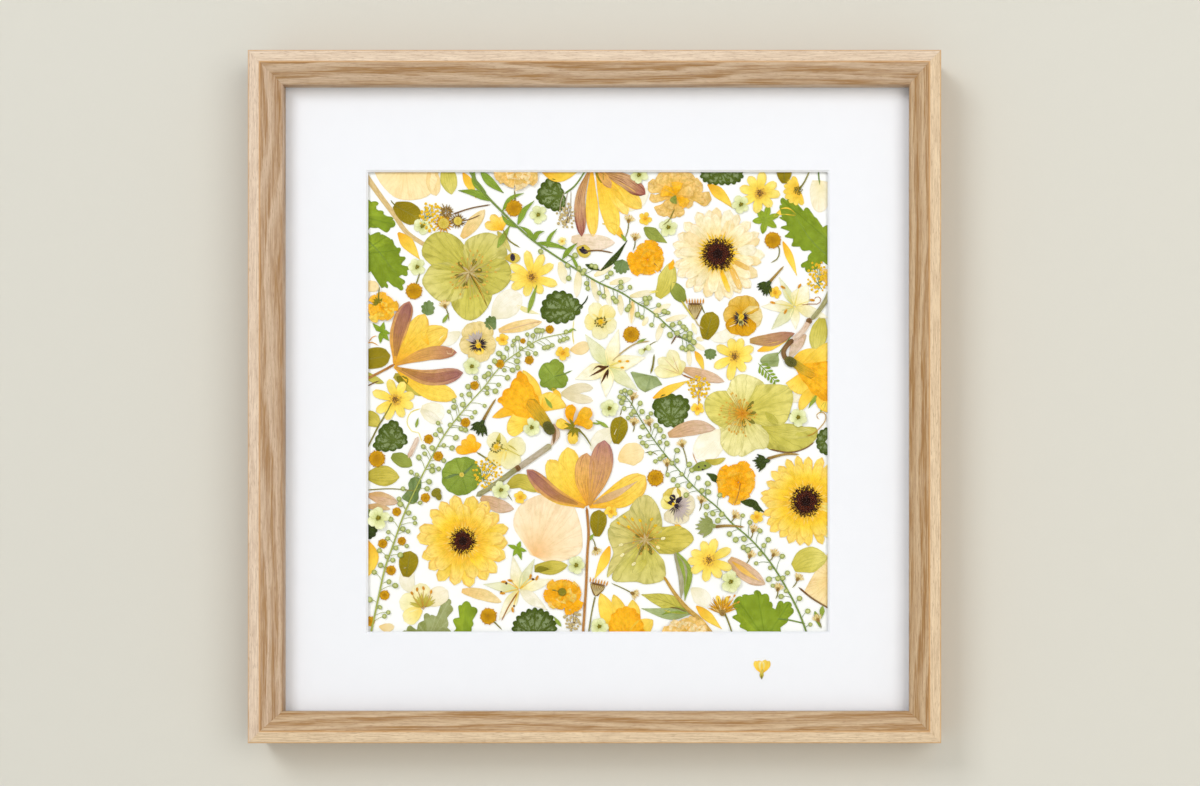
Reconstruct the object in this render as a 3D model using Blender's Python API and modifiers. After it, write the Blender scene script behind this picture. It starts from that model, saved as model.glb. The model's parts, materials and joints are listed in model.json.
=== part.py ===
"""Pressed flower frame: a glazed oak box frame with a bevelled window mount over a sheet of pressed flowers.

Metres, +Z up, the glass faces -Y and the wall is the plane y = 0.
The origin is on the wall plane, midway between the two sawtooth hangers, where the frame hangs.
Specimen outlines are written in millimetres from the centre of the mount's window, x to the right and z up.
"""

import math

import bmesh
import bpy
from mathutils import Matrix, Vector

MM = 0.001
GAP = 0.0003  # between pieces that touch

# Driving dimensions
FRAME_SIDE = 0.535
RAIL_WIDTH = 0.024
RAIL_DEPTH = 0.038
RAIL_FACE = 0.009  # flat front face, before the slope starts
SLOPE_DROP = 0.010  # how far the slope falls back by the sight edge
LIP_THICKNESS = 0.020  # from the front face to the rebate
REBATE_SIDE = 0.504
BOARD_SIDE = 0.500
WINDOW_SIDE = 0.360
MITRE_GAP = 0.00022  # along each rail, at each end

GLASS_THICKNESS = 0.002
MOUNT_THICKNESS = 0.0015
SHEET_THICKNESS = 0.0015
BACK_THICKNESS = 0.003
SPECIMEN_THICKNESS = 0.0003
SPECIMEN_LAYERS = 3
TUCK = 0.003  # how far a specimen that crosses the window's edge runs under the mount
OUTLINE_STEPS = 2  # points from one outline point to the next
SHOULDER_REACH = 0.62  # how far out a star flower's petals stay wide
SHOULDER_WIDTH = 0.25  # how wide they are there, as a share of the way to the next valley

BUMPER_HEIGHT = 0.0035
BUMPER_RADIUS = 0.006
BUMPER_INSET = 0.022
HANG_BELOW_TOP = 0.008
HANGER_SPACING = 0.300
HANGER_LENGTH = 0.044
HANGER_HEIGHT = 0.009
HANGER_THICKNESS = 0.0012
HANGER_TEETH = 9
HANGER_TOOTH_DEPTH = 0.0014
HANGER_SCREW_ZONE = 0.006  # from each screw to the first tooth
SCREW_SPACING = 0.034
SHANK_RADIUS = 0.0011
SHANK_LENGTH = 0.009
SHANK_STRAIGHT = 0.75  # the share of the shank above its point
HEAD_RADIUS = 0.0026
HEAD_HEIGHT = 0.0013
HOLE_RADIUS = 0.0015
POINT_LENGTH = 0.015
POINT_WIDTH = 0.008
POINT_THICKNESS = 0.0004
POINT_SPACING = 0.250

# Places that follow from them
CENTRE_Z = HANG_BELOW_TOP - FRAME_SIDE / 2
RAIL_BACK = -BUMPER_HEIGHT
FRONT = RAIL_BACK - RAIL_DEPTH
REBATE_EDGE = (FRAME_SIDE - REBATE_SIDE) / 2
BOARD_DROP = (REBATE_SIDE - BOARD_SIDE) / 2 - GAP  # the boards rest on the bottom rail
BOARD_Z = CENTRE_Z - BOARD_DROP
GLASS_Y = FRONT + LIP_THICKNESS + GAP
MOUNT_Y = GLASS_Y + GLASS_THICKNESS + GAP
SPECIMEN_Y = MOUNT_Y + MOUNT_THICKNESS + GAP
LAYER_STEP = SPECIMEN_THICKNESS + GAP
SHEET_Y = SPECIMEN_Y + SPECIMEN_LAYERS * LAYER_STEP
BACK_Y = SHEET_Y + SHEET_THICKNESS + GAP
POINT_Y = BACK_Y + BACK_THICKNESS + GAP
HANGER_Y = RAIL_BACK + GAP

# Colour, roughness and metallic value of each material
MATERIALS = {
    "oak": ((0.68, 0.50, 0.33), 0.55, 0.0),
    "glass": ((0.95, 0.97, 0.96), 0.03, 0.0),
    "mount_board": ((0.88, 0.89, 0.92), 0.85, 0.0),
    "specimen_sheet": ((0.94, 0.94, 0.95), 0.85, 0.0),
    "back_board": ((0.45, 0.33, 0.22), 0.8, 0.0),
    "steel": ((0.60, 0.60, 0.60), 0.35, 1.0),
    "rubber": ((0.08, 0.08, 0.08), 0.85, 0.0),
    "yellow_petal": ((0.96, 0.70, 0.08), 0.7, 0.0),
    "cream_petal": ((0.96, 0.86, 0.60), 0.7, 0.0),
    "peach_petal": ((0.96, 0.78, 0.50), 0.7, 0.0),
    "orange_petal": ((0.94, 0.52, 0.05), 0.7, 0.0),
    "green_petal": ((0.72, 0.72, 0.28), 0.7, 0.0),
    "leaf_green": ((0.28, 0.42, 0.06), 0.75, 0.0),
    "leaf_dark": ((0.09, 0.18, 0.03), 0.75, 0.0),
    "seed_spray": ((0.42, 0.52, 0.16), 0.75, 0.0),
}


def fresh_scene():
    """Removes what the startup scene holds and makes the two collections."""
    for thing in list(bpy.data.objects):
        bpy.data.objects.remove(thing, do_unlink=True)
    for name in ("pressed_flower_frame", "cutters"):
        collection = bpy.data.collections.new(name)
        bpy.context.scene.collection.children.link(collection)
    bpy.data.collections["cutters"].hide_render = True


def material(name):
    """The Principled material of this name, made the first time that it's asked for."""
    if name in bpy.data.materials:
        return bpy.data.materials[name]
    colour, roughness, metallic = MATERIALS[name]
    made = bpy.data.materials.new(name)
    made.use_nodes = True
    shader = made.node_tree.nodes["Principled BSDF"]
    shader.inputs["Base Color"].default_value = (*colour, 1.0)
    shader.inputs["Roughness"].default_value = roughness
    shader.inputs["Metallic"].default_value = metallic
    if name == "glass":
        shader.inputs["Transmission Weight"].default_value = 1.0
    return made


def add(name, data, finish, collection="pressed_flower_frame"):
    """A new object of this data, with its material, in a collection."""
    thing = bpy.data.objects.new(name, data)
    bpy.data.collections[collection].objects.link(thing)
    if finish:
        data.materials.append(material(finish))
    return thing


def outline(name, loops, thickness, finish):
    """A flat plate: closed loops of (x, z) points, the second and later ones holes, standing in the XZ plane.

    The plate is centred on its object's origin, across its thickness."""
    curve = bpy.data.curves.new(name, "CURVE")
    curve.dimensions = "2D"
    curve.fill_mode = "BOTH"
    curve.extrude = thickness / 2
    for loop in loops:
        spline = curve.splines.new("POLY")
        spline.points.add(len(loop) - 1)
        for point, (x, z) in zip(spline.points, loop):
            point.co = (x, z, 0, 1)
        spline.use_cyclic_u = True
    plate = add(name, curve, finish)
    plate.rotation_euler = (math.pi / 2, 0, 0)
    return plate


def as_mesh(thing):
    """The same piece as a welded mesh, with its transform applied. The curve is removed."""
    bpy.context.view_layer.update()
    graph = bpy.context.evaluated_depsgraph_get()
    mesh = bpy.data.meshes.new_from_object(thing.evaluated_get(graph))
    mesh.transform(thing.matrix_world)
    work = bmesh.new()
    work.from_mesh(mesh)
    bmesh.ops.remove_doubles(work, verts=work.verts, dist=0.000001)
    bmesh.ops.recalc_face_normals(work, faces=work.faces)
    work.to_mesh(mesh)
    work.free()
    name = thing.name
    bpy.data.objects.remove(thing, do_unlink=True)
    solid = bpy.data.objects.new(name, mesh)
    bpy.data.collections["pressed_flower_frame"].objects.link(solid)
    return solid


def slab(name, side, thickness, front_y, finish):
    """A square board standing on edge, with its front face at front_y."""
    bpy.ops.mesh.primitive_cube_add(size=1, location=(0, front_y + thickness / 2, BOARD_Z))
    board = bpy.context.object
    board.name = name
    board.scale = (side, thickness, side)
    bpy.ops.object.transform_apply(location=False, rotation=False, scale=True)
    for collection in list(board.users_collection):
        collection.objects.unlink(board)
    bpy.data.collections["pressed_flower_frame"].objects.link(board)
    board.data.materials.append(material(finish))
    return board


def cutter(name, radius_front, radius_back, depth, sides, place, turn=0.0):
    """A cone or cylinder along +Y, from its front end at place, for a Boolean."""
    mesh = bpy.data.meshes.new(name)
    work = bmesh.new()
    bmesh.ops.create_cone(
        work,
        cap_ends=True,
        segments=sides,
        radius1=radius_back,
        radius2=radius_front,
        depth=depth,
    )
    work.to_mesh(mesh)
    work.free()
    tool = add(name, mesh, None, "cutters")
    tool.matrix_world = (
        Matrix.Translation(Vector(place) + Vector((0, depth / 2, 0)))
        @ Matrix.Rotation(math.pi / 2, 4, "X")
        @ Matrix.Rotation(turn, 4, "Z")
    )
    tool.hide_render = True
    tool.display_type = "WIRE"
    return tool


def cut(thing, tool):
    """Subtracts the tool from the thing, with the EXACT solver."""
    modifier = thing.modifiers.new("cut_" + tool.name, "BOOLEAN")
    modifier.operation = "DIFFERENCE"
    modifier.solver = "EXACT"
    modifier.object = tool


def circle(radius, sides, x=0.0, z=0.0):
    """Points round a circle."""
    turns = [2 * math.pi * step / sides for step in range(sides)]
    return [(x + radius * math.cos(turn), z + radius * math.sin(turn)) for turn in turns]


# ---------------------------------------------------------------- frame, glass and boards


def rail_profile():
    """The rail's section: distance in from the frame's outer edge, and back from its front face."""
    return [
        (0, 0),
        (RAIL_FACE, 0),
        (RAIL_WIDTH, SLOPE_DROP),
        (RAIL_WIDTH, LIP_THICKNESS),
        (REBATE_EDGE, LIP_THICKNESS),
        (REBATE_EDGE, RAIL_DEPTH),
        (0, RAIL_DEPTH),
    ]


def make_rail(name, quarter_turns):
    """One mitred oak rail: the bottom one, turned by quarter turns about the frame's centre."""
    rail = outline(name, [rail_profile()], FRAME_SIDE, "oak")
    rail.rotation_euler = (0, 0, 0)
    rail = as_mesh(rail)
    for vertex in rail.data.vertices:
        end = FRAME_SIDE / 2 - vertex.co.x - MITRE_GAP
        vertex.co.z = math.copysign(end, vertex.co.z)
    section_up = Matrix(((0, 0, -1), (0, 1, 0), (1, 0, 0))).to_4x4()
    rail.data.transform(Matrix.Translation((0, FRONT, -FRAME_SIDE / 2)) @ section_up)
    rail.location = (0, 0, CENTRE_Z)
    rail.rotation_euler = (0, quarter_turns * math.pi / 2, 0)
    return rail


def make_frame():
    """Four rails, with pilot holes for the hanger screws in the top one."""
    for turns, name in enumerate(("rail_bottom", "rail_left", "rail_top", "rail_right")):
        rail = make_rail(name, turns)
        if name == "rail_top":
            for number, (x, z) in enumerate(screw_places(), start=1):
                place = (x, RAIL_BACK - SHANK_LENGTH - GAP, z)
                depth = SHANK_LENGTH + 0.002
                cut(rail, cutter(f"pilot_hole_{number}", HOLE_RADIUS, HOLE_RADIUS, depth, 12, place))


def make_boards():
    """The glass, the window mount, the sheet that the specimens are fixed on, and the back board."""
    slab("glass", BOARD_SIDE, GLASS_THICKNESS, GLASS_Y, "glass")
    mount = slab("window_mount", BOARD_SIDE, MOUNT_THICKNESS, MOUNT_Y, "mount_board")
    # The window's edge is bevelled at 45 degrees, wider at the front.
    margin = 0.001
    corner = math.sqrt(0.5)
    front = (WINDOW_SIDE + 2 * (MOUNT_THICKNESS + margin)) * corner
    back = (WINDOW_SIDE - 2 * margin) * corner
    depth = MOUNT_THICKNESS + 2 * margin
    place = (0, MOUNT_Y - margin, BOARD_Z)
    cut(mount, cutter("window_cutter", front, back, depth, 4, place, math.pi / 4))
    slab("specimen_sheet", BOARD_SIDE, SHEET_THICKNESS, SHEET_Y, "specimen_sheet")
    slab("back_board", BOARD_SIDE, BACK_THICKNESS, BACK_Y, "back_board")


def make_points():
    """Eight flat framer's points, two on each side, that hold the boards in the rebate."""
    shape = [
        (-POINT_WIDTH / 2, 0),
        (POINT_WIDTH / 2, 0),
        (POINT_WIDTH / 2, POINT_LENGTH * 0.7),
        (POINT_WIDTH * 0.25, POINT_LENGTH),
        (-POINT_WIDTH * 0.25, POINT_LENGTH),
        (-POINT_WIDTH / 2, POINT_LENGTH * 0.7),
    ]
    reach = REBATE_SIDE / 2 - GAP
    for number in range(8):
        along = POINT_SPACING / 2 * (1 if number % 2 else -1)
        loop = [(x + along, z - reach) for x, z in shape]
        tab = outline(f"framers_point_{number + 1}", [loop], POINT_THICKNESS, "steel")
        turn = Matrix.Rotation(number // 2 * math.pi / 2, 4, "Y")
        middle = Vector((0, POINT_Y + POINT_THICKNESS / 2, CENTRE_Z))
        tab.matrix_world = Matrix.Translation(middle) @ turn @ Matrix.Rotation(math.pi / 2, 4, "X")


# ---------------------------------------------------------------- hanging and wall fittings


def screw_places():
    """Where the four hanger screws go, as (x, z)."""
    sides = (-HANGER_SPACING / 2, HANGER_SPACING / 2)
    return [(side + end * SCREW_SPACING / 2, 0.0) for side in sides for end in (-1, 1)]


def hanger_loop(x):
    """The sawtooth hanger's outline: a bar with round ends, and teeth along the middle of its lower edge."""
    half, tall = HANGER_LENGTH / 2, HANGER_HEIGHT / 2
    toothed = SCREW_SPACING - 2 * HANGER_SCREW_ZONE
    pitch = toothed / HANGER_TEETH
    ends = [math.pi * step / 8 for step in range(9)]
    left = [(-(half - tall) - tall * math.sin(a), tall * math.cos(a)) for a in ends]
    right = [((half - tall) + tall * math.sin(a), -tall * math.cos(a)) for a in ends]
    teeth = []
    for tooth in range(HANGER_TEETH):
        start = -toothed / 2 + tooth * pitch
        teeth += [(start, -tall), (start + pitch / 2, -tall + HANGER_TOOTH_DEPTH)]
    teeth.append((toothed / 2, -tall))
    return [(x + px, pz) for px, pz in left + teeth + right]


def make_hangers():
    """Two sawtooth hangers on the back of the top rail, each with two screws."""
    for side, x in (("left", -HANGER_SPACING / 2), ("right", HANGER_SPACING / 2)):
        holes = [circle(HOLE_RADIUS, 12, x + end * SCREW_SPACING / 2) for end in (-1, 1)]
        hanger = outline(f"hanger_{side}", [hanger_loop(x), *holes], HANGER_THICKNESS, "steel")
        hanger.location = (0, HANGER_Y + HANGER_THICKNESS / 2, 0)
    for number, (x, z) in enumerate(screw_places(), start=1):
        make_screw(f"hanger_screw_{number}", (x, HANGER_Y + HANGER_THICKNESS + GAP, z))


def make_screw(name, place):
    """A pan-head screw, turned about local Z: its head's seat is at place and its shank runs along -Y."""
    rounding = [math.pi / 2 * step / 3 for step in range(4)]
    head = [(HEAD_RADIUS * math.sin(a), HEAD_HEIGHT * math.cos(a)) for a in rounding]
    shank = [(SHANK_RADIUS, 0.0), (SHANK_RADIUS, -SHANK_LENGTH * SHANK_STRAIGHT), (0.0, -SHANK_LENGTH)]
    mesh = bpy.data.meshes.new(name)
    work = bmesh.new()
    points = [work.verts.new((radius, 0, height)) for radius, height in head + shank]
    for first, second in zip(points, points[1:]):
        work.edges.new((first, second))
    work.to_mesh(mesh)
    work.free()
    screw = add(name, mesh, "steel")
    turned = screw.modifiers.new("turned", "SCREW")
    turned.steps = turned.render_steps = 12
    turned.use_merge_vertices = True
    turned.merge_threshold = 0.00001
    screw.location = place
    screw.rotation_euler = (-math.pi / 2, 0, 0)
    return screw


def make_bumpers():
    """Two rubber pads at the bottom corners of the back, whose faces touch the wall."""
    thickness = BUMPER_HEIGHT - GAP
    z = CENTRE_Z - FRAME_SIDE / 2 + REBATE_EDGE / 2
    for side, direction in (("left", -1), ("right", 1)):
        x = direction * (FRAME_SIDE / 2 - BUMPER_INSET)
        pad = outline(f"bumper_{side}", [circle(BUMPER_RADIUS, 24)], thickness, "rubber")
        pad.location = (x, -thickness / 2, z)


# ---------------------------------------------------------------- pressed specimens


def smoothed(points, steps=OUTLINE_STEPS):
    """A closed Catmull-Rom curve through hand-chosen points, as more points."""
    count = len(points)
    result = []
    for index in range(count):
        before, start, end, after = (Vector(points[(index + k) % count]) for k in (-1, 0, 1, 2))
        for step in range(steps):
            t = step / steps
            bend = (2 * before - 5 * start + 4 * end - after) * t * t
            twist = (3 * start - before - 3 * end + after) * t**3
            place = (2 * start + (end - before) * t + bend + twist) / 2
            result.append((place.x, place.y))
    return result


def clipped(points, axis, sign, limit):
    """The part of a closed outline whose coordinate, times sign, is at most limit."""
    kept = []
    for index, end in enumerate(points):
        start = points[index - 1]
        over_start = sign * start[axis] - limit
        over_end = sign * end[axis] - limit
        if (over_start > 0) != (over_end > 0):
            share = over_start / (over_start - over_end)
            kept.append(tuple(s + (e - s) * share for s, e in zip(start, end)))
        if over_end <= 0:
            kept.append(end)
    return kept


def flower(x, z, radius, rays, notch):
    """A round flower's outline: ray petals, with notches between their tips down to a share of the radius."""
    points = []
    for step in range(rays * 3):
        turn = 2 * math.pi * step / (rays * 3)
        reach = radius * (notch if step % 3 == 0 else 1.0)
        points.append((x + reach * math.cos(turn), z + reach * math.sin(turn)))
    return points


def star(x, z, tips, waist):
    """A star-shaped flower's outline: petal tips in order, joined by valleys at a share of their reach."""
    points = []
    for index, tip in enumerate(tips):
        following = tips[(index + 1) % len(tips)]
        centre, tip, following = Vector((x, z)), Vector(tip), Vector(following)
        valley = (tip + following) / 2
        shoulders = [centre.lerp(end, SHOULDER_REACH).lerp(valley, SHOULDER_WIDTH) for end in (tip, following)]
        points += [tip, shoulders[0], centre.lerp(valley, waist), shoulders[1]]
    return [tuple(point) for point in points]


def ribbon(spine):
    """The outline of a long piece, from its (x, z, half width) stations: up one side and down the other."""
    left, right = [], []
    for index, (x, z, half) in enumerate(spine):
        ahead = spine[min(index + 1, len(spine) - 1)]
        behind = spine[max(index - 1, 0)]
        along = Vector((ahead[0] - behind[0], ahead[1] - behind[1])).normalized()
        left.append((x - along.y * half, z + along.x * half))
        right.append((x + along.y * half, z - along.x * half))
    return left + right[::-1]


# Each entry is a name, a layer (0 lies on the sheet, 2 is nearest the glass), a material and an outline.
ROUND_FLOWERS = [
    ("calendula_cream", 1, "cream_petal", flower(94, 116, 36, 16, 0.93)),
    ("calendula_gold_left", 1, "yellow_petal", flower(-107, -109, 36, 16, 0.92)),
    ("calendula_gold_right", 1, "yellow_petal", flower(164, -78, 36, 16, 0.92)),
    ("lily_centre", 1, "cream_petal", star(
        8, 28, [(38, 36), (31, 9), (7, 4), (-19, 17), (-11, 53), (16, 57)], 0.42)),
    ("lily_right", 0, "cream_petal", star(
        154, 75, [(182, 66), (155, 57), (135, 57), (128, 75), (142, 99), (166, 95)], 0.42)),
    ("lily_bottom", 0, "cream_petal", star(
        -62, -147, [(-36, -140), (-41, -163), (-78, -171), (-90, -143), (-67, -120), (-50, -123)], 0.42)),
]

FLOWERS = [
    ("hellebore_green", 0, "green_petal", [
        (-136, 126), (-128, 133), (-118, 133), (-106, 125), (-96, 131), (-86, 133), (-76, 128),
        (-71, 114), (-69, 98), (-76, 88), (-86, 84), (-88, 74), (-97, 65), (-108, 67), (-116, 78),
        (-128, 81), (-138, 93), (-133, 104), (-137, 115)]),
    ("hellebore_pale", 0, "green_petal", [
        (84, -7), (84, 2), (91, 8), (101, 9), (105, 18), (113, 22), (124, 19), (131, 14), (148, 13),
        (153, 5), (151, -6), (146, -19), (171, -21), (170, -31), (160, -38), (148, -39), (133, -37),
        (124, -37), (113, -43), (102, -41), (97, -33), (97, -21), (89, -15)]),
    ("hellebore_stemmed", 0, "green_petal", [
        (24, -85), (31, -75), (39, -73), (46, -80), (49, -92), (50, -98), (62, -97), (71, -101),
        (75, -108), (68, -115), (64, -119), (68, -131), (68, -145), (66, -155), (74, -165), (90, -183),
        (83, -183), (72, -166), (55, -168), (43, -166), (34, -162), (39, -156), (34, -151), (41, -144),
        (50, -143), (60, -153), (51, -139), (38, -143), (30, -141), (15, -141), (7, -138), (9, -126),
        (12, -118), (8, -107), (9, -97), (15, -91)]),
    ("tulip_left", 0, "yellow_petal", [
        (-161, 33), (-160, 50), (-155, 69), (-148, 79), (-145, 68), (-133, 68), (-127, 61), (-118, 56),
        (-120, 47), (-112, 43), (-112, 34), (-107, 22), (-113, 18), (-111, 6), (-118, 2), (-137, 11),
        (-152, 24), (-161, 27), (-183, 16), (-183, 20), (-164, 29)]),
    ("tulip_bottom", 0, "yellow_petal", [
        (-12, -82), (-30, -76), (-50, -62), (-56, -53), (-45, -55), (-43, -47), (-33, -47), (-29, -37),
        (-20, -36), (-10, -42), (-4, -37), (5, -30), (12, -43), (12, -57), (28, -54), (36, -57),
        (32, -69), (18, -78), (-6, -83), (-7.5, -105), (-9, -140), (-11, -183), (-13.5, -183),
        (-11, -140), (-9.5, -105)]),
    ("tulip_top", 0, "yellow_petal", [
        (-8, 178), (-18, 163), (-17, 145), (-15, 130), (-5, 130), (1, 139), (8, 133), (15, 132),
        (19, 143), (24, 148), (33, 149), (34, 158), (37, 163), (27, 172), (10, 175), (-2, 177.5)]),
    ("daffodil_centre", 0, "orange_petal", [
        (-79, 0), (-74, 10), (-67, 18), (-61, 26), (-53, 23), (-48, 14), (-46, 6), (-37, 8), (-29, 4),
        (-25, -5), (-36, -4), (-44, -5), (-40, -14), (-33, -20), (-33, -29), (-41, -39), (-60, -52),
        (-80, -65), (-95, -75), (-96, -70), (-80, -58), (-62, -47), (-44, -36), (-41, -29), (-45, -17),
        (-52, -11), (-58, -12), (-62, -25), (-72, -25), (-70, -16), (-69, -9), (-82, -13), (-80, -8),
        (-69, -4)]),
    ("daffodil_right", 1, "orange_petal", [
        (186, 92), (182, 79), (171, 65), (158, 52), (151, 40), (157, 32), (159, 40), (170, 32),
        (176, 43), (186, 50), (186, -4), (176, 4), (169, 7), (168, -1), (162, -7), (156, -2), (159, 7),
        (147, 14), (158, 22), (153, 26), (146, 31), (144, 38), (150, 48), (166, 68), (178, 84)]),
    ("daffodil_bottom", 0, "orange_petal", [
        (11, -186), (5, -168), (1, -156), (5, -149), (13, -152), (26, -156), (31, -169), (41, -170),
        (42, -186)]),
    ("viola_left", 0, "yellow_petal", [
        (-95, 64), (-104, 62), (-111, 54), (-109, 42), (-101, 36), (-95, 31.5), (-87, 33), (-81, 40),
        (-82, 52), (-86, 61)]),
    ("viola_right", 0, "yellow_petal", [
        (117, 84), (108, 82), (101, 77), (97, 64), (100, 56), (106, 52.5), (115, 51), (123, 57),
        (129, 61), (130, 69), (125, 81)]),
    ("viola_bottom", 0, "yellow_petal", [
        (57, -65), (49, -70), (48, -77), (54, -82), (51, -89), (60, -97), (71, -94), (77, -86),
        (73, -74), (67, -66)]),
    ("buttercup_pale", 0, "cream_petal", [
        (-11.5, 68), (-8, 58), (1, 49), (9, 51), (14, 57), (11, 70), (4, 79), (-7, 76)]),
    ("anemone_pale", 1, "cream_petal", [
        (-89, -31), (-83, -23), (-70, -27), (-56, -29), (-57, -40), (-66, -50), (-77, -54), (-84, -45),
        (-89, -39)]),
    ("begonia_orange", 1, "orange_petal", [
        (38, 171), (48, 179), (60, 175), (66, 179), (80, 180), (82, 166), (86, 160), (76, 153),
        (69, 155), (63, 145), (57, 151), (50, 144), (42, 151), (40, 159), (43, 165)]),
]

PETALS = [
    ("peach_petal_large", 1, "peach_petal", [
        (-51, -122), (-59, -110), (-66.5, -97), (-63, -83), (-50, -74), (-35, -72.5), (-21, -79),
        (-15, -92), (-12.5, -105), (-14, -118), (-29, -125), (-42, -126)]),
    ("peach_petal_top", 0, "peach_petal", [
        (-178, 186), (-171, 172), (-160, 161), (-148, 158.5), (-135, 161), (-128, 169), (-124, 186)]),
]

LEAVES = [
    ("lobed_leaf_left", 0, "leaf_green", [
        (-186, 158), (-176, 157), (-172, 151), (-166, 147), (-160, 139), (-167, 132), (-162, 125),
        (-154, 119), (-148, 106), (-154, 103), (-150, 94), (-156, 87), (-163, 92), (-170, 90),
        (-175, 99), (-186, 101)]),
    ("lobed_leaf_right", 1, "leaf_green", [
        (186, 138), (178, 138), (172, 147), (167, 151), (162, 159), (155, 157), (147, 161.5),
        (141, 155), (144, 145), (141, 140), (148, 132), (145, 128), (156, 121), (165, 118), (158, 109),
        (163, 102), (175, 105), (186, 106)]),
    ("lobed_leaf_low_right", 0, "leaf_green", [
        (104, -163), (108, -155), (114, -150), (122, -149), (129, -148), (135, -155), (140, -163),
        (141, -156), (151, -158), (152, -166), (161, -173), (148, -171), (143, -186), (119, -186),
        (107, -174)]),
    ("columbine_leaf", 0, "leaf_green", [
        (-117, -186), (-117, -166), (-110, -158), (-101, -157), (-95, -163), (-99, -172), (-99, -186)]),
    ("scalloped_leaf_top", 0, "leaf_dark", [
        (-27, 163), (-30, 172), (-38, 176), (-45, 171), (-48, 160), (-42, 153), (-31, 149), (-26, 155),
        (-26, 161), (-9, 181), (-11, 181)]),
    ("scalloped_leaf_centre", 0, "leaf_dark", [
        (-46, 69), (-44, 79), (-36, 87), (-25, 87), (-15, 80), (-12, 73), (-20, 64), (-30, 61),
        (-41, 63)]),
    ("scalloped_leaf_left", 0, "leaf_dark", [
        (-171, -19), (-160, -13.5), (-153, -22), (-149, -31), (-158, -38), (-171, -39), (-177, -35),
        (-174, -26)]),
    ("scalloped_leaf_right", 0, "leaf_dark", [
        (42, 0), (51, 6), (64, 6), (72, 0), (70, -12), (62, -20), (49, -18), (43, -8)]),
    ("round_leaf_centre", 0, "leaf_green", [
        (-47, 27), (-38, 33), (-29, 33), (-25, 22), (-23, 15), (-30, 10), (-38, 9), (-46, 14)]),
    ("round_leaf_low", 0, "leaf_green", [
        (-124, -58), (-120, -49), (-111, -43), (-99, -44), (-92, -52), (-93, -63), (-100, -71),
        (-110, -73.5), (-120, -68)]),
]

SPRAYS = [
    ("seed_spray_left", 2, "seed_spray", [
        (-178, -186, 4), (-169, -150, 12), (-158, -110, 13), (-142, -65, 13), (-122, -28, 14),
        (-97, 3, 16), (-72, 32, 16), (-50, 47, 12), (-20, 55, 5)]),
    ("seed_spray_top", 2, "seed_spray", [
        (-101, 186, 4), (-80, 158, 13), (-56, 133, 16), (-22, 108, 14), (10, 93, 14), (42, 70, 14),
        (62, 54, 10), (75, 46, 4)]),
    ("seed_spray_right", 2, "seed_spray", [
        (24, 6, 8), (36, -16, 13), (52, -40, 13), (70, -62, 13), (98, -88, 14), (124, -112, 14),
        (143, -140, 12), (163, -186, 8)]),
]


def make_specimens():
    """The largest specimens as thin plates, in layers between the mount and the sheet."""
    hidden_edge = WINDOW_SIDE / 2 / MM + TUCK / MM
    catalogue = list(ROUND_FLOWERS)
    catalogue += [(*entry[:3], smoothed(entry[3])) for entry in FLOWERS + PETALS + LEAVES]
    catalogue += [(*entry[:3], smoothed(ribbon(entry[3]))) for entry in SPRAYS]
    for name, layer, finish, points in catalogue:
        for axis in (0, 1):
            for sign in (-1, 1):
                points = clipped(points, axis, sign, hidden_edge)
        loop = [(x * MM, z * MM) for x, z in points]
        plate = outline(name, [loop], SPECIMEN_THICKNESS, finish)
        y = SHEET_Y - GAP - SPECIMEN_THICKNESS / 2 - layer * LAYER_STEP
        plate.location = (0, y, BOARD_Z)


def main():
    fresh_scene()
    make_frame()
    make_boards()
    make_points()
    make_hangers()
    make_bumpers()
    make_specimens()


main()
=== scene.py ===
"""Looks of the pressed flower frame: oak rails, glass, window mount, and the specimens on their sheet.

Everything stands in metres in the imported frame's own axes. Specimens are written in millimetres from the
middle of the mount's window, x to the right and z up. A shape's lift is how far it stands off the sheet.
"""

import json
import logging
import math
import random
from collections.abc import Sequence
from dataclasses import dataclass
from enum import Enum

import bmesh
import bpy
from mathutils import Matrix, Vector, noise

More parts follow.
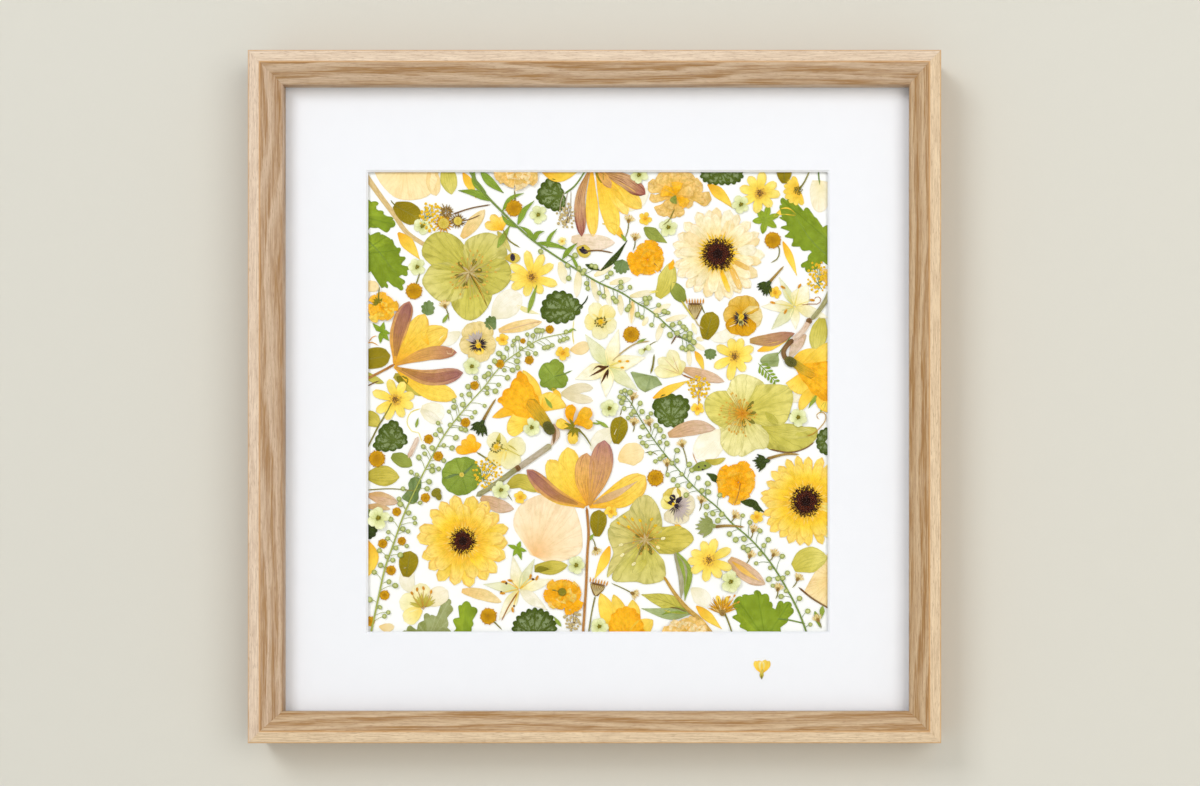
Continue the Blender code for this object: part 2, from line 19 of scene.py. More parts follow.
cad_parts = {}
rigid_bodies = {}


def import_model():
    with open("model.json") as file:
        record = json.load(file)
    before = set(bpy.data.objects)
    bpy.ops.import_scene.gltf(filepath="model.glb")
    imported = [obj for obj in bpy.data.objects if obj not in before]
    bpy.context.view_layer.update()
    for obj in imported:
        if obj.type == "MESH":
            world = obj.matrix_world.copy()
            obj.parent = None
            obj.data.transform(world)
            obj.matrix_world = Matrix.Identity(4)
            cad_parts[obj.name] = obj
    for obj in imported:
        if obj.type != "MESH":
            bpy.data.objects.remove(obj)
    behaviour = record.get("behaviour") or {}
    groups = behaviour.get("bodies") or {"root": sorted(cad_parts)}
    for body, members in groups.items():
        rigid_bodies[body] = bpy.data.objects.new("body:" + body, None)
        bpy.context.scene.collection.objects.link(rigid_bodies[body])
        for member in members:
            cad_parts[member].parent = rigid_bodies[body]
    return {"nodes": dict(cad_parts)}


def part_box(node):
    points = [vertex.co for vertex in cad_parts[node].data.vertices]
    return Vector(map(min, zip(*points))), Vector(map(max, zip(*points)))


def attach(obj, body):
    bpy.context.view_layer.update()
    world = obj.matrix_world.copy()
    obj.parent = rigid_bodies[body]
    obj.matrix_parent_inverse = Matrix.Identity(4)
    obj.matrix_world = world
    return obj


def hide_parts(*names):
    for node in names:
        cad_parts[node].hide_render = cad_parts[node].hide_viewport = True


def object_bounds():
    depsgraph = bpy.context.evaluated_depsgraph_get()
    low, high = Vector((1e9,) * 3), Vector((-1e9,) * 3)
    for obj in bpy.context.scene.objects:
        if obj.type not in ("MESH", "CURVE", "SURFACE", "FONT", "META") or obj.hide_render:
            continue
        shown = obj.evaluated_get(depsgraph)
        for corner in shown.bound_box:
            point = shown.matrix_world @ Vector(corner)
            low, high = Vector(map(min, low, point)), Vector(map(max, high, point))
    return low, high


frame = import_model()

log = logging.getLogger("pressed_flower_frame")

CAD_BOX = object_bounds()
BODY = "root"

MM = 0.001
WINDOW_HALF = 180.0  # half the mount's window, in millimetres
TUCK = 2.6  # how far a specimen runs under the mount, in millimetres
BLADE_THICKNESS = 0.05  # of a dried petal or leaf, in millimetres
RELIEF_HEIGHT = 0.1  # of the slow waves that a dried sheet of petals lies in
RELIEF_LENGTH = 11.0  # from one of those waves to the next
LAYER_SHARE = 0.6  # how far a specimen's layer sits down once it is pressed
ROW_RISE = 0.07  # from one row of rays to the row over it
EDGE_STEPS = 3  # samples from one point of an outline to the next
FAN_ROWS = 5  # faces from a blade's root to its edge
TOOTH_STEPS = 6  # points along each tooth of an edge
SPRAY_SAMPLES = 120  # places on a spray's stem where a stalk may start
SHARP_ANGLE = math.radians(40)
GOLDEN_ANGLE = math.pi * (3 - math.sqrt(5))
SHEET_LOW, SHEET_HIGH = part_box("specimen_sheet")
MOUNT_LOW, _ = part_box("window_mount")
WINDOW = Vector(((SHEET_LOW.x + SHEET_HIGH.x) / 2, SHEET_LOW.y, (SHEET_LOW.z + SHEET_HIGH.z) / 2))

Point = tuple[float, float]


def linear(code: str) -> Vector:
    """The linear colour of a six-letter sRGB code.

    Args:
        code: the colour as rrggbb.

    Returns:
        Its linear red, green and blue.
    """
    shares = [int(code[start:start + 2], 16) / 255 for start in (0, 2, 4)]
    return Vector([s / 12.92 if s <= 0.04045 else ((s + 0.055) / 1.055) ** 2.4 for s in shares])


def opaque(code: str) -> tuple[float, ...]:
    """The linear colour of a six-letter sRGB code, with full alpha."""
    return (*linear(code), 1)


def place(x: float, z: float, lift: float) -> Vector:
    """A spot on the sheet in the frame's axes.

    Args:
        x: millimetres to the right of the window's middle.
        z: millimetres above it.
        lift: millimetres off the sheet, towards the glass.

    Returns:
        The spot in metres.
    """
    wave = noise.noise(Vector((x, z, 0)) / RELIEF_LENGTH) + 0.6
    return WINDOW + Vector((x, -(lift + RELIEF_HEIGHT * max(0.0, wave)), z)) * MM


# ---------------------------------------------------------------- shader node graphs


class Graph:
    """Adds nodes to one node tree and joins them."""

    def __init__(self, tree: bpy.types.NodeTree) -> None:
        """Starts on a node tree."""
        self.tree = tree

    def join(self, value: object, socket: bpy.types.NodeSocket) -> None:
        """Links value to the socket if it is a socket too, and sets it otherwise."""
        if isinstance(value, bpy.types.NodeSocket):
            self.tree.links.new(value, socket)
        else:
            socket.default_value = value

    def add(self, kind: str, inputs: dict | None = None, **settings: object) -> bpy.types.Node:
        """Adds one node.

        Args:
            kind: the node's type, without ShaderNode.
            inputs: a value or a socket for each input, by its name or number.
            settings: the node's own properties.

        Returns:
            The node.
        """
        made = self.tree.nodes.new("ShaderNode" + kind)
        for key, value in settings.items():
            setattr(made, key, value)
        for key, value in (inputs or {}).items():
            self.join(value, made.inputs[key])
        return made

    def math(self, operation: str, *values: object) -> bpy.types.NodeSocket:
        """The result of a Math node on these values."""
        return self.add("Math", dict(enumerate(values)), operation=operation).outputs[0]

    def step(self, value: object, low: float, high: float, start: float = 0.0,
             end: float = 1.0) -> bpy.types.NodeSocket:
        """A smooth rise from start to end, as value goes from low to high."""
        limits = {0: value, 1: low, 2: high, 3: start, 4: end}
        return self.add("MapRange", limits, interpolation_type="SMOOTHSTEP").outputs[0]

    def mix(self, share: object, first: object, second: object, blend: str = "MIX") -> bpy.types.NodeSocket:
        """Two colours mixed by share, in one of Blender's blend modes."""
        node = self.add("Mix", {0: share, 6: first, 7: second}, data_type="RGBA", blend_type=blend)
        return node.outputs[2]

    def noise(self, vector: object, scale: float, detail: float = 2.0,
              rough: float = 0.5) -> bpy.types.NodeSocket:
        """A noise texture's value, about 0.5 on average."""
        inputs = {"Vector": vector, "Scale": scale, "Detail": detail, "Roughness": rough}
        return self.add("TexNoise", inputs).outputs[0]

    def stretch(self, vector: object, scale: Sequence[float]) -> bpy.types.NodeSocket:
        """A vector scaled by a different number on each axis."""
        return self.add("Mapping", {"Vector": vector, "Scale": scale}).outputs[0]

    def group(self, name: str, inputs: dict) -> bpy.types.Node:
        """Places one of the shared node groups, with these inputs."""
        made = self.tree.nodes.new("ShaderNodeGroup")
        made.node_tree = bpy.data.node_groups[name]
        for key, value in inputs.items():
            self.join(value, made.inputs[key])
        return made


def new_group(name: str, inputs: dict[str, object],
              outputs: Sequence[str]) -> tuple[Graph, dict, bpy.types.Node]:
    """Starts a shader node group.

    Args:
        name: the group's name.
        inputs: each input's default, a number or a vector.
        outputs: the names of its outputs, which are all numbers.

    Returns:
        Its graph, its inputs by name, and the node that its outputs go to.
    """
    tree = bpy.data.node_groups.new(name, "ShaderNodeTree")
    for key, value in inputs.items():
        kind = "NodeSocketFloat" if isinstance(value, float) else "NodeSocketVector"
        socket = tree.interface.new_socket(name=key, in_out="INPUT", socket_type=kind)
        socket.default_value = value
    for key in outputs:
        tree.interface.new_socket(name=key, in_out="OUTPUT", socket_type="NodeSocketFloat")
    entry = tree.nodes.new("NodeGroupInput")
    return Graph(tree), {key: entry.outputs[key] for key in inputs}, tree.nodes.new("NodeGroupOutput")


def build_petal_veins() -> None:
    """Veins that run along a petal: irregular streaks, and finer lines between them."""
    graph, given, result = new_group(
        "petal veins", {"Vector": (0, 0, 0), "Count": 7.0, "Wander": 0.4}, ("Mask", "Lines")
    )
    parts = graph.add("SeparateXYZ", {0: given["Vector"]})
    across = graph.math("MULTIPLY", parts.outputs[0], given["Count"])
    along = graph.math("MULTIPLY", parts.outputs[1], 1.7)
    shifts = graph.add("CombineXYZ", {0: across, 1: graph.math("MULTIPLY", along, 2.0)}).outputs[0]
    drift = graph.math("MULTIPLY", graph.noise(shifts, 0.7), given["Wander"])
    strands = graph.add("CombineXYZ", {0: graph.math("MULTIPLY", across, 1.6), 1: along}).outputs[0]
    streak = graph.step(graph.noise(strands, 1.0, 3.0, 0.6), 0.47, 0.68)
    phase = graph.math("MULTIPLY", graph.math("ADD", across, drift), math.pi)
    wave = graph.math("ABSOLUTE", graph.math("SINE", phase))
    lines = graph.step(wave, 0.0, 0.24, 1.0, 0.0)
    graph.join(graph.math("MAXIMUM", streak, graph.math("MULTIPLY", lines, 0.8)), result.inputs["Mask"])
    graph.join(lines, result.inputs["Lines"])


def build_rim() -> None:
    """The edge of a blade, from its UV: 1 on the edge and 0 a share of the width in, broken up by noise."""
    graph, given, result = new_group("rim", {"Vector": (0, 0, 0), "Width": 0.1, "Sides": 1.0}, ("Mask",))
    parts = graph.add("SeparateXYZ", {0: given["Vector"]})
    side = graph.math("MINIMUM", parts.outputs[0], graph.math("SUBTRACT", 1.0, parts.outputs[0]))
    open_side = graph.math("ADD", side, graph.math("SUBTRACT", 1.0, given["Sides"]))
    end = graph.math("MULTIPLY", graph.math("SUBTRACT", 1.0, parts.outputs[1]), 1.4)
    ragged = graph.math("MULTIPLY", graph.math("SUBTRACT", graph.noise(given["Vector"], 9.0), 0.5), 0.08)
    inward = graph.math("ADD", graph.math("MINIMUM", open_side, end), ragged)
    share = graph.math("DIVIDE", inward, given["Width"])
    graph.join(graph.step(share, 0.0, 1.0, 1.0, 0.0), result.inputs["Mask"])


def build_mottle() -> None:
    """Cloudy patches of a chosen size over a whole piece, about 0.5 on average."""
    graph, given, result = new_group("mottle", {"Scale": 150.0}, ("Mask",))
    spot = graph.add("TexCoord").outputs["Object"]
    graph.join(graph.noise(spot, given["Scale"], 4.0, 0.62), result.inputs["Mask"])


def build_crinkle() -> None:
    """The height of the fine creases in a dried blade: cell walls and a small crumple."""
    graph, given, result = new_group("crinkle", {"Scale": 700.0}, ("Height",))
    spot = graph.add("TexCoord").outputs["Object"]
    cells = graph.add("TexVoronoi", {"Vector": spot, "Scale": given["Scale"]}, feature="DISTANCE_TO_EDGE")
    crumple = graph.add("TexNoise", {"Vector": spot, "Scale": graph.math("MULTIPLY", given["Scale"], 0.5)})
    total = graph.math("ADD", graph.math("MULTIPLY", cells.outputs[0], 0.6), crumple.outputs[0])
    graph.join(total, result.inputs["Height"])


def build_leaf_veins() -> None:
    """A leaf's veins: a midrib with slanted side veins, and palmate veins where UV x counts the lobes."""
    graph, given, result = new_group(
        "leaf veins", {"Vector": (0, 0, 0), "Pairs": 7.0, "Palmate": 0.0}, ("Mask", "Between")
    )
    parts = graph.add("SeparateXYZ", {0: given["Vector"]})
    wander = graph.math("MULTIPLY", graph.math("SUBTRACT", graph.noise(given["Vector"], 4.0), 0.5), 0.12)
    off_rib = graph.math("ABSOLUTE", graph.math("SUBTRACT", parts.outputs[0], 0.5))
    rib = graph.step(off_rib, 0.012, 0.05, 1.0, 0.0)
    slant = graph.math("SUBTRACT", parts.outputs[1], graph.math("MULTIPLY", off_rib, 0.55))
    pairs = graph.math("MULTIPLY", graph.math("ADD", slant, wander), given["Pairs"])
    off_pair = graph.math("ABSOLUTE", graph.math("SUBTRACT", graph.math("FRACT", pairs), 0.5))
    sides = graph.step(off_pair, 0.03, 0.16, 0.75, 0.0)
    pinnate = graph.math("MAXIMUM", rib, sides)
    turn = graph.math("ADD", parts.outputs[0], graph.math("MULTIPLY", wander, 0.8))
    off_ray = graph.math("ABSOLUTE", graph.math("SUBTRACT", graph.math("FRACT", turn), 0.5))
    ray = graph.math("MULTIPLY", off_ray, graph.math("ADD", parts.outputs[1], 0.12))
    rays = graph.step(ray, 0.012, 0.05, 1.0, 0.0)
    forks = graph.math("MULTIPLY", graph.math("SUBTRACT", parts.outputs[1], off_ray), 5.0)
    off_fork = graph.math("ABSOLUTE", graph.math("SUBTRACT", graph.math("FRACT", forks), 0.5))
    palmate = graph.math("MAXIMUM", rays, graph.step(off_fork, 0.03, 0.14, 0.55, 0.0))
    chosen = graph.add("Mix", {0: given["Palmate"], 2: pinnate, 3: palmate}, data_type="FLOAT").outputs[0]
    graph.join(chosen, result.inputs["Mask"])
    apart = graph.add("Mix", {0: given["Palmate"], 2: off_pair, 3: off_ray}, data_type="FLOAT").outputs[0]
    graph.join(graph.math("MULTIPLY", apart, 2.0), result.inputs["Between"])


def build_oak_grain() -> None:
    """Oak grain on coordinates in metres, x along the board: growth bands, fine lines, fibres and pores."""
    marks = ("Bands", "Lines", "Fibres", "Pores")
    graph, given, result = new_group("oak grain", {"Vector": (0, 0, 0)}, marks)
    parts = graph.add("SeparateXYZ", {0: given["Vector"]})
    bend = graph.noise(graph.stretch(given["Vector"], (4.2, 16.0, 16.0)), 1.0, 2.0, 0.4)
    ragged = graph.noise(graph.stretch(given["Vector"], (30.0, 620.0, 620.0)), 1.0, 4.0, 0.65)
    depth = graph.math("ADD", graph.math("MULTIPLY", parts.outputs[2], 0.9), parts.outputs[1])
    shift = graph.math("ADD", graph.math("MULTIPLY", bend, 0.06), graph.math("MULTIPLY", ragged, 0.012))
    radius = graph.math("ADD", depth, shift)
    band = graph.math("FRACT", graph.math("MULTIPLY", radius, 66.0))
    rise, fall = graph.step(band, 0.0, 0.62), graph.step(band, 0.8, 1.0, 1.0, 0.0)
    streaks = graph.noise(graph.stretch(given["Vector"], (24.0, 760.0, 760.0)), 1.0, 3.0, 0.7)
    broken = graph.math("MULTIPLY", graph.math("MULTIPLY", rise, fall),
                        graph.step(streaks, 0.4, 0.6, 0.3, 1.0))
    graph.join(broken, result.inputs["Bands"])
    line = graph.math("FRACT", graph.math("MULTIPLY", radius, 610.0))
    graph.join(graph.math("MULTIPLY", graph.step(line, 0.3, 0.8), graph.step(line, 0.85, 1.0, 1.0, 0.0)),
               result.inputs["Lines"])
    fibres = graph.noise(graph.stretch(given["Vector"], (45.0, 1100.0, 1100.0)), 1.0, 4.0, 0.65)
    graph.join(graph.step(fibres, 0.38, 0.66), result.inputs["Fibres"])
    dashes = graph.noise(graph.stretch(given["Vector"], (170.0, 2200.0, 2200.0)), 1.0, 2.0, 0.5)
    graph.join(graph.step(dashes, 0.56, 0.7), result.inputs["Pores"])


def build_paper_tooth() -> None:
    """The height of the fine felt of a paper or board, with Scale of its fibres."""
    graph, given, result = new_group("paper tooth", {"Scale": 1500.0}, ("Height",))
    spot = graph.add("TexCoord").outputs["Object"]
    felt = graph.add("TexNoise", {"Vector": spot, "Scale": given["Scale"], "Detail": 3.0})
    graph.join(felt.outputs[0], result.inputs["Height"])


def build_groups() -> None:
    """Builds each shared node group once."""
    for build in (build_petal_veins, build_rim, build_mottle, build_crinkle, build_leaf_veins,
                  build_oak_grain, build_paper_tooth):
        build()


# ---------------------------------------------------------------- finishes


@dataclass(frozen=True)
class Finish:
    """What every finish has: a name, a roughness and a way to make its material once."""

    name: str
    roughness: float = 0.6

    def material(self) -> bpy.types.Material:
        """This finish's material, made the first time that it is asked for."""
        if self.name in bpy.data.materials:
            return bpy.data.materials[self.name]
        made = bpy.data.materials.new(self.name)
        made.use_nodes = True
        graph = Graph(made.node_tree)
        shader = made.node_tree.nodes["Principled BSDF"]
        shader.inputs["Roughness"].default_value = self.roughness
        self.paint(graph, shader)
        return made

    def paint(self, graph: Graph, shader: bpy.types.Node) -> None:
        """Builds the nodes in front of the shader."""
        raise NotImplementedError

    @staticmethod
    def dyes(graph: Graph) -> tuple[bpy.types.NodeSocket, ...]:
        """The dye and the streak colour that a pressed piece holds in its mesh."""
        names = ("dye", "streak")
        return tuple(graph.add("Attribute", attribute_name=name).outputs["Color"] for name in names)

    def wear(self, graph: Graph, shader: bpy.types.Node, cloud: object, less: float, more: float) -> None:
        """Lets the roughness follow a cloudy mask, this much below and above its own."""
        rough = graph.step(cloud, 0.3, 0.7, self.roughness - less, self.roughness + more)
        graph.join(rough, shader.inputs["Roughness"])

    @staticmethod
    def bump(graph: Graph, shader: bpy.types.Node, height: object, strength: float, distance: float) -> None:
        """Feeds the shader's Normal from a height, in metres when distance is 1."""
        made = graph.add("Bump", {"Height": height, "Strength": strength, "Distance": distance})
        graph.join(made.outputs[0], shader.inputs["Normal"])


@dataclass(frozen=True)
class BladeFinish(Finish):
    """A dried petal or leaf: its own dye with veins, a rim with painted edge shade, mottling and crinkles."""

    veins: float = 8.0  # across a petal, or pairs along a leaf
    wander: float = 0.5
    rim: float = 0.3  # how strongly the edge takes the streak colour: dried edge and painted shade
    rim_width: float = 0.13
    rim_sides: float = 1.0  # 0 where UV x runs round the outline
    mottling: float = 0.11
    mottle_scale: float = 170.0
    crinkle: float = 0.35

    def paint(self, graph: Graph, shader: bpy.types.Node) -> None:
        """Builds the nodes in front of the shader."""
        uv = graph.add("UVMap", uv_map="blade").outputs[0]
        dye, streak = self.dyes(graph)
        strength = graph.add("Attribute", attribute_name="veins").outputs["Fac"]
        mask, height = self.pattern(graph, uv)
        colour = graph.mix(graph.math("MULTIPLY", mask, strength), dye, streak)
        rim_inputs = {"Vector": uv, "Width": self.rim_width, "Sides": self.rim_sides}
        rim = graph.group("rim", rim_inputs).outputs["Mask"]
        # the rim: the dried edge's own colour, and painted shade that marks where one blade lies over the
        # next
        colour = graph.mix(graph.math("MULTIPLY", rim, self.rim), colour, streak)
        cloud = graph.group("mottle", {"Scale": self.mottle_scale}).outputs["Mask"]
        shade = graph.step(cloud, 0.3, 0.7, 1.0 - self.mottling, 1.0 + self.mottling * 0.45)
        tint = graph.add("CombineColor", {0: shade, 1: shade, 2: graph.math("MULTIPLY", shade, shade)})
        colour = graph.mix(1.0, colour, tint.outputs[0], "MULTIPLY")
        graph.join(colour, shader.inputs["Base Color"])
        shader.inputs["Specular IOR Level"].default_value = 0.05
        self.wear(graph, shader, cloud, 0.08, 0.08)
        creases = graph.group("crinkle", {"Scale": 650.0}).outputs["Height"]
        total = graph.math("ADD", creases, graph.math("MULTIPLY", height, 0.9))
        self.bump(graph, shader, total, self.crinkle, 0.00012)

    def pattern(self, graph: Graph, uv: object) -> tuple[object, object]:
        """The vein mask and the vein height."""
        node = graph.group("petal veins", {"Vector": uv, "Count": self.veins, "Wander": self.wander})
        return node.outputs["Mask"], node.outputs["Lines"]


@dataclass(frozen=True)
class LeafFinish(BladeFinish):
    """A leaf: midrib and side veins, or veins out to each lobe, with pale patches between on some."""

    palmate: float = 0.0

    def pattern(self, graph: Graph, uv: object) -> tuple[object, object]:
        """The vein mask and the vein height."""
        node = graph.group("leaf veins", {"Vector": uv, "Pairs": self.veins, "Palmate": self.palmate})
        return node.outputs["Mask"], node.outputs["Mask"]


@dataclass(frozen=True)
class PatchedLeafFinish(LeafFinish):
    """A leaf whose streak colour fills patches between its veins, away from the edge."""

    def pattern(self, graph: Graph, uv: object) -> tuple[object, object]:
        """The mask of the pale patches and the vein height."""
        node = graph.group("leaf veins", {"Vector": uv, "Pairs": self.veins, "Palmate": self.palmate})
        parts = graph.add("SeparateXYZ", {0: uv})
        along = parts.outputs[1]
        ring = graph.math("MULTIPLY", graph.step(along, 0.1, 0.3), graph.step(along, 0.75, 0.92, 1, 0))
        cloud = graph.step(graph.group("mottle", {"Scale": 420.0}).outputs["Mask"], 0.42, 0.58)
        between = graph.step(node.outputs["Between"], 0.1, 0.45)
        patches = graph.math("MULTIPLY", graph.math("MULTIPLY", ring, cloud), between)
        return patches, node.outputs["Mask"]


@dataclass(frozen=True)
class FibreFinish(Finish):
    """A stem or stalk: its dye with fibres along it."""

    def paint(self, graph: Graph, shader: bpy.types.Node) -> None:
        """Builds the nodes in front of the shader."""
        uv = graph.add("UVMap", uv_map="blade").outputs[0]
        dye, streak = self.dyes(graph)
        fibres = graph.noise(graph.stretch(uv, (9.0, 3.0, 1.0)), 1.0, 3.0)
        mask = graph.step(fibres, 0.42, 0.66, 0.0, 0.55)
        graph.join(graph.mix(mask, dye, streak), shader.inputs["Base Color"])
        cloud = graph.group("mottle", {"Scale": 300.0}).outputs["Mask"]
        self.wear(graph, shader, cloud, 0.1, 0.1)
        shader.inputs["Specular IOR Level"].default_value = 0.1
        self.bump(graph, shader, fibres, 0.5, 0.0001)


@dataclass(frozen=True)
class GrainFinish(Finish):
    """A grainy head, pod, anther or seed: its dye with specks of its streak colour."""

    specks: float = 0.5
    scale: float = 1400.0

    def paint(self, graph: Graph, shader: bpy.types.Node) -> None:
        """Builds the nodes in front of the shader."""
        dye, streak = self.dyes(graph)
        cloud = graph.group("mottle", {"Scale": self.scale}).outputs["Mask"]
        mask = graph.step(cloud, 0.48, 0.62, 0.0, self.specks)
        graph.join(graph.mix(mask, dye, streak), shader.inputs["Base Color"])
        self.wear(graph, shader, cloud, 0.1, 0.1)
        shader.inputs["Specular IOR Level"].default_value = 0.1
        self.bump(graph, shader, cloud, 0.6, 0.00016)


class Skin(Enum):
    """The finishes of the pressed pieces."""

    PETAL = BladeFinish("look_petal", 0.62, veins=7.0, rim_width=0.08)
    FINE_PETAL = BladeFinish("look_fine_petal", 0.6, veins=16.0, wander=1.2, rim=0.22, rim_width=0.06,
                             mottling=0.07)
    RAY = BladeFinish("look_ray_petal", 0.6, veins=6.0, wander=0.3, rim=0.16, rim_width=0.06, mottling=0.12,
                      mottle_scale=260.0)
    PAPERY = BladeFinish("look_papery_petal", 0.58, veins=9.0, wander=1.6, rim=0.3, mottling=0.2,
                         mottle_scale=330.0, crinkle=0.7)
    SEPAL = BladeFinish("look_sepal", 0.62, veins=7.0, wander=1.3, rim=0.26, rim_width=0.07, mottling=0.12,
                        mottle_scale=120.0)
    LEAF = LeafFinish("look_leaf", 0.6, veins=7.0, rim=0.3, rim_width=0.08, mottling=0.15)
    LOBED = LeafFinish("look_lobed_leaf", 0.6, palmate=1.0, rim=0.35, rim_width=0.1, rim_sides=0.0,
                       mottling=0.18)
    PATCHED = PatchedLeafFinish("look_patched_leaf", 0.58, palmate=1.0, rim=0.0, rim_sides=0.0, mottling=0.16)
    STEM = FibreFinish("look_stem", 0.62)
    POD = GrainFinish("look_pod", 0.55, specks=0.3, scale=900.0)
    HEAD = GrainFinish("look_head", 0.7, specks=0.65)


@dataclass(frozen=True)
class OakFinish(Finish):
    """Clear-oiled oak: a pale face, and slopes that show broad brown growth bands under a painted shade."""

    pale: str = "e8dac6"
    brown: str = "a48050"
    grey: str = "96765c"
    gold: str = "c4914a"
    face: float = 0.009  # how wide the flat face is, in metres

    def paint(self, graph: Graph, shader: bpy.types.Node) -> None:
        """Builds the nodes in front of the shader."""
        along = graph.add("Attribute", attribute_name="grain").outputs["Vector"]
        board = graph.add("Attribute", attribute_name="board").outputs["Color"]
        inward = graph.add("Attribute", attribute_name="inward").outputs["Fac"]
        grain = graph.group("oak grain", {"Vector": along})
        pale, brown, grey, gold = map(opaque, (self.pale, self.brown, self.grey, self.gold))
        slope = graph.step(inward, self.face - 0.0003, self.face + 0.0006)
        bands = graph.math("MULTIPLY", grain.outputs["Bands"], graph.step(slope, 0.0, 1.0, 0.14, 0.7))
        # painted shade: the whole slope is pushed towards brown, on top of its growth bands
        slope_shade_and_bands = graph.math("ADD", bands, graph.step(slope, 0.0, 1.0, 0.0, 0.34))
        colour = graph.mix(slope_shade_and_bands, pale, brown)
        lines = graph.math("MULTIPLY", grain.outputs["Lines"], graph.math("ADD", bands, 0.14))
        colour = graph.mix(graph.math("MULTIPLY", lines, 0.55), colour, brown)
        colour = graph.mix(graph.math("MULTIPLY", grain.outputs["Fibres"], 0.38), colour, grey)
        colour = graph.mix(graph.math("MULTIPLY", grain.outputs["Pores"], 0.55), colour, grey)
        rim = graph.step(inward, 0.0002, 0.0011, 0.75, 0.0)
        off_arris = graph.math("ABSOLUTE", graph.math("SUBTRACT", inward, self.face))
        arris = graph.step(off_arris, 0.0002, 0.0009, 0.6, 0.0)
        colour = graph.mix(graph.math("MAXIMUM", rim, arris), colour, gold)
        # the rail's tint: its board's tone, with painted warm light that yellows the right and bottom rails
        colour = graph.mix(1.0, colour, board, "MULTIPLY")
        graph.join(colour, shader.inputs["Base Color"])
        shader.inputs["Specular IOR Level"].default_value = 0.3
        rough = graph.step(grain.outputs["Bands"], 0.0, 1.0, self.roughness, self.roughness - 0.1)
        graph.join(rough, shader.inputs["Roughness"])
        hollow = graph.math("ADD", graph.math("MULTIPLY", grain.outputs["Pores"], -0.7),
                            graph.math("MULTIPLY", grain.outputs["Fibres"], -0.3))
        self.bump(graph, shader, hollow, 0.45, 0.0001)


@dataclass(frozen=True)
class BoardFinish(Finish):
    """Paper, mount board or back board: one colour with a fine tooth and faint clouds."""

    colour: str = "f4f4f5"
    fleck: str = "e9e9ea"
    tooth: float = 1500.0
    flecks: float = 0.3
    height: float = 0.00003

    def paint(self, graph: Graph, shader: bpy.types.Node) -> None:
        """Builds the nodes in front of the shader."""
        felt = graph.group("paper tooth", {"Scale": self.tooth}).outputs["Height"]
        cloud = graph.group("mottle", {"Scale": self.tooth / 9}).outputs["Mask"]
        both = graph.math("MULTIPLY", graph.math("ADD", felt, cloud), 0.5)
        mask = graph.step(both, 0.4, 0.62, 0.0, self.flecks)
        graph.join(graph.mix(mask, opaque(self.colour), opaque(self.fleck)), shader.inputs["Base Color"])
        shader.inputs["Specular IOR Level"].default_value = 0.2
        self.wear(graph, shader, cloud, 0.05, 0.05)
        self.bump(graph, shader, felt, 0.5, self.height)


@dataclass(frozen=True)
class MetalFinish(Finish):
    """Zinc-plated steel with a cloudy bloom."""

    colour: str = "b9b9b4"
    bloom: str = "8f908c"

    def paint(self, graph: Graph, shader: bpy.types.Node) -> None:
        """Builds the nodes in front of the shader."""
        cloud = graph.group("mottle", {"Scale": 700.0}).outputs["Mask"]
        mask = graph.step(cloud, 0.4, 0.65, 0.0, 0.8)
        graph.join(graph.mix(mask, opaque(self.colour), opaque(self.bloom)), shader.inputs["Base Color"])
        shader.inputs["Metallic"].default_value = 1.0
        self.wear(graph, shader, cloud, 0.08, 0.14)
        self.bump(graph, shader, cloud, 0.3, 0.00004)


@dataclass(frozen=True)
class RubberFinish(Finish):
    """Matt dark rubber with a dusty top."""

    colour: str = "2b2b2b"
    dust: str = "4a4945"

    def paint(self, graph: Graph, shader: bpy.types.Node) -> None:
        """Builds the nodes in front of the shader."""
        cloud = graph.group("mottle", {"Scale": 500.0}).outputs["Mask"]
        mask = graph.step(cloud, 0.35, 0.7, 0.0, 0.5)
        graph.join(graph.mix(mask, opaque(self.colour), opaque(self.dust)), shader.inputs["Base Color"])
        self.bump(graph, shader, cloud, 0.4, 0.00006)


@dataclass(frozen=True)
class GlassFinish(Finish):
    """Clear picture glass with a low reflection, which lets lamps through to what is behind it."""

    def paint(self, graph: Graph, shader: bpy.types.Node) -> None:
        """Builds the nodes in front of the shader, and the way round it for the lamps' rays."""
        shader.inputs["Base Color"].default_value = (0.985, 0.995, 0.99, 1)
        shader.inputs["Transmission Weight"].default_value = 1.0
        shader.inputs["IOR"].default_value = 1.12
        clear = graph.add("BsdfTransparent")
        path = graph.add("LightPath")
        lamps = graph.math("MAXIMUM", path.outputs["Is Shadow Ray"], path.outputs["Is Diffuse Ray"])
        mixed = graph.add("MixShader", {0: lamps, 1: shader.outputs[0], 2: clear.outputs[0]})
        output = graph.tree.nodes["Material Output"]
        graph.join(mixed.outputs[0], output.inputs["Surface"])


@dataclass(frozen=True)
class WallFinish(Finish):
    """Plain painted wall or floor, which isn't seen from behind."""

    colour: str = "d4d0c6"

    def paint(self, graph: Graph, shader: bpy.types.Node) -> None:
        """Builds the nodes in front of the shader, and hides its back."""
        cloud = graph.group("mottle", {"Scale": 900.0}).outputs["Mask"]
        mask = graph.step(cloud, 0.4, 0.6, 0.0, 0.03)
        graph.join(graph.mix(mask, opaque(self.colour), (0.5, 0.5, 0.48, 1)), shader.inputs["Base Color"])
        shader.inputs["Specular IOR Level"].default_value = 0.1
        back = graph.add("NewGeometry").outputs["Backfacing"]
        clear = graph.add("BsdfTransparent").outputs[0]
        mixed = graph.add("MixShader", {0: back, 1: shader.outputs[0], 2: clear})
        graph.join(mixed.outputs[0], graph.tree.nodes["Material Output"].inputs["Surface"])


# ---------------------------------------------------------------- shapes of blades


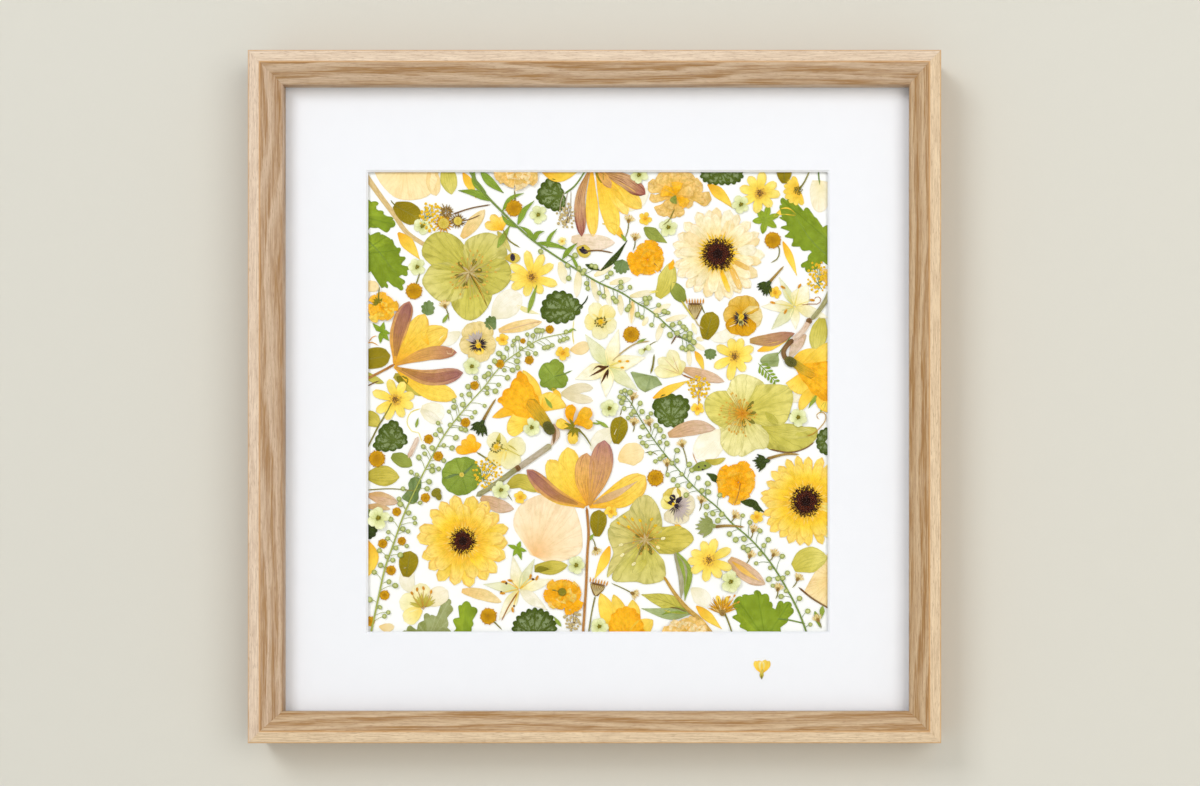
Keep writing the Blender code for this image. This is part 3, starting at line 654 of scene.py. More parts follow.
class Shape(Enum):
    """Petal outlines: claw width, where widest, how fast they widen, how blunt the tip is, and its power."""

    OVAL = (0.14, 0.52, 1.0, 2.0, 0.5)
    ROUND = (0.30, 0.58, 0.9, 2.3, 0.5)
    STRAP = (0.42, 0.50, 0.8, 5.0, 0.5)
    SPOON = (0.16, 0.68, 1.5, 2.6, 0.5)
    LANCE = (0.16, 0.40, 1.0, 1.35, 1.0)
    FAN = (0.16, 0.88, 1.1, 5.0, 0.5)
    BAND = (0.75, 0.50, 1.0, 9.0, 0.5)
    SEPAL = (0.34, 0.50, 0.9, 1.9, 0.72)
    CONE = (0.25, 0.98, 1.0, 8.0, 0.5)
    TULIP = (0.15, 0.66, 1.25, 2.3, 0.62)
    OAR = (0.26, 0.62, 1.1, 2.6, 0.5)

    def width(self, along: float) -> float:
        """The share of the full width at a share of the length."""
        claw, belly, rise, blunt, power = self.value
        if along < belly:
            return claw + (1 - claw) * math.sin(along / belly * math.pi / 2) ** rise
        return max(0.05, (1 - ((along - belly) / (1 - belly)) ** blunt) ** power)


class Dye(Enum):
    """Dried colours: at the claw, in the body, at the tip and of the streaks, and how far the veins show."""

    CREAM = ("f3e3ae", "f9efcd", "fbf3dc", "e2c07c", 0.25)
    CREAM_RAY = ("f3d06c", "f9e9b8", "fdf3d8", "ecbe70", 0.5)
    GOLD_RAY = ("f2ae24", "fbd24a", "fde486", "e29a20", 0.6)
    LEMON_RAY = ("f2b028", "fbd238", "fbe07a", "de961c", 0.5)
    YELLOW = ("f3b02a", "fbd34c", "fbdc66", "dfa022", 0.4)
    PALE_YELLOW = ("f0cf5e", "f6e48f", "f8ecb6", "d3bd55", 0.3)
    LEMON = ("e9d062", "f2e27a", "f5eaa0", "c9b84a", 0.35)
    DEEP_ORANGE = ("f49c0a", "fcb010", "fdbe28", "e88c06", 0.5)
    ORANGE = ("f6a814", "fcbc22", "fdca48", "e8940e", 0.5)
    PEACH_ORANGE = ("e6ae3c", "f2c468", "f8d892", "d49a30", 0.6)
    PEACH = ("f2d08c", "f8dfa8", "f9e4b4", "e6bc7c", 0.35)
    PEACH_WARM = ("f0c67c", "f5d998", "f7e0ac", "dca95e", 0.45)
    TAN = ("c7985c", "dbb583", "e3c49b", "a97744", 0.5)
    BROWN_MAUVE = ("c08a34", "b88058", "a26c64", "7c4650", 0.7)
    CRIMSON = ("c08838", "d8ac7c", "a86458", "681c26", 0.95)
    YELLOW_STREAKED = ("f2ae2c", "fbd04a", "fbdc6c", "e09a28", 0.6)
    KHAKI = ("bcb244", "cdc358", "d0c662", "948c34", 0.6)
    PALE_GREEN = ("cfc45c", "e8de94", "eee5a6", "b0a648", 0.55)
    LIME = ("b4a43a", "cdbc50", "d7c760", "908628", 0.6)
    FLORET_GREEN = ("c6cc80", "e6e8b0", "f0f2cc", "b4bc70", 0.35)
    SAGE = ("92a068", "a2ae78", "aab680", "788850", 0.5)
    LEAF = ("96a848", "99ab46", "8a9d3a", "6c842c", 0.6)
    BRIGHT_LEAF = ("96aa3c", "98ac30", "8ca02a", "647e1e", 0.6)
    OLIVE = ("847a1c", "8e8424", "8a8022", "625a10", 0.5)
    DARK_LEAF = ("46541f", "3e4c1c", "343f19", "2a3412", 0.5)
    SILVERED = ("5c6c2c", "546420", "465619", "96a478", 0.7)
    BROWN = ("6d4a26", "7d5a34", "8a6a42", "4d3217", 0.5)
    DARK_BROWN = ("3c2618", "4b3220", "5a4029", "22140c", 0.5)
    STRAW = ("c9b47a", "cdb987", "bca672", "9c8450", 0.5)
    GREY_STEM = ("a39c6c", "b3a98a", "b9ab95", "8c7f60", 0.5)
    GREEN_STEM = ("6e8438", "72883a", "7c9044", "506628", 0.5)
    OLIVE_STEM = ("7c7628", "867e30", "8e8840", "5e581a", 0.5)
    RUST_STEM = ("a8682a", "ad7332", "b98446", "7f4a18", 0.5)
    GOLD_STEM = ("b9892c", "c59a3c", "cda654", "93681a", 0.5)
    POD = ("c8cc90", "b0b66c", "84923e", "d4d8a0", 0.35)
    DISC = ("160603", "200905", "2c100a", "4a2010", 0.4)
    DISC_RIM = ("1a0804", "260d07", "3a160c", "a8783c", 0.3)
    RED_HEART = ("3c1008", "4e180c", "5e2410", "8a4824", 0.45)
    BUTTON = ("a87404", "c48e06", "d49e10", "7c5404", 0.6)
    ANTHER = ("e09a1a", "eaae26", "f0bc3a", "c8861a", 0.3)
    POLLEN = ("dca40c", "f0c41e", "f4d03c", "b07c08", 0.5)
    NECTARY = ("6f6a1c", "7d7526", "8e8536", "4a4410", 0.5)
    BLOTCH = ("2c2230", "3a2e38", "4d4048", "17101a", 0.5)
    SMUDGE = ("b9a7a0", "c3b4ae", "cfc3bb", "8f8080", 0.4)
    PAPER_PINK = ("d9b79b", "e2c8b0", "e6d1bd", "b98e70", 0.5)
    LILY = ("f1e08c", "faf3d6", "fbf6e4", "e6d69a", 0.35)
    LILY_GREEN = ("d5d68e", "e6e4bd", "eeecd2", "b9bd7c", 0.4)
    ANTHER_DARK = ("4a2a12", "5c3517", "6d4220", "2e180b", 0.5)
    ANTHER_RUST = ("c8801c", "d8962a", "e0a43c", "b87e1e", 0.3)
    DEEP_GOLD = ("c88c0c", "d99c10", "e2ac24", "a26a08", 0.6)
    KHAKI_YELLOW = ("c9ae3c", "d9c04e", "e2cc66", "a88c28", 0.5)
    BEIGE = ("d9c99c", "e6dab8", "ece2c8", "bfa878", 0.4)
    CREAM_LEMON = ("eddc80", "f3eab2", "f7f1cc", "d8c673", 0.3)
    PALE_KHAKI = ("c4b84c", "d2c866", "dad080", "9e963c", 0.6)
    KHAKI_GREEN = ("c0b050", "d3c570", "dccf84", "9c9644", 0.6)
    LIME_PALE = ("c9bb4c", "dacd64", "e3d77a", "a49c3c", 0.55)
    SAGE_GREY = ("a09a7c", "b0aa8c", "b8b298", "84805f", 0.5)
    GOLD_TO_MAUVE = ("e8a634", "dfa85c", "b88070", "a0623c", 0.6)
    TAN_TO_MAUVE = ("dc9e3a", "d9a468", "b98478", "8c5660", 0.6)
    STRIPED_TAN = ("e09a2c", "ecb458", "dca876", "9c5c34", 0.7)
    TUBE = ("a8952c", "dcae30", "efa820", "8a7a20", 0.7)
    DARK_OLIVE = ("4c4a1c", "5c5924", "6a6630", "33320f", 0.5)
    OLIVE_GREY = ("8f8a58", "9a9566", "a5a072", "726c3e", 0.5)
    BROAD_PEACH = ("eeb878", "f6dcb2", "f8e4c4", "e6bf8c", 0.45)
    SPRAY_LEAF = ("84a038", "8ea63c", "7c9430", "567224", 0.5)
    TAN_PINK = ("d3a878", "ddb997", "dfc3ac", "a97c5c", 0.65)
    ROSE_TAN = ("c8a05c", "c4966c", "b07c68", "8c5648", 0.65)
    OLIVE_PALE = ("8a9240", "959e46", "a0a850", "6a762a", 0.5)
    OLIVE_LEAF = ("8c7808", "92800e", "988618", "b09c40", 0.45)
    BUD_BROWN = ("7a5a2c", "9a7a3c", "b09048", "5c4020", 0.6)
    SPRAY_PALE = ("9ca44a", "a0a84c", "a8b058", "7e8834", 0.5)
    DRY_ANTHER = ("c8962e", "dcae48", "e8c05c", "b48428", 0.25)
    LEMON_YELLOW = ("f4c434", "fbe264", "fcea8a", "e2a828", 0.4)
    DRY_STEM = ("d6b878", "dcc088", "d9bd84", "b59458", 0.5)
    TRUMPET = ("f4a614", "fbbc2a", "fbb420", "e49212", 0.6)
    VIOLA_GOLD = ("d29a14", "e0b240", "e8c468", "ac760a", 0.55)
    VIOLA_CREAM = ("dcbc5c", "ecd490", "f0dca4", "c4a24a", 0.5)
    SAGE_LEAF = ("8c9a62", "a0ac76", "a6b27c", "748450", 0.5)
    OLIVE_SAGE = ("848c48", "949c58", "8e9652", "b4b888", 0.6)
    PINK_CREAM = ("e8cfae", "f0dcc4", "f2e0cc", "cba888", 0.5)
    BRIGHT_SPRIG = ("84a02a", "8ea630", "84a02a", "607e1a", 0.5)
    MAROON = ("1a0905", "240d07", "30120a", "120503", 0.3)
    TUFT = ("e4c878", "efdca0", "f6ebc4", "c8a050", 0.35)
    DUSK_SAGE = ("5f7440", "6b8048", "64783f", "8a9c68", 0.5)
    FAINT = ("eee5c6", "f6f0dc", "f9f4e6", "e2d3a8", 0.3)


class Curve:
    """A smooth line through given points, read by its share of length."""

    def __init__(self, points: Sequence[Point], steps: int = 8) -> None:
        """Samples a Catmull-Rom curve.

        Args:
            points: two or more points, in order.
            steps: samples from one point to the next.
        """
        known = [Vector(p) for p in points]
        known = [2 * known[0] - known[1], *known, 2 * known[-1] - known[-2]]
        self.spots: list[Vector] = [known[1]]
        for before, start, end, after in zip(known, known[1:], known[2:], known[3:]):
            for step in range(1, steps + 1):
                t = step / steps
                bend = (2 * before - 5 * start + 4 * end - after) * t * t
                twist = (3 * start - before - 3 * end + after) * t**3
                self.spots.append((2 * start + (end - before) * t + bend + twist) / 2)
        self.marks = [0.0]
        for start, end in zip(self.spots, self.spots[1:]):
            self.marks.append(self.marks[-1] + (end - start).length)
        self.length = self.marks[-1]

    def at(self, share: float) -> tuple[Vector, Vector]:
        """The point at a share of the length, and the direction there."""
        goal = min(max(share, 0.0), 1.0) * self.length
        index = 0
        while index < len(self.marks) - 2 and self.marks[index + 1] < goal:
            index += 1
        start, end = self.spots[index], self.spots[index + 1]
        span = self.marks[index + 1] - self.marks[index]
        ahead = (end - start).normalized() if span > 0 else Vector((0, 1))
        return start.lerp(end, (goal - self.marks[index]) / span if span > 0 else 0.0), ahead


def polar(centre: Point, radius: float, turn: float) -> Point:
    """A point at a radius and an angle in radians from a centre."""
    return centre[0] + radius * math.cos(turn), centre[1] + radius * math.sin(turn)


class Pressing:
    """One pressed piece: thin shapes laid on the sheet and joined in one mesh."""

    def __init__(self, name: str, slot: str, level: float = 0.1, step: float = 0.03,
                 replaces: Sequence[str] = (), ground: float | None = None) -> None:
        """Starts an empty piece.

        Args:
            name: the piece's name.
            slot: the record's material slot; not used.
            level: the lowest shape's lift, in millimetres.
            step: how much higher each following shape lies.
            replaces: the CAD nodes that it stands for.
            ground: a Y in metres that it lies on in place of the sheet's front.
        """
        self.name, self.slot_name, self.level, self.step = name, slot, level, step
        self.replaces = replaces
        self.shift = 0.0 if ground is None else ground - WINDOW.y
        self.work = bmesh.new()
        self.uv = self.work.loops.layers.uv.new("blade")
        self.dye_layer = self.work.verts.layers.float_color.new("dye")
        self.streak_layer = self.work.verts.layers.float_color.new("streak")
        self.vein_layer = self.work.verts.layers.float.new("veins")
        self.skins: list[Skin] = []
        self.random = random.Random(name)

    def next_lift(self, lift: float | None) -> float:
        """The lift asked for, or the next one up."""
        if lift is not None:
            return self.level + lift
        self.level += self.step
        return self.level

    def dress(self, verts: Sequence[bmesh.types.BMVert], shares: dict, dye: Dye, skin: Skin,
              along: int = 1) -> list:
        """Gives a shape its UVs, its dye and its finish.

        Args:
            verts: the shape's vertices.
            shares: each vertex's UV.
            dye: its colours.
            skin: its finish.
            along: which UV axis runs from claw to tip.

        Returns:
            The shape's faces.
        """
        claw, body, tip, streak = (linear(code) for code in dye.value[:4])
        tone = 1 + self.random.uniform(-0.05, 0.05)
        for vert in verts:
            share = min(1.0, shares[vert][along])
            colour = claw.lerp(body, share * 2) if share < 0.5 else body.lerp(tip, share * 2 - 1)
            vert[self.dye_layer] = (*(colour * tone), 1)
            vert[self.streak_layer] = (*(streak * tone), 1)
            vert[self.vein_layer] = dye.value[4]
        faces = list({face for vert in verts for face in vert.link_faces})
        if skin not in self.skins:
            self.skins.append(skin)
        for face in faces:
            face.material_index = self.skins.index(skin)
            face.smooth = True
            for loop in face.loops:
                loop[self.uv].uv = shares[loop.vert]
        return faces

    def thicken(self, faces: Sequence[bmesh.types.BMFace], thickness: float) -> None:
        """Makes an open sheet of faces a closed blade of that thickness in millimetres."""
        made = bmesh.ops.extrude_face_region(self.work, geom=list(faces), use_keep_orig=True)
        raised = [item for item in made["geom"] if isinstance(item, bmesh.types.BMVert)]
        bmesh.ops.translate(self.work, verts=raised, vec=(0, -thickness * MM, 0))

    def strip(self, spine: Sequence[Point], width: float, dye: Dye, shape: Shape = Shape.OVAL,
              skin: Skin = Skin.PETAL, lift: float | None = None, cup: float = 0.12, frill: float = 0.05,
              teeth: int = 0, notch: float = 0.0, steps: tuple[int, int] = (6, 11)) -> None:
        """Lays a petal or a narrow leaf along a spine.

        Args:
            spine: points from claw to tip.
            width: its full width.
            dye: its colours.
            shape: its outline.
            skin: its finish.
            lift: how high it lies, or None for on top of the last shape.
            cup: how far its edges curl off the sheet.
            frill: how uneven its edges are, as a share of the width.
            teeth: how many notches its tip has.
            notch: how deep they are, as a share of the length.
            steps: faces across and along.
        """
        curve = Curve(spine)
        lift = self.next_lift(lift)
        drift = self.random.uniform(0, 100)
        made = bmesh.ops.create_grid(self.work, x_segments=steps[0], y_segments=steps[1], size=1.0)
        shares = {}
        for vert in made["verts"]:
            across, along = vert.co.x, (vert.co.y + 1) / 2
            shares[vert] = ((across + 1) / 2, along)
            uneven = noise.noise(Vector((drift, along * 4.5, across * 0.8)))
            half = width / 2 * shape.width(along) * (1 + frill * 2 * uneven)
            cut = notch * along**7 * (0.5 - 0.5 * math.cos(math.pi * (across + 1) * teeth)) if teeth else 0.0
            middle, ahead = curve.at(along - cut)
            spot = middle + Vector((ahead.y, -ahead.x)) * across * half
            curl = cup * across * across + 0.05 * uneven
            vert.co = place(spot.x, spot.y, lift + max(0.0, curl))
        self.thicken(self.dress(made["verts"], shares, dye, skin), BLADE_THICKNESS)

    def fan(self, root: Point, outline: Sequence[Point], dye: Dye, skin: Skin, teeth: int = 0,
            depth: float = 0.0, ring: bool = False, cup: float = 0.1) -> None:
        """Lays a blade that spreads from a root to an outline.

        Args:
            root: where its veins start.
            outline: points round its edge, which the root can see.
            dye: its colours, from the root out.
            skin: its finish.
            teeth: how many rounded teeth run along the edge.
            depth: how deep they are, as a share of the reach.
            ring: True where the outline closes round the root.
            cup: how far its edge curls off the sheet.
        """
        closed = [*outline, outline[0]] if ring else list(outline)
        edge, middle = Curve(closed, EDGE_STEPS).spots, Vector(root)
        if teeth:
            edge = self.scallop(edge, middle, teeth, depth)
        lift = self.next_lift(None)
        count = len(edge) - 1
        veins = self.vein_marks([(p - middle).length for p in edge])
        made = bmesh.ops.create_grid(self.work, x_segments=count, y_segments=FAN_ROWS, size=1.0)
        shares = {}
        for vert in made["verts"]:
            turn, out = round((vert.co.x + 1) / 2 * count), (vert.co.y + 1) / 2
            spot = middle.lerp(edge[turn], out)
            across = veins[turn] if skin in (Skin.LOBED, Skin.PATCHED) else turn / count
            if teeth and skin in (Skin.LOBED, Skin.PATCHED):
                across = turn / (2 * TOOTH_STEPS) + 0.25
            shares[vert] = (across, out)
            vert.co = place(spot.x, spot.y, lift + cup * out * out)
        faces = self.dress(made["verts"], shares, dye, skin)
        bmesh.ops.remove_doubles(self.work, verts=made["verts"], dist=0.004 * MM)
        faces = [face for face in faces if face.is_valid]
        self.thicken(faces, BLADE_THICKNESS)

    @staticmethod
    def scallop(edge: Sequence[Vector], middle: Vector, teeth: int, depth: float) -> list[Vector]:
        """An edge with rounded teeth, cut square to it.

        Args:
            edge: points round the outline.
            middle: a point inside it.
            teeth: how many teeth it has.
            depth: how deep they are, as a share of the edge's mean distance from the middle.

        Returns:
            The points of the toothed edge.
        """
        path, total = Curve([tuple(p) for p in edge], 2), teeth * TOOTH_STEPS
        inward = math.copysign(1.0, sum((a - middle).cross(b - middle) for a, b in zip(edge, edge[1:])))
        bite = inward * depth * sum((p - middle).length for p in edge) / len(edge)
        points = []
        for step in range(total + 1):
            spot, along = path.at(step / total)
            notch = bite * (1 - abs(math.sin(math.pi * step / TOOTH_STEPS)))
            points.append(spot + Vector((-along.y, along.x)) * notch)
        return points

    @staticmethod
    def vein_marks(reaches: Sequence[float]) -> list[float]:
        """A number round an outline whose half numbers fall on the tips of its lobes."""
        marks, mark = [], 0.0
        for index, reach in enumerate(reaches):
            near = reaches[max(0, index - 3):index + 4]
            marks.append(mark)
            if reach >= max(near):
                marks[-1] = mark = math.floor(mark) + 0.5
            elif reach <= min(near):
                marks[-1] = mark = math.ceil(mark) if mark % 1 else mark
            else:
                mark += 0.02
        return marks

    def stem(self, points: Sequence[Point], width: float, dye: Dye, skin: Skin = Skin.STEM,
             lift: float | None = None, taper: float = 1.0, flat: float = 0.45, sides: int = 6,
             density: float = 0.35) -> None:
        """Lays a stem, filament or stalk as a closed, flattened tube.

        Args:
            points: its line from base to end.
            width: its width at the base.
            dye: its colours.
            skin: its finish.
            lift: how high it lies, or None for on top of the last shape.
            taper: its width at the end, as a share of that at the base.
            flat: its height as a share of its width.
            sides: faces round it.
            density: rings for each millimetre.
        """
        curve = Curve(points)
        lift = self.next_lift(lift)
        rings = max(4, min(60, round(curve.length * density)))
        made = bmesh.ops.create_grid(self.work, x_segments=sides, y_segments=rings, size=1.0)
        shares = {}
        for vert in made["verts"]:
            turn, along = (vert.co.x + 1) / 2, (vert.co.y + 1) / 2
            shares[vert] = (turn, along * curve.length / 12)
            end = 0.0 if along < 0.001 or along > 0.999 else 1.0
            radius = width / 2 * (1 + (taper - 1) * along) * end
            middle, ahead = curve.at(along)
            out = math.cos(turn * math.tau) * radius
            spot = middle + Vector((ahead.y, -ahead.x)) * out
            vert.co = place(spot.x, spot.y, lift + flat * radius * (1 + math.sin(turn * math.tau)))
        self.dress(made["verts"], shares, dye, skin)
        bmesh.ops.remove_doubles(self.work, verts=made["verts"], dist=0.002 * MM)

    def dome(self, centre: Point, radius: float, dye: Dye, skin: Skin = Skin.POD, lift: float | None = None,
             height: float = 0.45, stretch: float = 1.0, turn: float = 0.0, sides: int = 9,
             rings: int = 5) -> None:
        """Lays a flattened bead, pod or button.

        Args:
            centre: its middle.
            radius: half its width.
            dye: its colours, from the middle out.
            skin: its finish.
            lift: how high it lies, or None for on top of the last shape.
            height: its height as a share of its radius.
            stretch: its length as a share of its width.
            turn: the angle of its length, in radians.
            sides: faces round it.
            rings: faces from pole to pole.
        """
        lift = self.next_lift(lift)
        made = bmesh.ops.create_uvsphere(self.work, u_segments=sides, v_segments=rings, radius=1.0)
        shares = {}
        for vert in made["verts"]:
            reach = math.hypot(vert.co.x, vert.co.y)
            shares[vert] = (math.atan2(vert.co.y, vert.co.x) / math.tau + 0.5, min(1.0, reach))
            flat = Vector((vert.co.x * stretch, vert.co.y)) * radius
            spot = Matrix.Rotation(turn, 2) @ flat
            up = (1 + vert.co.z) * radius * height * 0.5
            vert.co = place(centre[0] + spot.x, centre[1] + spot.y, lift + up)
        self.dress(made["verts"], shares, dye, skin)

    def trim(self) -> None:
        """Cuts off what would run too far under the mount, and closes the cuts."""
        reach = (WINDOW_HALF + TUCK) * MM
        for axis in (Vector((1, 0, 0)), Vector((0, 0, 1))):
            for sign in (-1, 1):
                if max(sign * (vert.co - WINDOW).dot(axis) for vert in self.work.verts) <= reach:
                    continue
                every = [*self.work.verts, *self.work.edges, *self.work.faces]
                cut = bmesh.ops.bisect_plane(
                    self.work, geom=every, plane_co=WINDOW + axis * sign * reach, plane_no=axis * sign,
                    clear_outer=True
                )
                edges = [item for item in cut["geom_cut"] if isinstance(item, bmesh.types.BMEdge)]
                bmesh.ops.holes_fill(self.work, edges=edges, sides=0)

    def done(self) -> bpy.types.Object:
        """Turns the shapes into the finished piece.

        Returns:
            The piece, on its body.
        """
        if self.shift:
            bmesh.ops.translate(self.work, verts=self.work.verts, vec=(0, self.shift, 0))
        else:
            self.trim()
        bmesh.ops.recalc_face_normals(self.work, faces=self.work.faces)
        mesh = bpy.data.meshes.new(self.name)
        self.work.to_mesh(mesh)
        self.work.free()
        for skin in self.skins:
            mesh.materials.append(skin.value.material())
        mesh.set_sharp_from_angle(angle=SHARP_ANGLE)
        piece = bpy.data.objects.new(self.name, mesh)
        bpy.context.scene.collection.objects.link(piece)
        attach(piece, BODY)
        if self.replaces:
            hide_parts(*self.replaces)
        log.info("%s: %d faces", self.name, len(mesh.polygons))
        return piece


# ---------------------------------------------------------------- frame, boards and hardware


@dataclass(frozen=True)
class Rail:
    """One mitred oak rail, as a merged and eased copy of its CAD solid."""

    node: str
    upright: bool
    board: str  # tone of its board, and painted warm light that yellows the right and bottom rails
    offset: float  # how far along the plank it was cut, in metres
    outer: int  # which way the outer edge faces along its narrow axis
    ease: float = 0.00045
    close: float = 0.00019  # how far each end runs towards the next rail

    @staticmethod
    def on_mitre(edge: bmesh.types.BMEdge, axis: int) -> bool:
        """Whether an edge lies across the board, as the edges of its mitred ends do."""
        span = edge.verts[1].co - edge.verts[0].co
        return abs(span[axis]) < span.length * 0.98

    def build(self) -> bpy.types.Object:
        """Builds the rail with eased edges and its own grain coordinates."""
        low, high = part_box(self.node)
        work = bmesh.new()
        work.from_mesh(frame["nodes"][self.node].data)
        bmesh.ops.remove_doubles(work, verts=work.verts, dist=0.00001)
        bmesh.ops.dissolve_limit(work, angle_limit=math.radians(1), verts=work.verts, edges=work.edges)
        axis = 2 if self.upright else 0
        middle = (low + high)[axis] / 2
        for vert in work.verts:
            vert.co[axis] += math.copysign(self.close, vert.co[axis] - middle)
        edges = [edge for edge in work.edges if edge.calc_face_angle(0) > math.radians(12)
                 and not self.on_mitre(edge, axis)]
        bmesh.ops.bevel(work, geom=edges, offset=self.ease, affect="EDGES", segments=2, profile=0.5,
                        material=-1)
        grain = work.verts.layers.float_vector.new("grain")
        board = work.verts.layers.float_color.new("board")
        inward = work.verts.layers.float.new("inward")
        # the rail's tint, which holds painted warm light on the right and bottom rails
        tone = (*linear(self.board), 1)
        outer = high if self.outer > 0 else low
        edge = outer.x if self.upright else outer.z
        for vert in work.verts:
            along, across = (vert.co.z, vert.co.x) if self.upright else (vert.co.x, vert.co.z)
            vert[grain] = (along + self.offset, abs(across - edge) + self.offset * 0.13, vert.co.y - low.y)
            vert[inward] = abs(across - edge)
            vert[board] = tone
        mesh = bpy.data.meshes.new(f"oak_{self.node}")
        work.to_mesh(mesh)
        work.free()
        mesh.shade_smooth()
        mesh.set_sharp_from_angle(angle=math.radians(25))
        mesh.materials.append(OakFinish("look_oak", 0.5).material())
        piece = bpy.data.objects.new(f"oak_{self.node}", mesh)
        bpy.context.scene.collection.objects.link(piece)
        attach(piece, BODY)
        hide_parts(self.node)
        return piece


@dataclass(frozen=True)
class FrameBody:
    """The oak frame, the glass and boards in its rebate, and the hardware on its back."""

    rails: tuple[Rail, ...] = (
        # each rail's tint holds painted warm light: the right and bottom rails are yellower than the left and
        # top
        Rail("rail_left", True, "fbf3ee", 0.7, -1),
        Rail("rail_top", False, "fdf6f0", 2.1, 1),
        Rail("rail_right", True, "fbf0dd", 3.4, 1),
        Rail("rail_bottom", False, "faf0df", 5.2, -1),
    )
    hardware: tuple[tuple[str, Finish], ...] = (
        ("framers_point", MetalFinish("look_point_steel", 0.38)),
        ("hanger_screw", MetalFinish("look_screw_steel", 0.3, "c4c2ba", "9a988f")),
        ("hanger", MetalFinish("look_hanger_steel", 0.34)),
        ("bumper", RubberFinish("look_rubber", 0.8)),
    )
    boards: tuple[tuple[str, Finish], ...] = (
        ("glass", GlassFinish("look_glass", 0.0)),
        ("window_mount", BoardFinish("look_mount_board", 0.9, "edeef4", "e8e9ef", 1700.0, 0.35)),
        ("specimen_sheet", BoardFinish("look_specimen_sheet", 0.9, "fafaf8", "f3f3f1", 1500.0, 0.3)),
        ("back_board", BoardFinish("look_back_board", 0.82, "a98a62", "86683f", 600.0, 0.8, 0.00012)),
    )

    def build(self) -> None:
        """Builds the rails and dresses every other node in place."""
        for rail in self.rails:
            rail.build()
        for node, finish in self.boards:
            self.dress(node, finish)
        for node in frame["nodes"]:
            for start, finish in self.hardware:
                if node.startswith(start):
                    self.dress(node, finish)
                    break
        log.info("frame body: %d rails, boards and hardware", len(self.rails))

    @staticmethod
    def dress(node: str, finish: Finish) -> None:
        """Gives a CAD node its finish."""
        piece = frame["nodes"][node]
        for socket in piece.material_slots:
            socket.material = finish.material()


@dataclass(frozen=True)
class Lamp:
    """A soft square lamp, with its place measured from what it is aimed at."""

    name: str
    place: tuple[float, float, float]
    size: float
    power: float
    colour: tuple[float, float, float]

    def build(self, target: Vector) -> None:
        """Hangs the lamp and aims it at the target."""
        light = bpy.data.lights.new(self.name, "AREA")
        light.size = self.size
        light.energy = self.power
        light.color = self.colour
        lamp = bpy.data.objects.new(self.name, light)
        lamp.location = target + Vector(self.place)
        lamp.rotation_euler = (-Vector(self.place)).to_track_quat("-Z", "Y").to_euler()
        bpy.context.scene.collection.objects.link(lamp)


@dataclass(frozen=True)
class Studio:
    """The wall behind the frame, a pale floor, soft light from the upper left, and the camera."""

    distance: float = 1.5
    lens: float = 58.33  # and its sensor's width, both in millimetres
    sensor: float = 36.0
    aside: float = 0.0043  # of the frame's middle
    above: float = 0.0027
    standing: tuple[float, float] = (0.172, -0.158)  # where the lens is, from the frame's middle
    wall_size: float = 5.0
    floor_drop: float = 0.55
    daylight: float = 0.57
    sky: tuple[float, ...] = (0.95, 0.97, 1.0, 1)
    lamps: tuple[Lamp, ...] = (
        Lamp("key", (-2.1, -3.5, 2.35), 1.9, 78.0, (0.98, 0.99, 1.0)),
        Lamp("fill", (2.2, -3.4, 0.4), 2.3, 57.0, (1.0, 0.965, 0.9)),
        Lamp("back", (0.6, 2.4415, 1.0595), 1.6, 28.0, (1.0, 0.98, 0.95)),
    )

    def build(self) -> None:
        """Builds the stage, the lights and the camera."""
        low, high = CAD_BOX
        middle = (low + high) / 2
        self.sheet("wall", Vector((0, 0.0004, middle.z)), Matrix.Rotation(math.pi / 2, 3, "X"), "d3d1c8")
        floor = Vector((0, 0, low.z - self.floor_drop))
        self.sheet("floor", floor, Matrix.Identity(3), "dedcd6")
        front = Vector((middle.x, low.y, middle.z))
        for lamp in self.lamps:
            lamp.build(front)
        world = bpy.data.worlds.new("studio")
        world.use_nodes = True
        ground = world.node_tree.nodes["Background"]
        ground.inputs["Color"].default_value = self.sky
        ground.inputs["Strength"].default_value = self.daylight
        bpy.context.scene.world = world
        bpy.context.scene.view_settings.view_transform = "Standard"
        eye = bpy.data.cameras.new("camera")
        eye.lens = self.lens
        eye.sensor_width = self.sensor
        camera = bpy.data.objects.new("camera", eye)
        camera.location = front + Vector((self.standing[0], -self.distance, self.standing[1]))
        field = self.sensor / self.lens * self.distance
        eye.shift_x = (self.aside - self.standing[0]) / field
        eye.shift_y = (self.above - self.standing[1]) / field
        camera.rotation_euler = (math.pi / 2, 0, 0)
        bpy.context.scene.collection.objects.link(camera)
        bpy.context.scene.camera = camera

    def sheet(self, name: str, spot: Vector, turn: Matrix, colour: str) -> None:
        """Makes a wide plane of the stage, which lets the lamps behind it through."""
        work = bmesh.new()
        bmesh.ops.create_grid(work, x_segments=1, y_segments=1, size=self.wall_size)
        bmesh.ops.transform(work, matrix=Matrix.Translation(spot) @ turn.to_4x4(), verts=work.verts)
        mesh = bpy.data.meshes.new(name)
        work.to_mesh(mesh)
        work.free()
        mesh.materials.append(WallFinish(f"look_{name}", 0.9, colour).material())
        piece = bpy.data.objects.new(name, mesh)
        bpy.context.scene.collection.objects.link(piece)
        piece.visible_shadow = False


# ---------------------------------------------------------------- parts of a specimen


@dataclass(frozen=True)
class Part:
    """Something that a specimen is made of."""

    def lay(self, piece: Pressing) -> None:
        """Lays it on the piece."""
        raise NotImplementedError


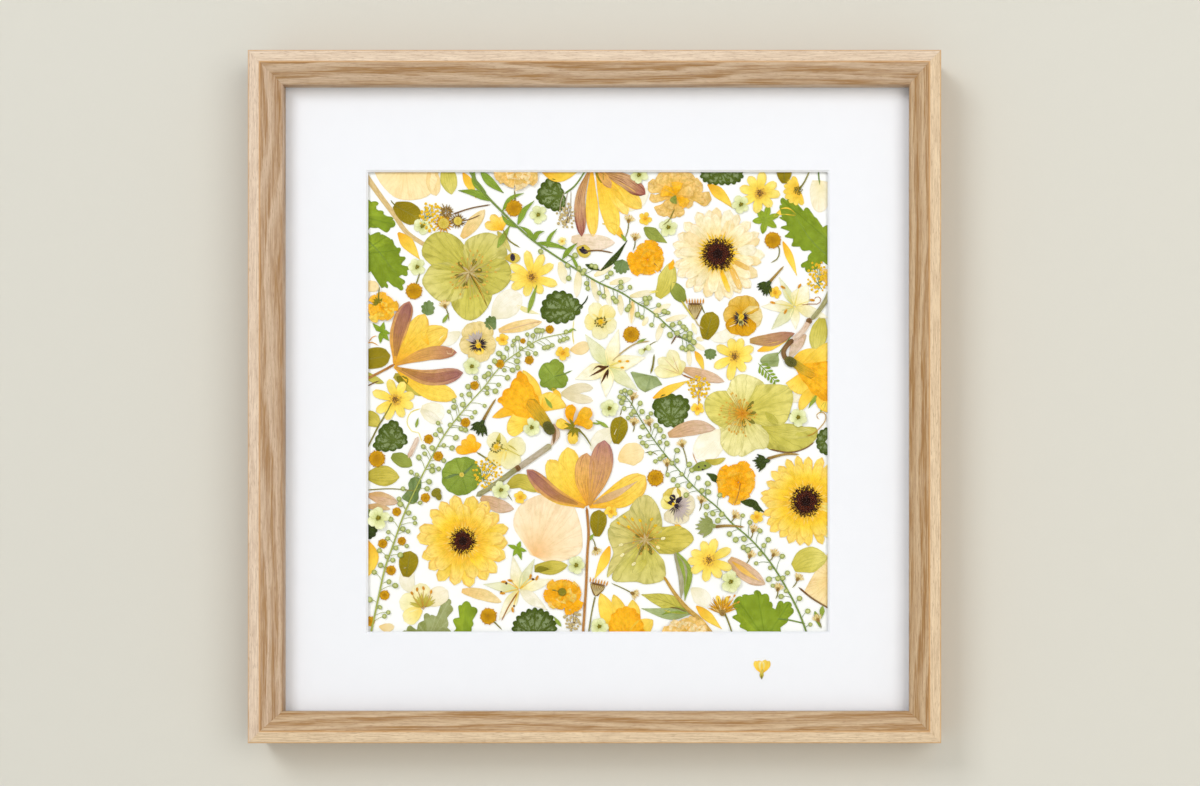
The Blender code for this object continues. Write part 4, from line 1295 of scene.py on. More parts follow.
@dataclass(frozen=True)
class Petal(Part):
    """A petal or narrow leaf along a spine, from its claw to its tip."""

    spine: tuple[Point, ...]
    width: float
    dye: Dye
    shape: Shape = Shape.OVAL
    skin: Skin = Skin.PETAL
    frill: float = 0.05
    teeth: int = 0
    notch: float = 0.0
    cup: float = 0.12

    def lay(self, piece: Pressing) -> None:
        """Lays it on the piece."""
        long = Curve(self.spine, 4).length
        steps = (4, 7) if long < 9 else (6, 11) if long < 30 else (8, 16)
        piece.strip(self.spine, self.width, self.dye, self.shape, self.skin, cup=self.cup, frill=self.frill,
                    teeth=self.teeth, notch=self.notch, steps=steps)


@dataclass(frozen=True)
class Blade(Part):
    """A petal or leaf that spreads from a root to an outline."""

    root: Point
    outline: tuple[Point, ...]
    dye: Dye
    skin: Skin = Skin.PETAL
    ring: bool = False
    teeth: int = 0
    depth: float = 0.0
    cup: float = 0.1

    def lay(self, piece: Pressing) -> None:
        """Lays it on the piece."""
        piece.fan(self.root, self.outline, self.dye, self.skin, teeth=self.teeth, depth=self.depth,
                  ring=self.ring, cup=self.cup)


@dataclass(frozen=True)
class Stalk(Part):
    """A stem, filament, tendril or vein."""

    points: tuple[Point, ...]
    width: float
    dye: Dye = Dye.OLIVE_STEM
    taper: float = 0.8
    flat: float = 0.45

    def lay(self, piece: Pressing) -> None:
        """Lays it on the piece."""
        piece.stem(self.points, self.width, self.dye, taper=self.taper, flat=self.flat)


@dataclass(frozen=True)
class Bead(Part):
    """A pod, ovary, button or anther."""

    centre: Point
    radius: float
    dye: Dye
    skin: Skin = Skin.HEAD
    height: float = 0.4
    stretch: float = 1.0
    turn: float = 0.0
    sides: int = 12

    def lay(self, piece: Pressing) -> None:
        """Lays it on the piece."""
        piece.dome(self.centre, self.radius, self.dye, self.skin, height=self.height, stretch=self.stretch,
                   turn=math.radians(self.turn), sides=self.sides)


@dataclass(frozen=True)
class Beads(Part):
    """Many beads of one kind, each a little different."""

    centres: tuple[Point, ...]
    radius: float
    dye: Dye
    skin: Skin = Skin.HEAD
    height: float = 0.5

    def lay(self, piece: Pressing) -> None:
        """Lays them on the piece."""
        for centre in self.centres:
            size = self.radius * piece.random.uniform(0.8, 1.2)
            piece.dome(centre, size, self.dye, self.skin, height=self.height, lift=0.1, sides=7, rings=4,
                       stretch=piece.random.uniform(1.0, 1.35), turn=piece.random.uniform(0, math.pi))


@dataclass(frozen=True)
class Stamens(Part):
    """Filaments from one root, each with an anther."""

    root: Point
    tips: tuple[Point, ...]
    width: float = 0.5
    filament: Dye = Dye.YELLOW
    anther: Dye = Dye.ANTHER
    size: float = 0.8
    stretch: float = 1.7

    def lay(self, piece: Pressing) -> None:
        """Lays them on the piece."""
        for tip in self.tips:
            middle = Vector(self.root).lerp(Vector(tip), 0.55)
            middle += Vector((piece.random.uniform(-1, 1), piece.random.uniform(-1, 1))) * 0.7
            piece.stem((self.root, tuple(middle), tip), self.width, self.filament, lift=0.12, taper=0.7,
                       sides=5)
            turn = math.atan2(tip[1] - self.root[1], tip[0] - self.root[0]) + piece.random.uniform(-0.6, 0.6)
            piece.dome(tip, self.size, self.anther, Skin.HEAD, lift=0.14, stretch=self.stretch, turn=turn,
                       sides=7)


@dataclass(frozen=True)
class Tuft(Part):
    """A ring of stamens of about one length round a centre."""

    centre: Point
    count: int
    reach: float
    start: float = 0.0
    sweep: float = 360.0
    width: float = 0.45
    filament: Dye = Dye.YELLOW
    anther: Dye = Dye.ANTHER
    size: float = 0.7

    def lay(self, piece: Pressing) -> None:
        """Lays them on the piece."""
        tips = []
        for index in range(self.count):
            spread = (index + piece.random.uniform(-0.3, 0.3)) / self.count
            turn = math.radians(self.start + self.sweep * spread)
            tips.append(polar(self.centre, self.reach * piece.random.uniform(0.55, 1.0), turn))
        Stamens(self.centre, tuple(tips), self.width, self.filament, self.anther, self.size).lay(piece)


@dataclass(frozen=True)
class Rays(Part):
    """Petals all round a centre, each a little different in turn, length and width."""

    centre: Point
    count: int
    inner: float
    outer: float
    width: float
    dye: Dye
    shape: Shape = Shape.STRAP
    skin: Skin = Skin.RAY
    turn: float = 0.0
    teeth: int = 3
    notch: float = 0.05
    jitter: float = 0.06
    rows: int = 3
    others: tuple[Dye, ...] = ()

    def lay(self, piece: Pressing) -> None:
        """Lays them on the piece, in rows that overlap."""
        piece.level += piece.step
        steps = (5, 9) if self.outer - self.inner > 12 else (3, 6)
        for index in range(self.count):
            pick = piece.random
            turn = math.radians(self.turn) + math.tau * (index + pick.uniform(-0.18, 0.18)) / self.count
            reach = self.outer * (1 + pick.uniform(-self.jitter, self.jitter))
            sway = turn + pick.uniform(-0.05, 0.05)
            middle = (self.inner + reach) / 2
            spine = (polar(self.centre, self.inner, turn),
                     polar(self.centre, middle, (turn + sway) / 2 + 0.01), polar(self.centre, reach, sway))
            dye = self.dye if not self.others or pick.random() > 0.3 else pick.choice(self.others)
            piece.strip(spine, self.width * pick.uniform(0.85, 1.12), dye, self.shape, self.skin,
                        lift=(index % self.rows) * ROW_RISE, teeth=self.teeth,
                        notch=self.notch * pick.uniform(0.5, 1.3), cup=0.14, steps=steps)
        piece.level += self.rows * ROW_RISE


@dataclass(frozen=True)
class Florets(Part):
    """Close-set grains over a disc or a ring, in a spiral."""

    centre: Point
    inner: float
    outer: float
    count: int
    size: float
    dye: Dye
    skin: Skin = Skin.HEAD
    rise: float = 0.0

    def lay(self, piece: Pressing) -> None:
        """Lays them on the piece."""
        for index in range(self.count):
            share = (index + 0.5) / self.count
            radius = math.sqrt(self.inner**2 + (self.outer**2 - self.inner**2) * share)
            spot = polar(self.centre, radius, index * GOLDEN_ANGLE)
            size = self.size * piece.random.uniform(0.75, 1.2)
            piece.dome(spot, size, self.dye, self.skin, lift=0.1 + self.rise, height=0.9, sides=6, rings=4)


@dataclass(frozen=True)
class Spikes(Part):
    """Short narrow bracts or tube florets that stand round a centre or fan out from it."""

    centre: Point
    count: int
    inner: float
    outer: float
    width: float
    dye: Dye
    start: float = 0.0
    sweep: float = 360.0

    def lay(self, piece: Pressing) -> None:
        """Lays them on the piece."""
        for index in range(self.count):
            spread = index / self.count if self.sweep >= 360 else index / max(1, self.count - 1)
            turn = math.radians(self.start + self.sweep * spread) + piece.random.uniform(-0.08, 0.08)
            reach = self.outer * piece.random.uniform(0.82, 1.1)
            ends = (polar(self.centre, self.inner, turn), polar(self.centre, reach, turn))
            piece.strip(ends, self.width, self.dye, Shape.LANCE, lift=0.08 + (index % 3) * 0.03, steps=(2, 5))


@dataclass(frozen=True)
class RaggedDouble(Part):
    """A double flower whose thin crumpled petals spread unevenly from its middle."""

    centre: Point
    reach: tuple[float, float]
    dye: Dye
    count: int = 9
    others: tuple[Dye, ...] = ()

    def lay(self, piece: Pressing) -> None:
        """Lays three rows of petals on the piece."""
        for row, share in enumerate((1.0, 0.72, 0.42)):
            count = max(3, round(self.count * (1.0 if row == 0 else 0.7)))
            for index in range(count):
                pick = piece.random
                turn = math.tau * (index + 0.5 * row + pick.uniform(-0.2, 0.2)) / count
                size = share * pick.uniform(0.74, 1.08)
                tip = (self.centre[0] + self.reach[0] * size * math.cos(turn),
                       self.centre[1] + self.reach[1] * size * math.sin(turn))
                start = tuple(Vector(self.centre).lerp(Vector(tip), 0.06))
                wide = math.hypot(*self.reach) * pick.uniform(0.34, 0.5) * (1.0 if row == 0 else 0.85)
                dye = self.dye if not self.others or pick.random() > 0.4 else pick.choice(self.others)
                piece.strip((start, tip), wide, dye, Shape.FAN, Skin.PAPERY, frill=0.2, teeth=3,
                            notch=pick.uniform(0.2, 0.38), cup=0.22, steps=(7, 9))


@dataclass(frozen=True)
class SmallFlower(Part):
    """A small open flower: its petals round a centre, and what stands in the middle."""

    centre: Point
    reach: float
    petals: int
    dye: Dye
    heart: Dye = Dye.ANTHER
    shape: Shape = Shape.ROUND
    width: float = 0.8  # of a petal, as a share of the reach
    core: float = 0.2
    skin: Skin = Skin.PETAL

    def lay(self, piece: Pressing) -> None:
        """Lays it on the piece."""
        start = piece.random.uniform(0, 360)
        Rays(self.centre, self.petals, self.reach * 0.06, self.reach, self.reach * self.width, self.dye,
             self.shape, self.skin, start, 1, 0.06, 0.08, 2).lay(piece)
        Florets(self.centre, 0, self.reach * self.core, 9, self.reach * 0.085, self.heart).lay(piece)


@dataclass(frozen=True)
class Star(Part):
    """A star-shaped flower with a petal to each of its tips."""

    centre: Point
    tips: tuple[Point, ...]
    width: float
    dye: Dye
    shape: Shape = Shape.LANCE
    skin: Skin = Skin.PETAL
    others: tuple[tuple[int, Dye], ...] = ()
    widths: tuple[tuple[int, float], ...] = ()

    def lay(self, piece: Pressing) -> None:
        """Lays it on the piece."""
        for index, tip in enumerate(self.tips):
            dye = dict(self.others).get(index, self.dye)
            width = dict(self.widths).get(index, self.width)
            root = tuple(Vector(self.centre).lerp(Vector(tip), 0.03))
            piece.strip((root, tip), width, dye, self.shape, self.skin, cup=0.2)


@dataclass(frozen=True)
class SeedSpray(Part):
    """A long stem with a round pod on a fine stalk at each of its places."""

    stem: tuple[Point, ...]
    pods: tuple[Point, ...]
    width: float = 1.5
    pod: float = 2.1
    dye: Dye = Dye.GREEN_STEM

    def lay(self, piece: Pressing) -> None:
        """Lays the stem, then each stalk and its pod."""
        curve = Curve(self.stem, 6)
        piece.stem(self.stem, self.width, self.dye, lift=0.0, taper=0.45, flat=0.5, density=0.3)
        samples = [curve.at(k / SPRAY_SAMPLES) for k in range(SPRAY_SAMPLES + 1)]
        for spot in self.pods:
            gaps = [(Vector(spot) - place_on).length for place_on, _ in samples]
            near = gaps.index(min(gaps))
            back = max(0, near - round(gaps[near] * 0.55 * SPRAY_SAMPLES / curve.length))
            start, ahead = samples[back]
            bend = start + (Vector(spot) - start) * 0.5 + ahead * gaps[near] * 0.12
            piece.stem((tuple(start), tuple(bend), spot), 0.42, self.dye, lift=0.05, taper=0.8, sides=4,
                       density=0.5)
            size = self.pod * piece.random.uniform(0.78, 1.12)
            piece.dome(spot, size, Dye.POD, Skin.POD, lift=0.08, height=0.55, sides=9, rings=6,
                       stretch=piece.random.uniform(1.0, 1.15), turn=piece.random.uniform(0, math.pi))


@dataclass(frozen=True)
class Specimen:
    """A pressed specimen, or a group of small ones: its parts in the order in which they are laid."""

    name: str
    slot: str
    level: float
    parts: tuple[Part, ...]
    node: str = ""
    step: float = 0.035
    ground: float | None = None

    def build(self) -> bpy.types.Object:
        """Builds the piece from its parts."""
        piece = Pressing(self.name, self.slot, self.level * LAYER_SHARE, self.step,
                         [self.node] if self.node else (), self.ground)
        for part in self.parts:
            part.lay(piece)
        return piece.done()


def calendula(name: str, node: str, centre: Point, dye: Dye, others: tuple[Dye, ...], disc: float, heart: Dye,
              fringe: Dye, slot: str, counts: tuple[int, int], extra: tuple[Part, ...] = ()) -> Specimen:
    """A pot marigold: two rows of rays, a fringe and a grainy disc.

    Args:
        name: the piece's name.
        node: the CAD node that it stands for.
        centre: its middle.
        dye: the colours of most rays.
        others: the colours of some of them.
        disc: the disc's radius.
        heart: the colours of the disc's middle.
        fringe: the colours of the fringe round it.
        slot: the record's material slot.
        counts: how many rays the outer and the inner row have.
        extra: parts that lie between the rays and the disc.

    Returns:
        The specimen.
    """
    reach = 36.0
    return Specimen(name, slot, 0.55, (
        Rays(centre, counts[0], disc * 0.6, reach, 192 / counts[0], dye, jitter=0.035, others=others),
        Rays(centre, counts[1], disc * 0.6, reach * 0.86, 138 / counts[1], dye, turn=6, jitter=0.07,
             others=others),
        *extra,
        Spikes(centre, 34, disc * 0.7, disc * 1.36, 1.7, fringe),
        Bead(centre, disc * 0.97, Dye.DISC, height=0.02, sides=24),
        Florets(centre, disc * 0.6, disc * 0.98, 90, disc * 0.05, Dye.DISC_RIM, rise=0.12),
        Spikes(centre, 44, disc * 0.7, disc * 1.1, 0.8, Dye.MAROON),
        Tuft(centre, 44, disc * 1.17, width=0.1, filament=Dye.MAROON, anther=Dye.POLLEN, size=0.55),
        Florets(centre, disc * 0.3, disc * 0.62, 60, disc * 0.05, heart, rise=0.2),
        Florets(centre, 0, disc * 0.3, 30, disc * 0.042, Dye.MAROON, rise=0.3),
    ), node)


@dataclass(frozen=True)
class Button(Part):
    """A rayless button head: a grainy dome on a rust rim, with brighter gold grains in its middle."""

    centre: Point
    radius: float

    def lay(self, piece: Pressing) -> None:
        """Lays it on the piece."""
        piece.dome(self.centre, self.radius, Dye.ANTHER_RUST, Skin.HEAD, lift=0.0, height=0.08, sides=18)
        piece.dome(self.centre, self.radius * 0.93, Dye.BUTTON, Skin.HEAD, lift=0.0, height=0.2, sides=16)
        count = 26 if self.radius < 5 else 64
        grain = self.radius * (0.13 if count == 26 else 0.09)
        Florets(self.centre, self.radius * 0.3, self.radius, count, grain, Dye.BUTTON).lay(piece)
        Florets(self.centre, 0, self.radius * 0.3, count // 5, grain * 0.8, Dye.DEEP_GOLD).lay(piece)


@dataclass(frozen=True)
class OvalLeaf(Part):
    """An oval leaf with a midrib and side veins."""

    centre: Point
    radius: float
    stretch: float
    turn: float

    def lay(self, piece: Pressing) -> None:
        """Lays it on the piece."""
        turn = math.radians(self.turn)
        reach = self.radius * self.stretch
        ends = (polar(self.centre, -reach, turn), self.centre, polar(self.centre, reach, turn))
        piece.strip(ends, self.radius * 1.75, Dye.OLIVE_LEAF, Shape.ROUND, Skin.LEAF, frill=0.02)
        piece.stem((ends[0], self.centre, polar(self.centre, reach * 0.9, turn)), 0.7, Dye.OLIVE_STEM,
                   lift=0.08, taper=0.3)


@dataclass(frozen=True)
class Frond(Part):
    """A divided leaf: pairs of narrow leaflets along a rib."""

    rib: tuple[Point, ...]
    pairs: int
    leaflet: float
    dye: Dye

    def lay(self, piece: Pressing) -> None:
        """Lays it on the piece."""
        curve = Curve(self.rib)
        piece.stem(self.rib, 0.8, self.dye, lift=0.0, taper=0.5)
        for index in range(self.pairs):
            spot, ahead = curve.at((index + 0.8) / (self.pairs + 0.5))
            for side in (-1, 1):
                out = Vector((-ahead.y, ahead.x)) * side * 0.8 + ahead * 0.7
                tip = spot + out * self.leaflet * (1 - 0.5 * index / self.pairs)
                piece.strip((tuple(spot), tuple(tip)), 2.0, self.dye, Shape.SPOON, Skin.LEAF, lift=0.05,
                            steps=(2, 5))


@dataclass(frozen=True)
class DriedBud(Part):
    """A dried flower head in bud: a brown cup with a tuft of pale florets."""

    centre: Point
    foot: Point
    size: float = 3.3

    def lay(self, piece: Pressing) -> None:
        """Lays it on the piece."""
        away = Vector(self.centre) - Vector(self.foot)
        turn = math.degrees(math.atan2(away.y, away.x))
        Spikes(self.centre, 13, 0.3, self.size * 1.6, 1.5, Dye.TUFT, turn - 64, 128).lay(piece)
        Spikes(self.centre, 9, 0.3, self.size * 1.15, 0.8, Dye.BUD_BROWN, turn - 58, 116).lay(piece)
        piece.dome(self.centre, self.size * 0.46, Dye.BUD_BROWN, Skin.HEAD, lift=0.05, height=0.5,
                   stretch=1.3, turn=math.radians(turn))
        Spikes(self.centre, 5, self.size * 0.8, self.size * 1.7, 0.7, Dye.ANTHER, turn - 45, 90).lay(piece)


@dataclass(frozen=True)
class Crown(Part):
    """A poppy-like seed head seen from the side: a cone, a rim and the spikes on it."""

    rim: Point
    base: Point
    width: float

    def lay(self, piece: Pressing) -> None:
        """Lays it on the piece."""
        rim, base = Vector(self.rim), Vector(self.base)
        ahead = (rim - base).normalized()
        side = Vector((ahead.y, -ahead.x))
        piece.strip((self.base, self.rim), self.width * 0.9, Dye.BUD_BROWN, Shape.CONE, Skin.RAY)
        for index in range(7):
            across = side * self.width * (index / 6 - 0.5)
            piece.stem((self.base, tuple(rim + across * 0.92)), 0.7, Dye.STRAW, lift=0.1, taper=1.0)
            tip = rim + across * 1.08 + ahead * 4.5
            piece.strip((tuple(rim + across), tuple(tip)), 1.2, Dye.ANTHER_RUST, Shape.LANCE, lift=0.1,
                        steps=(2, 4))
        ends = tuple(rim - side * self.width / 2), tuple(rim + side * self.width / 2)
        piece.stem(ends, 1.4, Dye.BROWN, lift=0.12)


@dataclass(frozen=True)
class Umbel(Part):
    """A loose head of tiny round florets on fine rays."""

    foot: Point
    wide: float
    tall: float
    count: int
    dye: Dye
    ray: Dye
    turn: float

    def lay(self, piece: Pressing) -> None:
        """Lays it on the piece."""
        middle = Vector(polar(self.foot, self.tall * 0.55, math.radians(self.turn)))
        for index in range(self.count):
            radius = math.sqrt((index + 0.5) / self.count)
            turn = index * GOLDEN_ANGLE
            spot = middle + Vector((math.cos(turn) * self.wide, math.sin(turn) * self.tall)) * radius * 0.95
            spot += Vector((piece.random.uniform(-1, 1), piece.random.uniform(-1, 1)))
            if index % 4 == 0:
                piece.stem((self.foot, tuple(spot)), 0.4, self.ray, lift=0.0, sides=4, density=0.3)
            piece.dome(tuple(spot), piece.random.uniform(0.75, 1.4), self.dye, Skin.HEAD, lift=0.1,
                       height=0.6, sides=7, rings=4)


@dataclass(frozen=True)
class Burr(Part):
    """A round seed head with short spikes."""

    centre: Point
    radius: float
    dye: Dye

    def lay(self, piece: Pressing) -> None:
        """Lays it on the piece."""
        Spikes(self.centre, 16, self.radius * 0.3, self.radius * 1.3, 1.1, self.dye).lay(piece)
        Florets(self.centre, 0, self.radius * 0.8, 26, self.radius * 0.13, self.dye).lay(piece)


@dataclass(frozen=True)
class Calyx(Part):
    """A dark flared calyx at the end of its tube."""

    centre: Point
    foot: Point
    dye: Dye = Dye.DARK_LEAF
    size: float = 10.5

    def lay(self, piece: Pressing) -> None:
        """Lays it on the piece."""
        away = Vector(self.centre) - Vector(self.foot)
        turn = math.degrees(math.atan2(away.y, away.x))
        Spikes(self.foot_near(), 7, 0.2, self.size, self.size * 0.36, self.dye, turn - 48, 96).lay(piece)
        piece.dome(self.foot_near(), 2.0, self.dye, Skin.POD, lift=0.1, height=0.4, stretch=1.7,
                   turn=math.radians(turn))

    def foot_near(self) -> Point:
        """Where the calyx narrows to its tube."""
        toward = (Vector(self.foot) - Vector(self.centre)).normalized()
        return tuple(Vector(self.centre) + toward * 4.0)


@dataclass(frozen=True)
class Sprig(Part):
    """Narrow leaflets that spread from one point."""

    centre: Point
    tips: tuple[Point, ...]
    width: float
    dye: Dye
    shape: Shape = Shape.LANCE

    def lay(self, piece: Pressing) -> None:
        """Lays it on the piece."""
        for tip in self.tips:
            piece.strip((self.centre, tip), self.width, self.dye, self.shape, Skin.LEAF, frill=0.12)


# ---------------------------------------------------------------- the large specimens


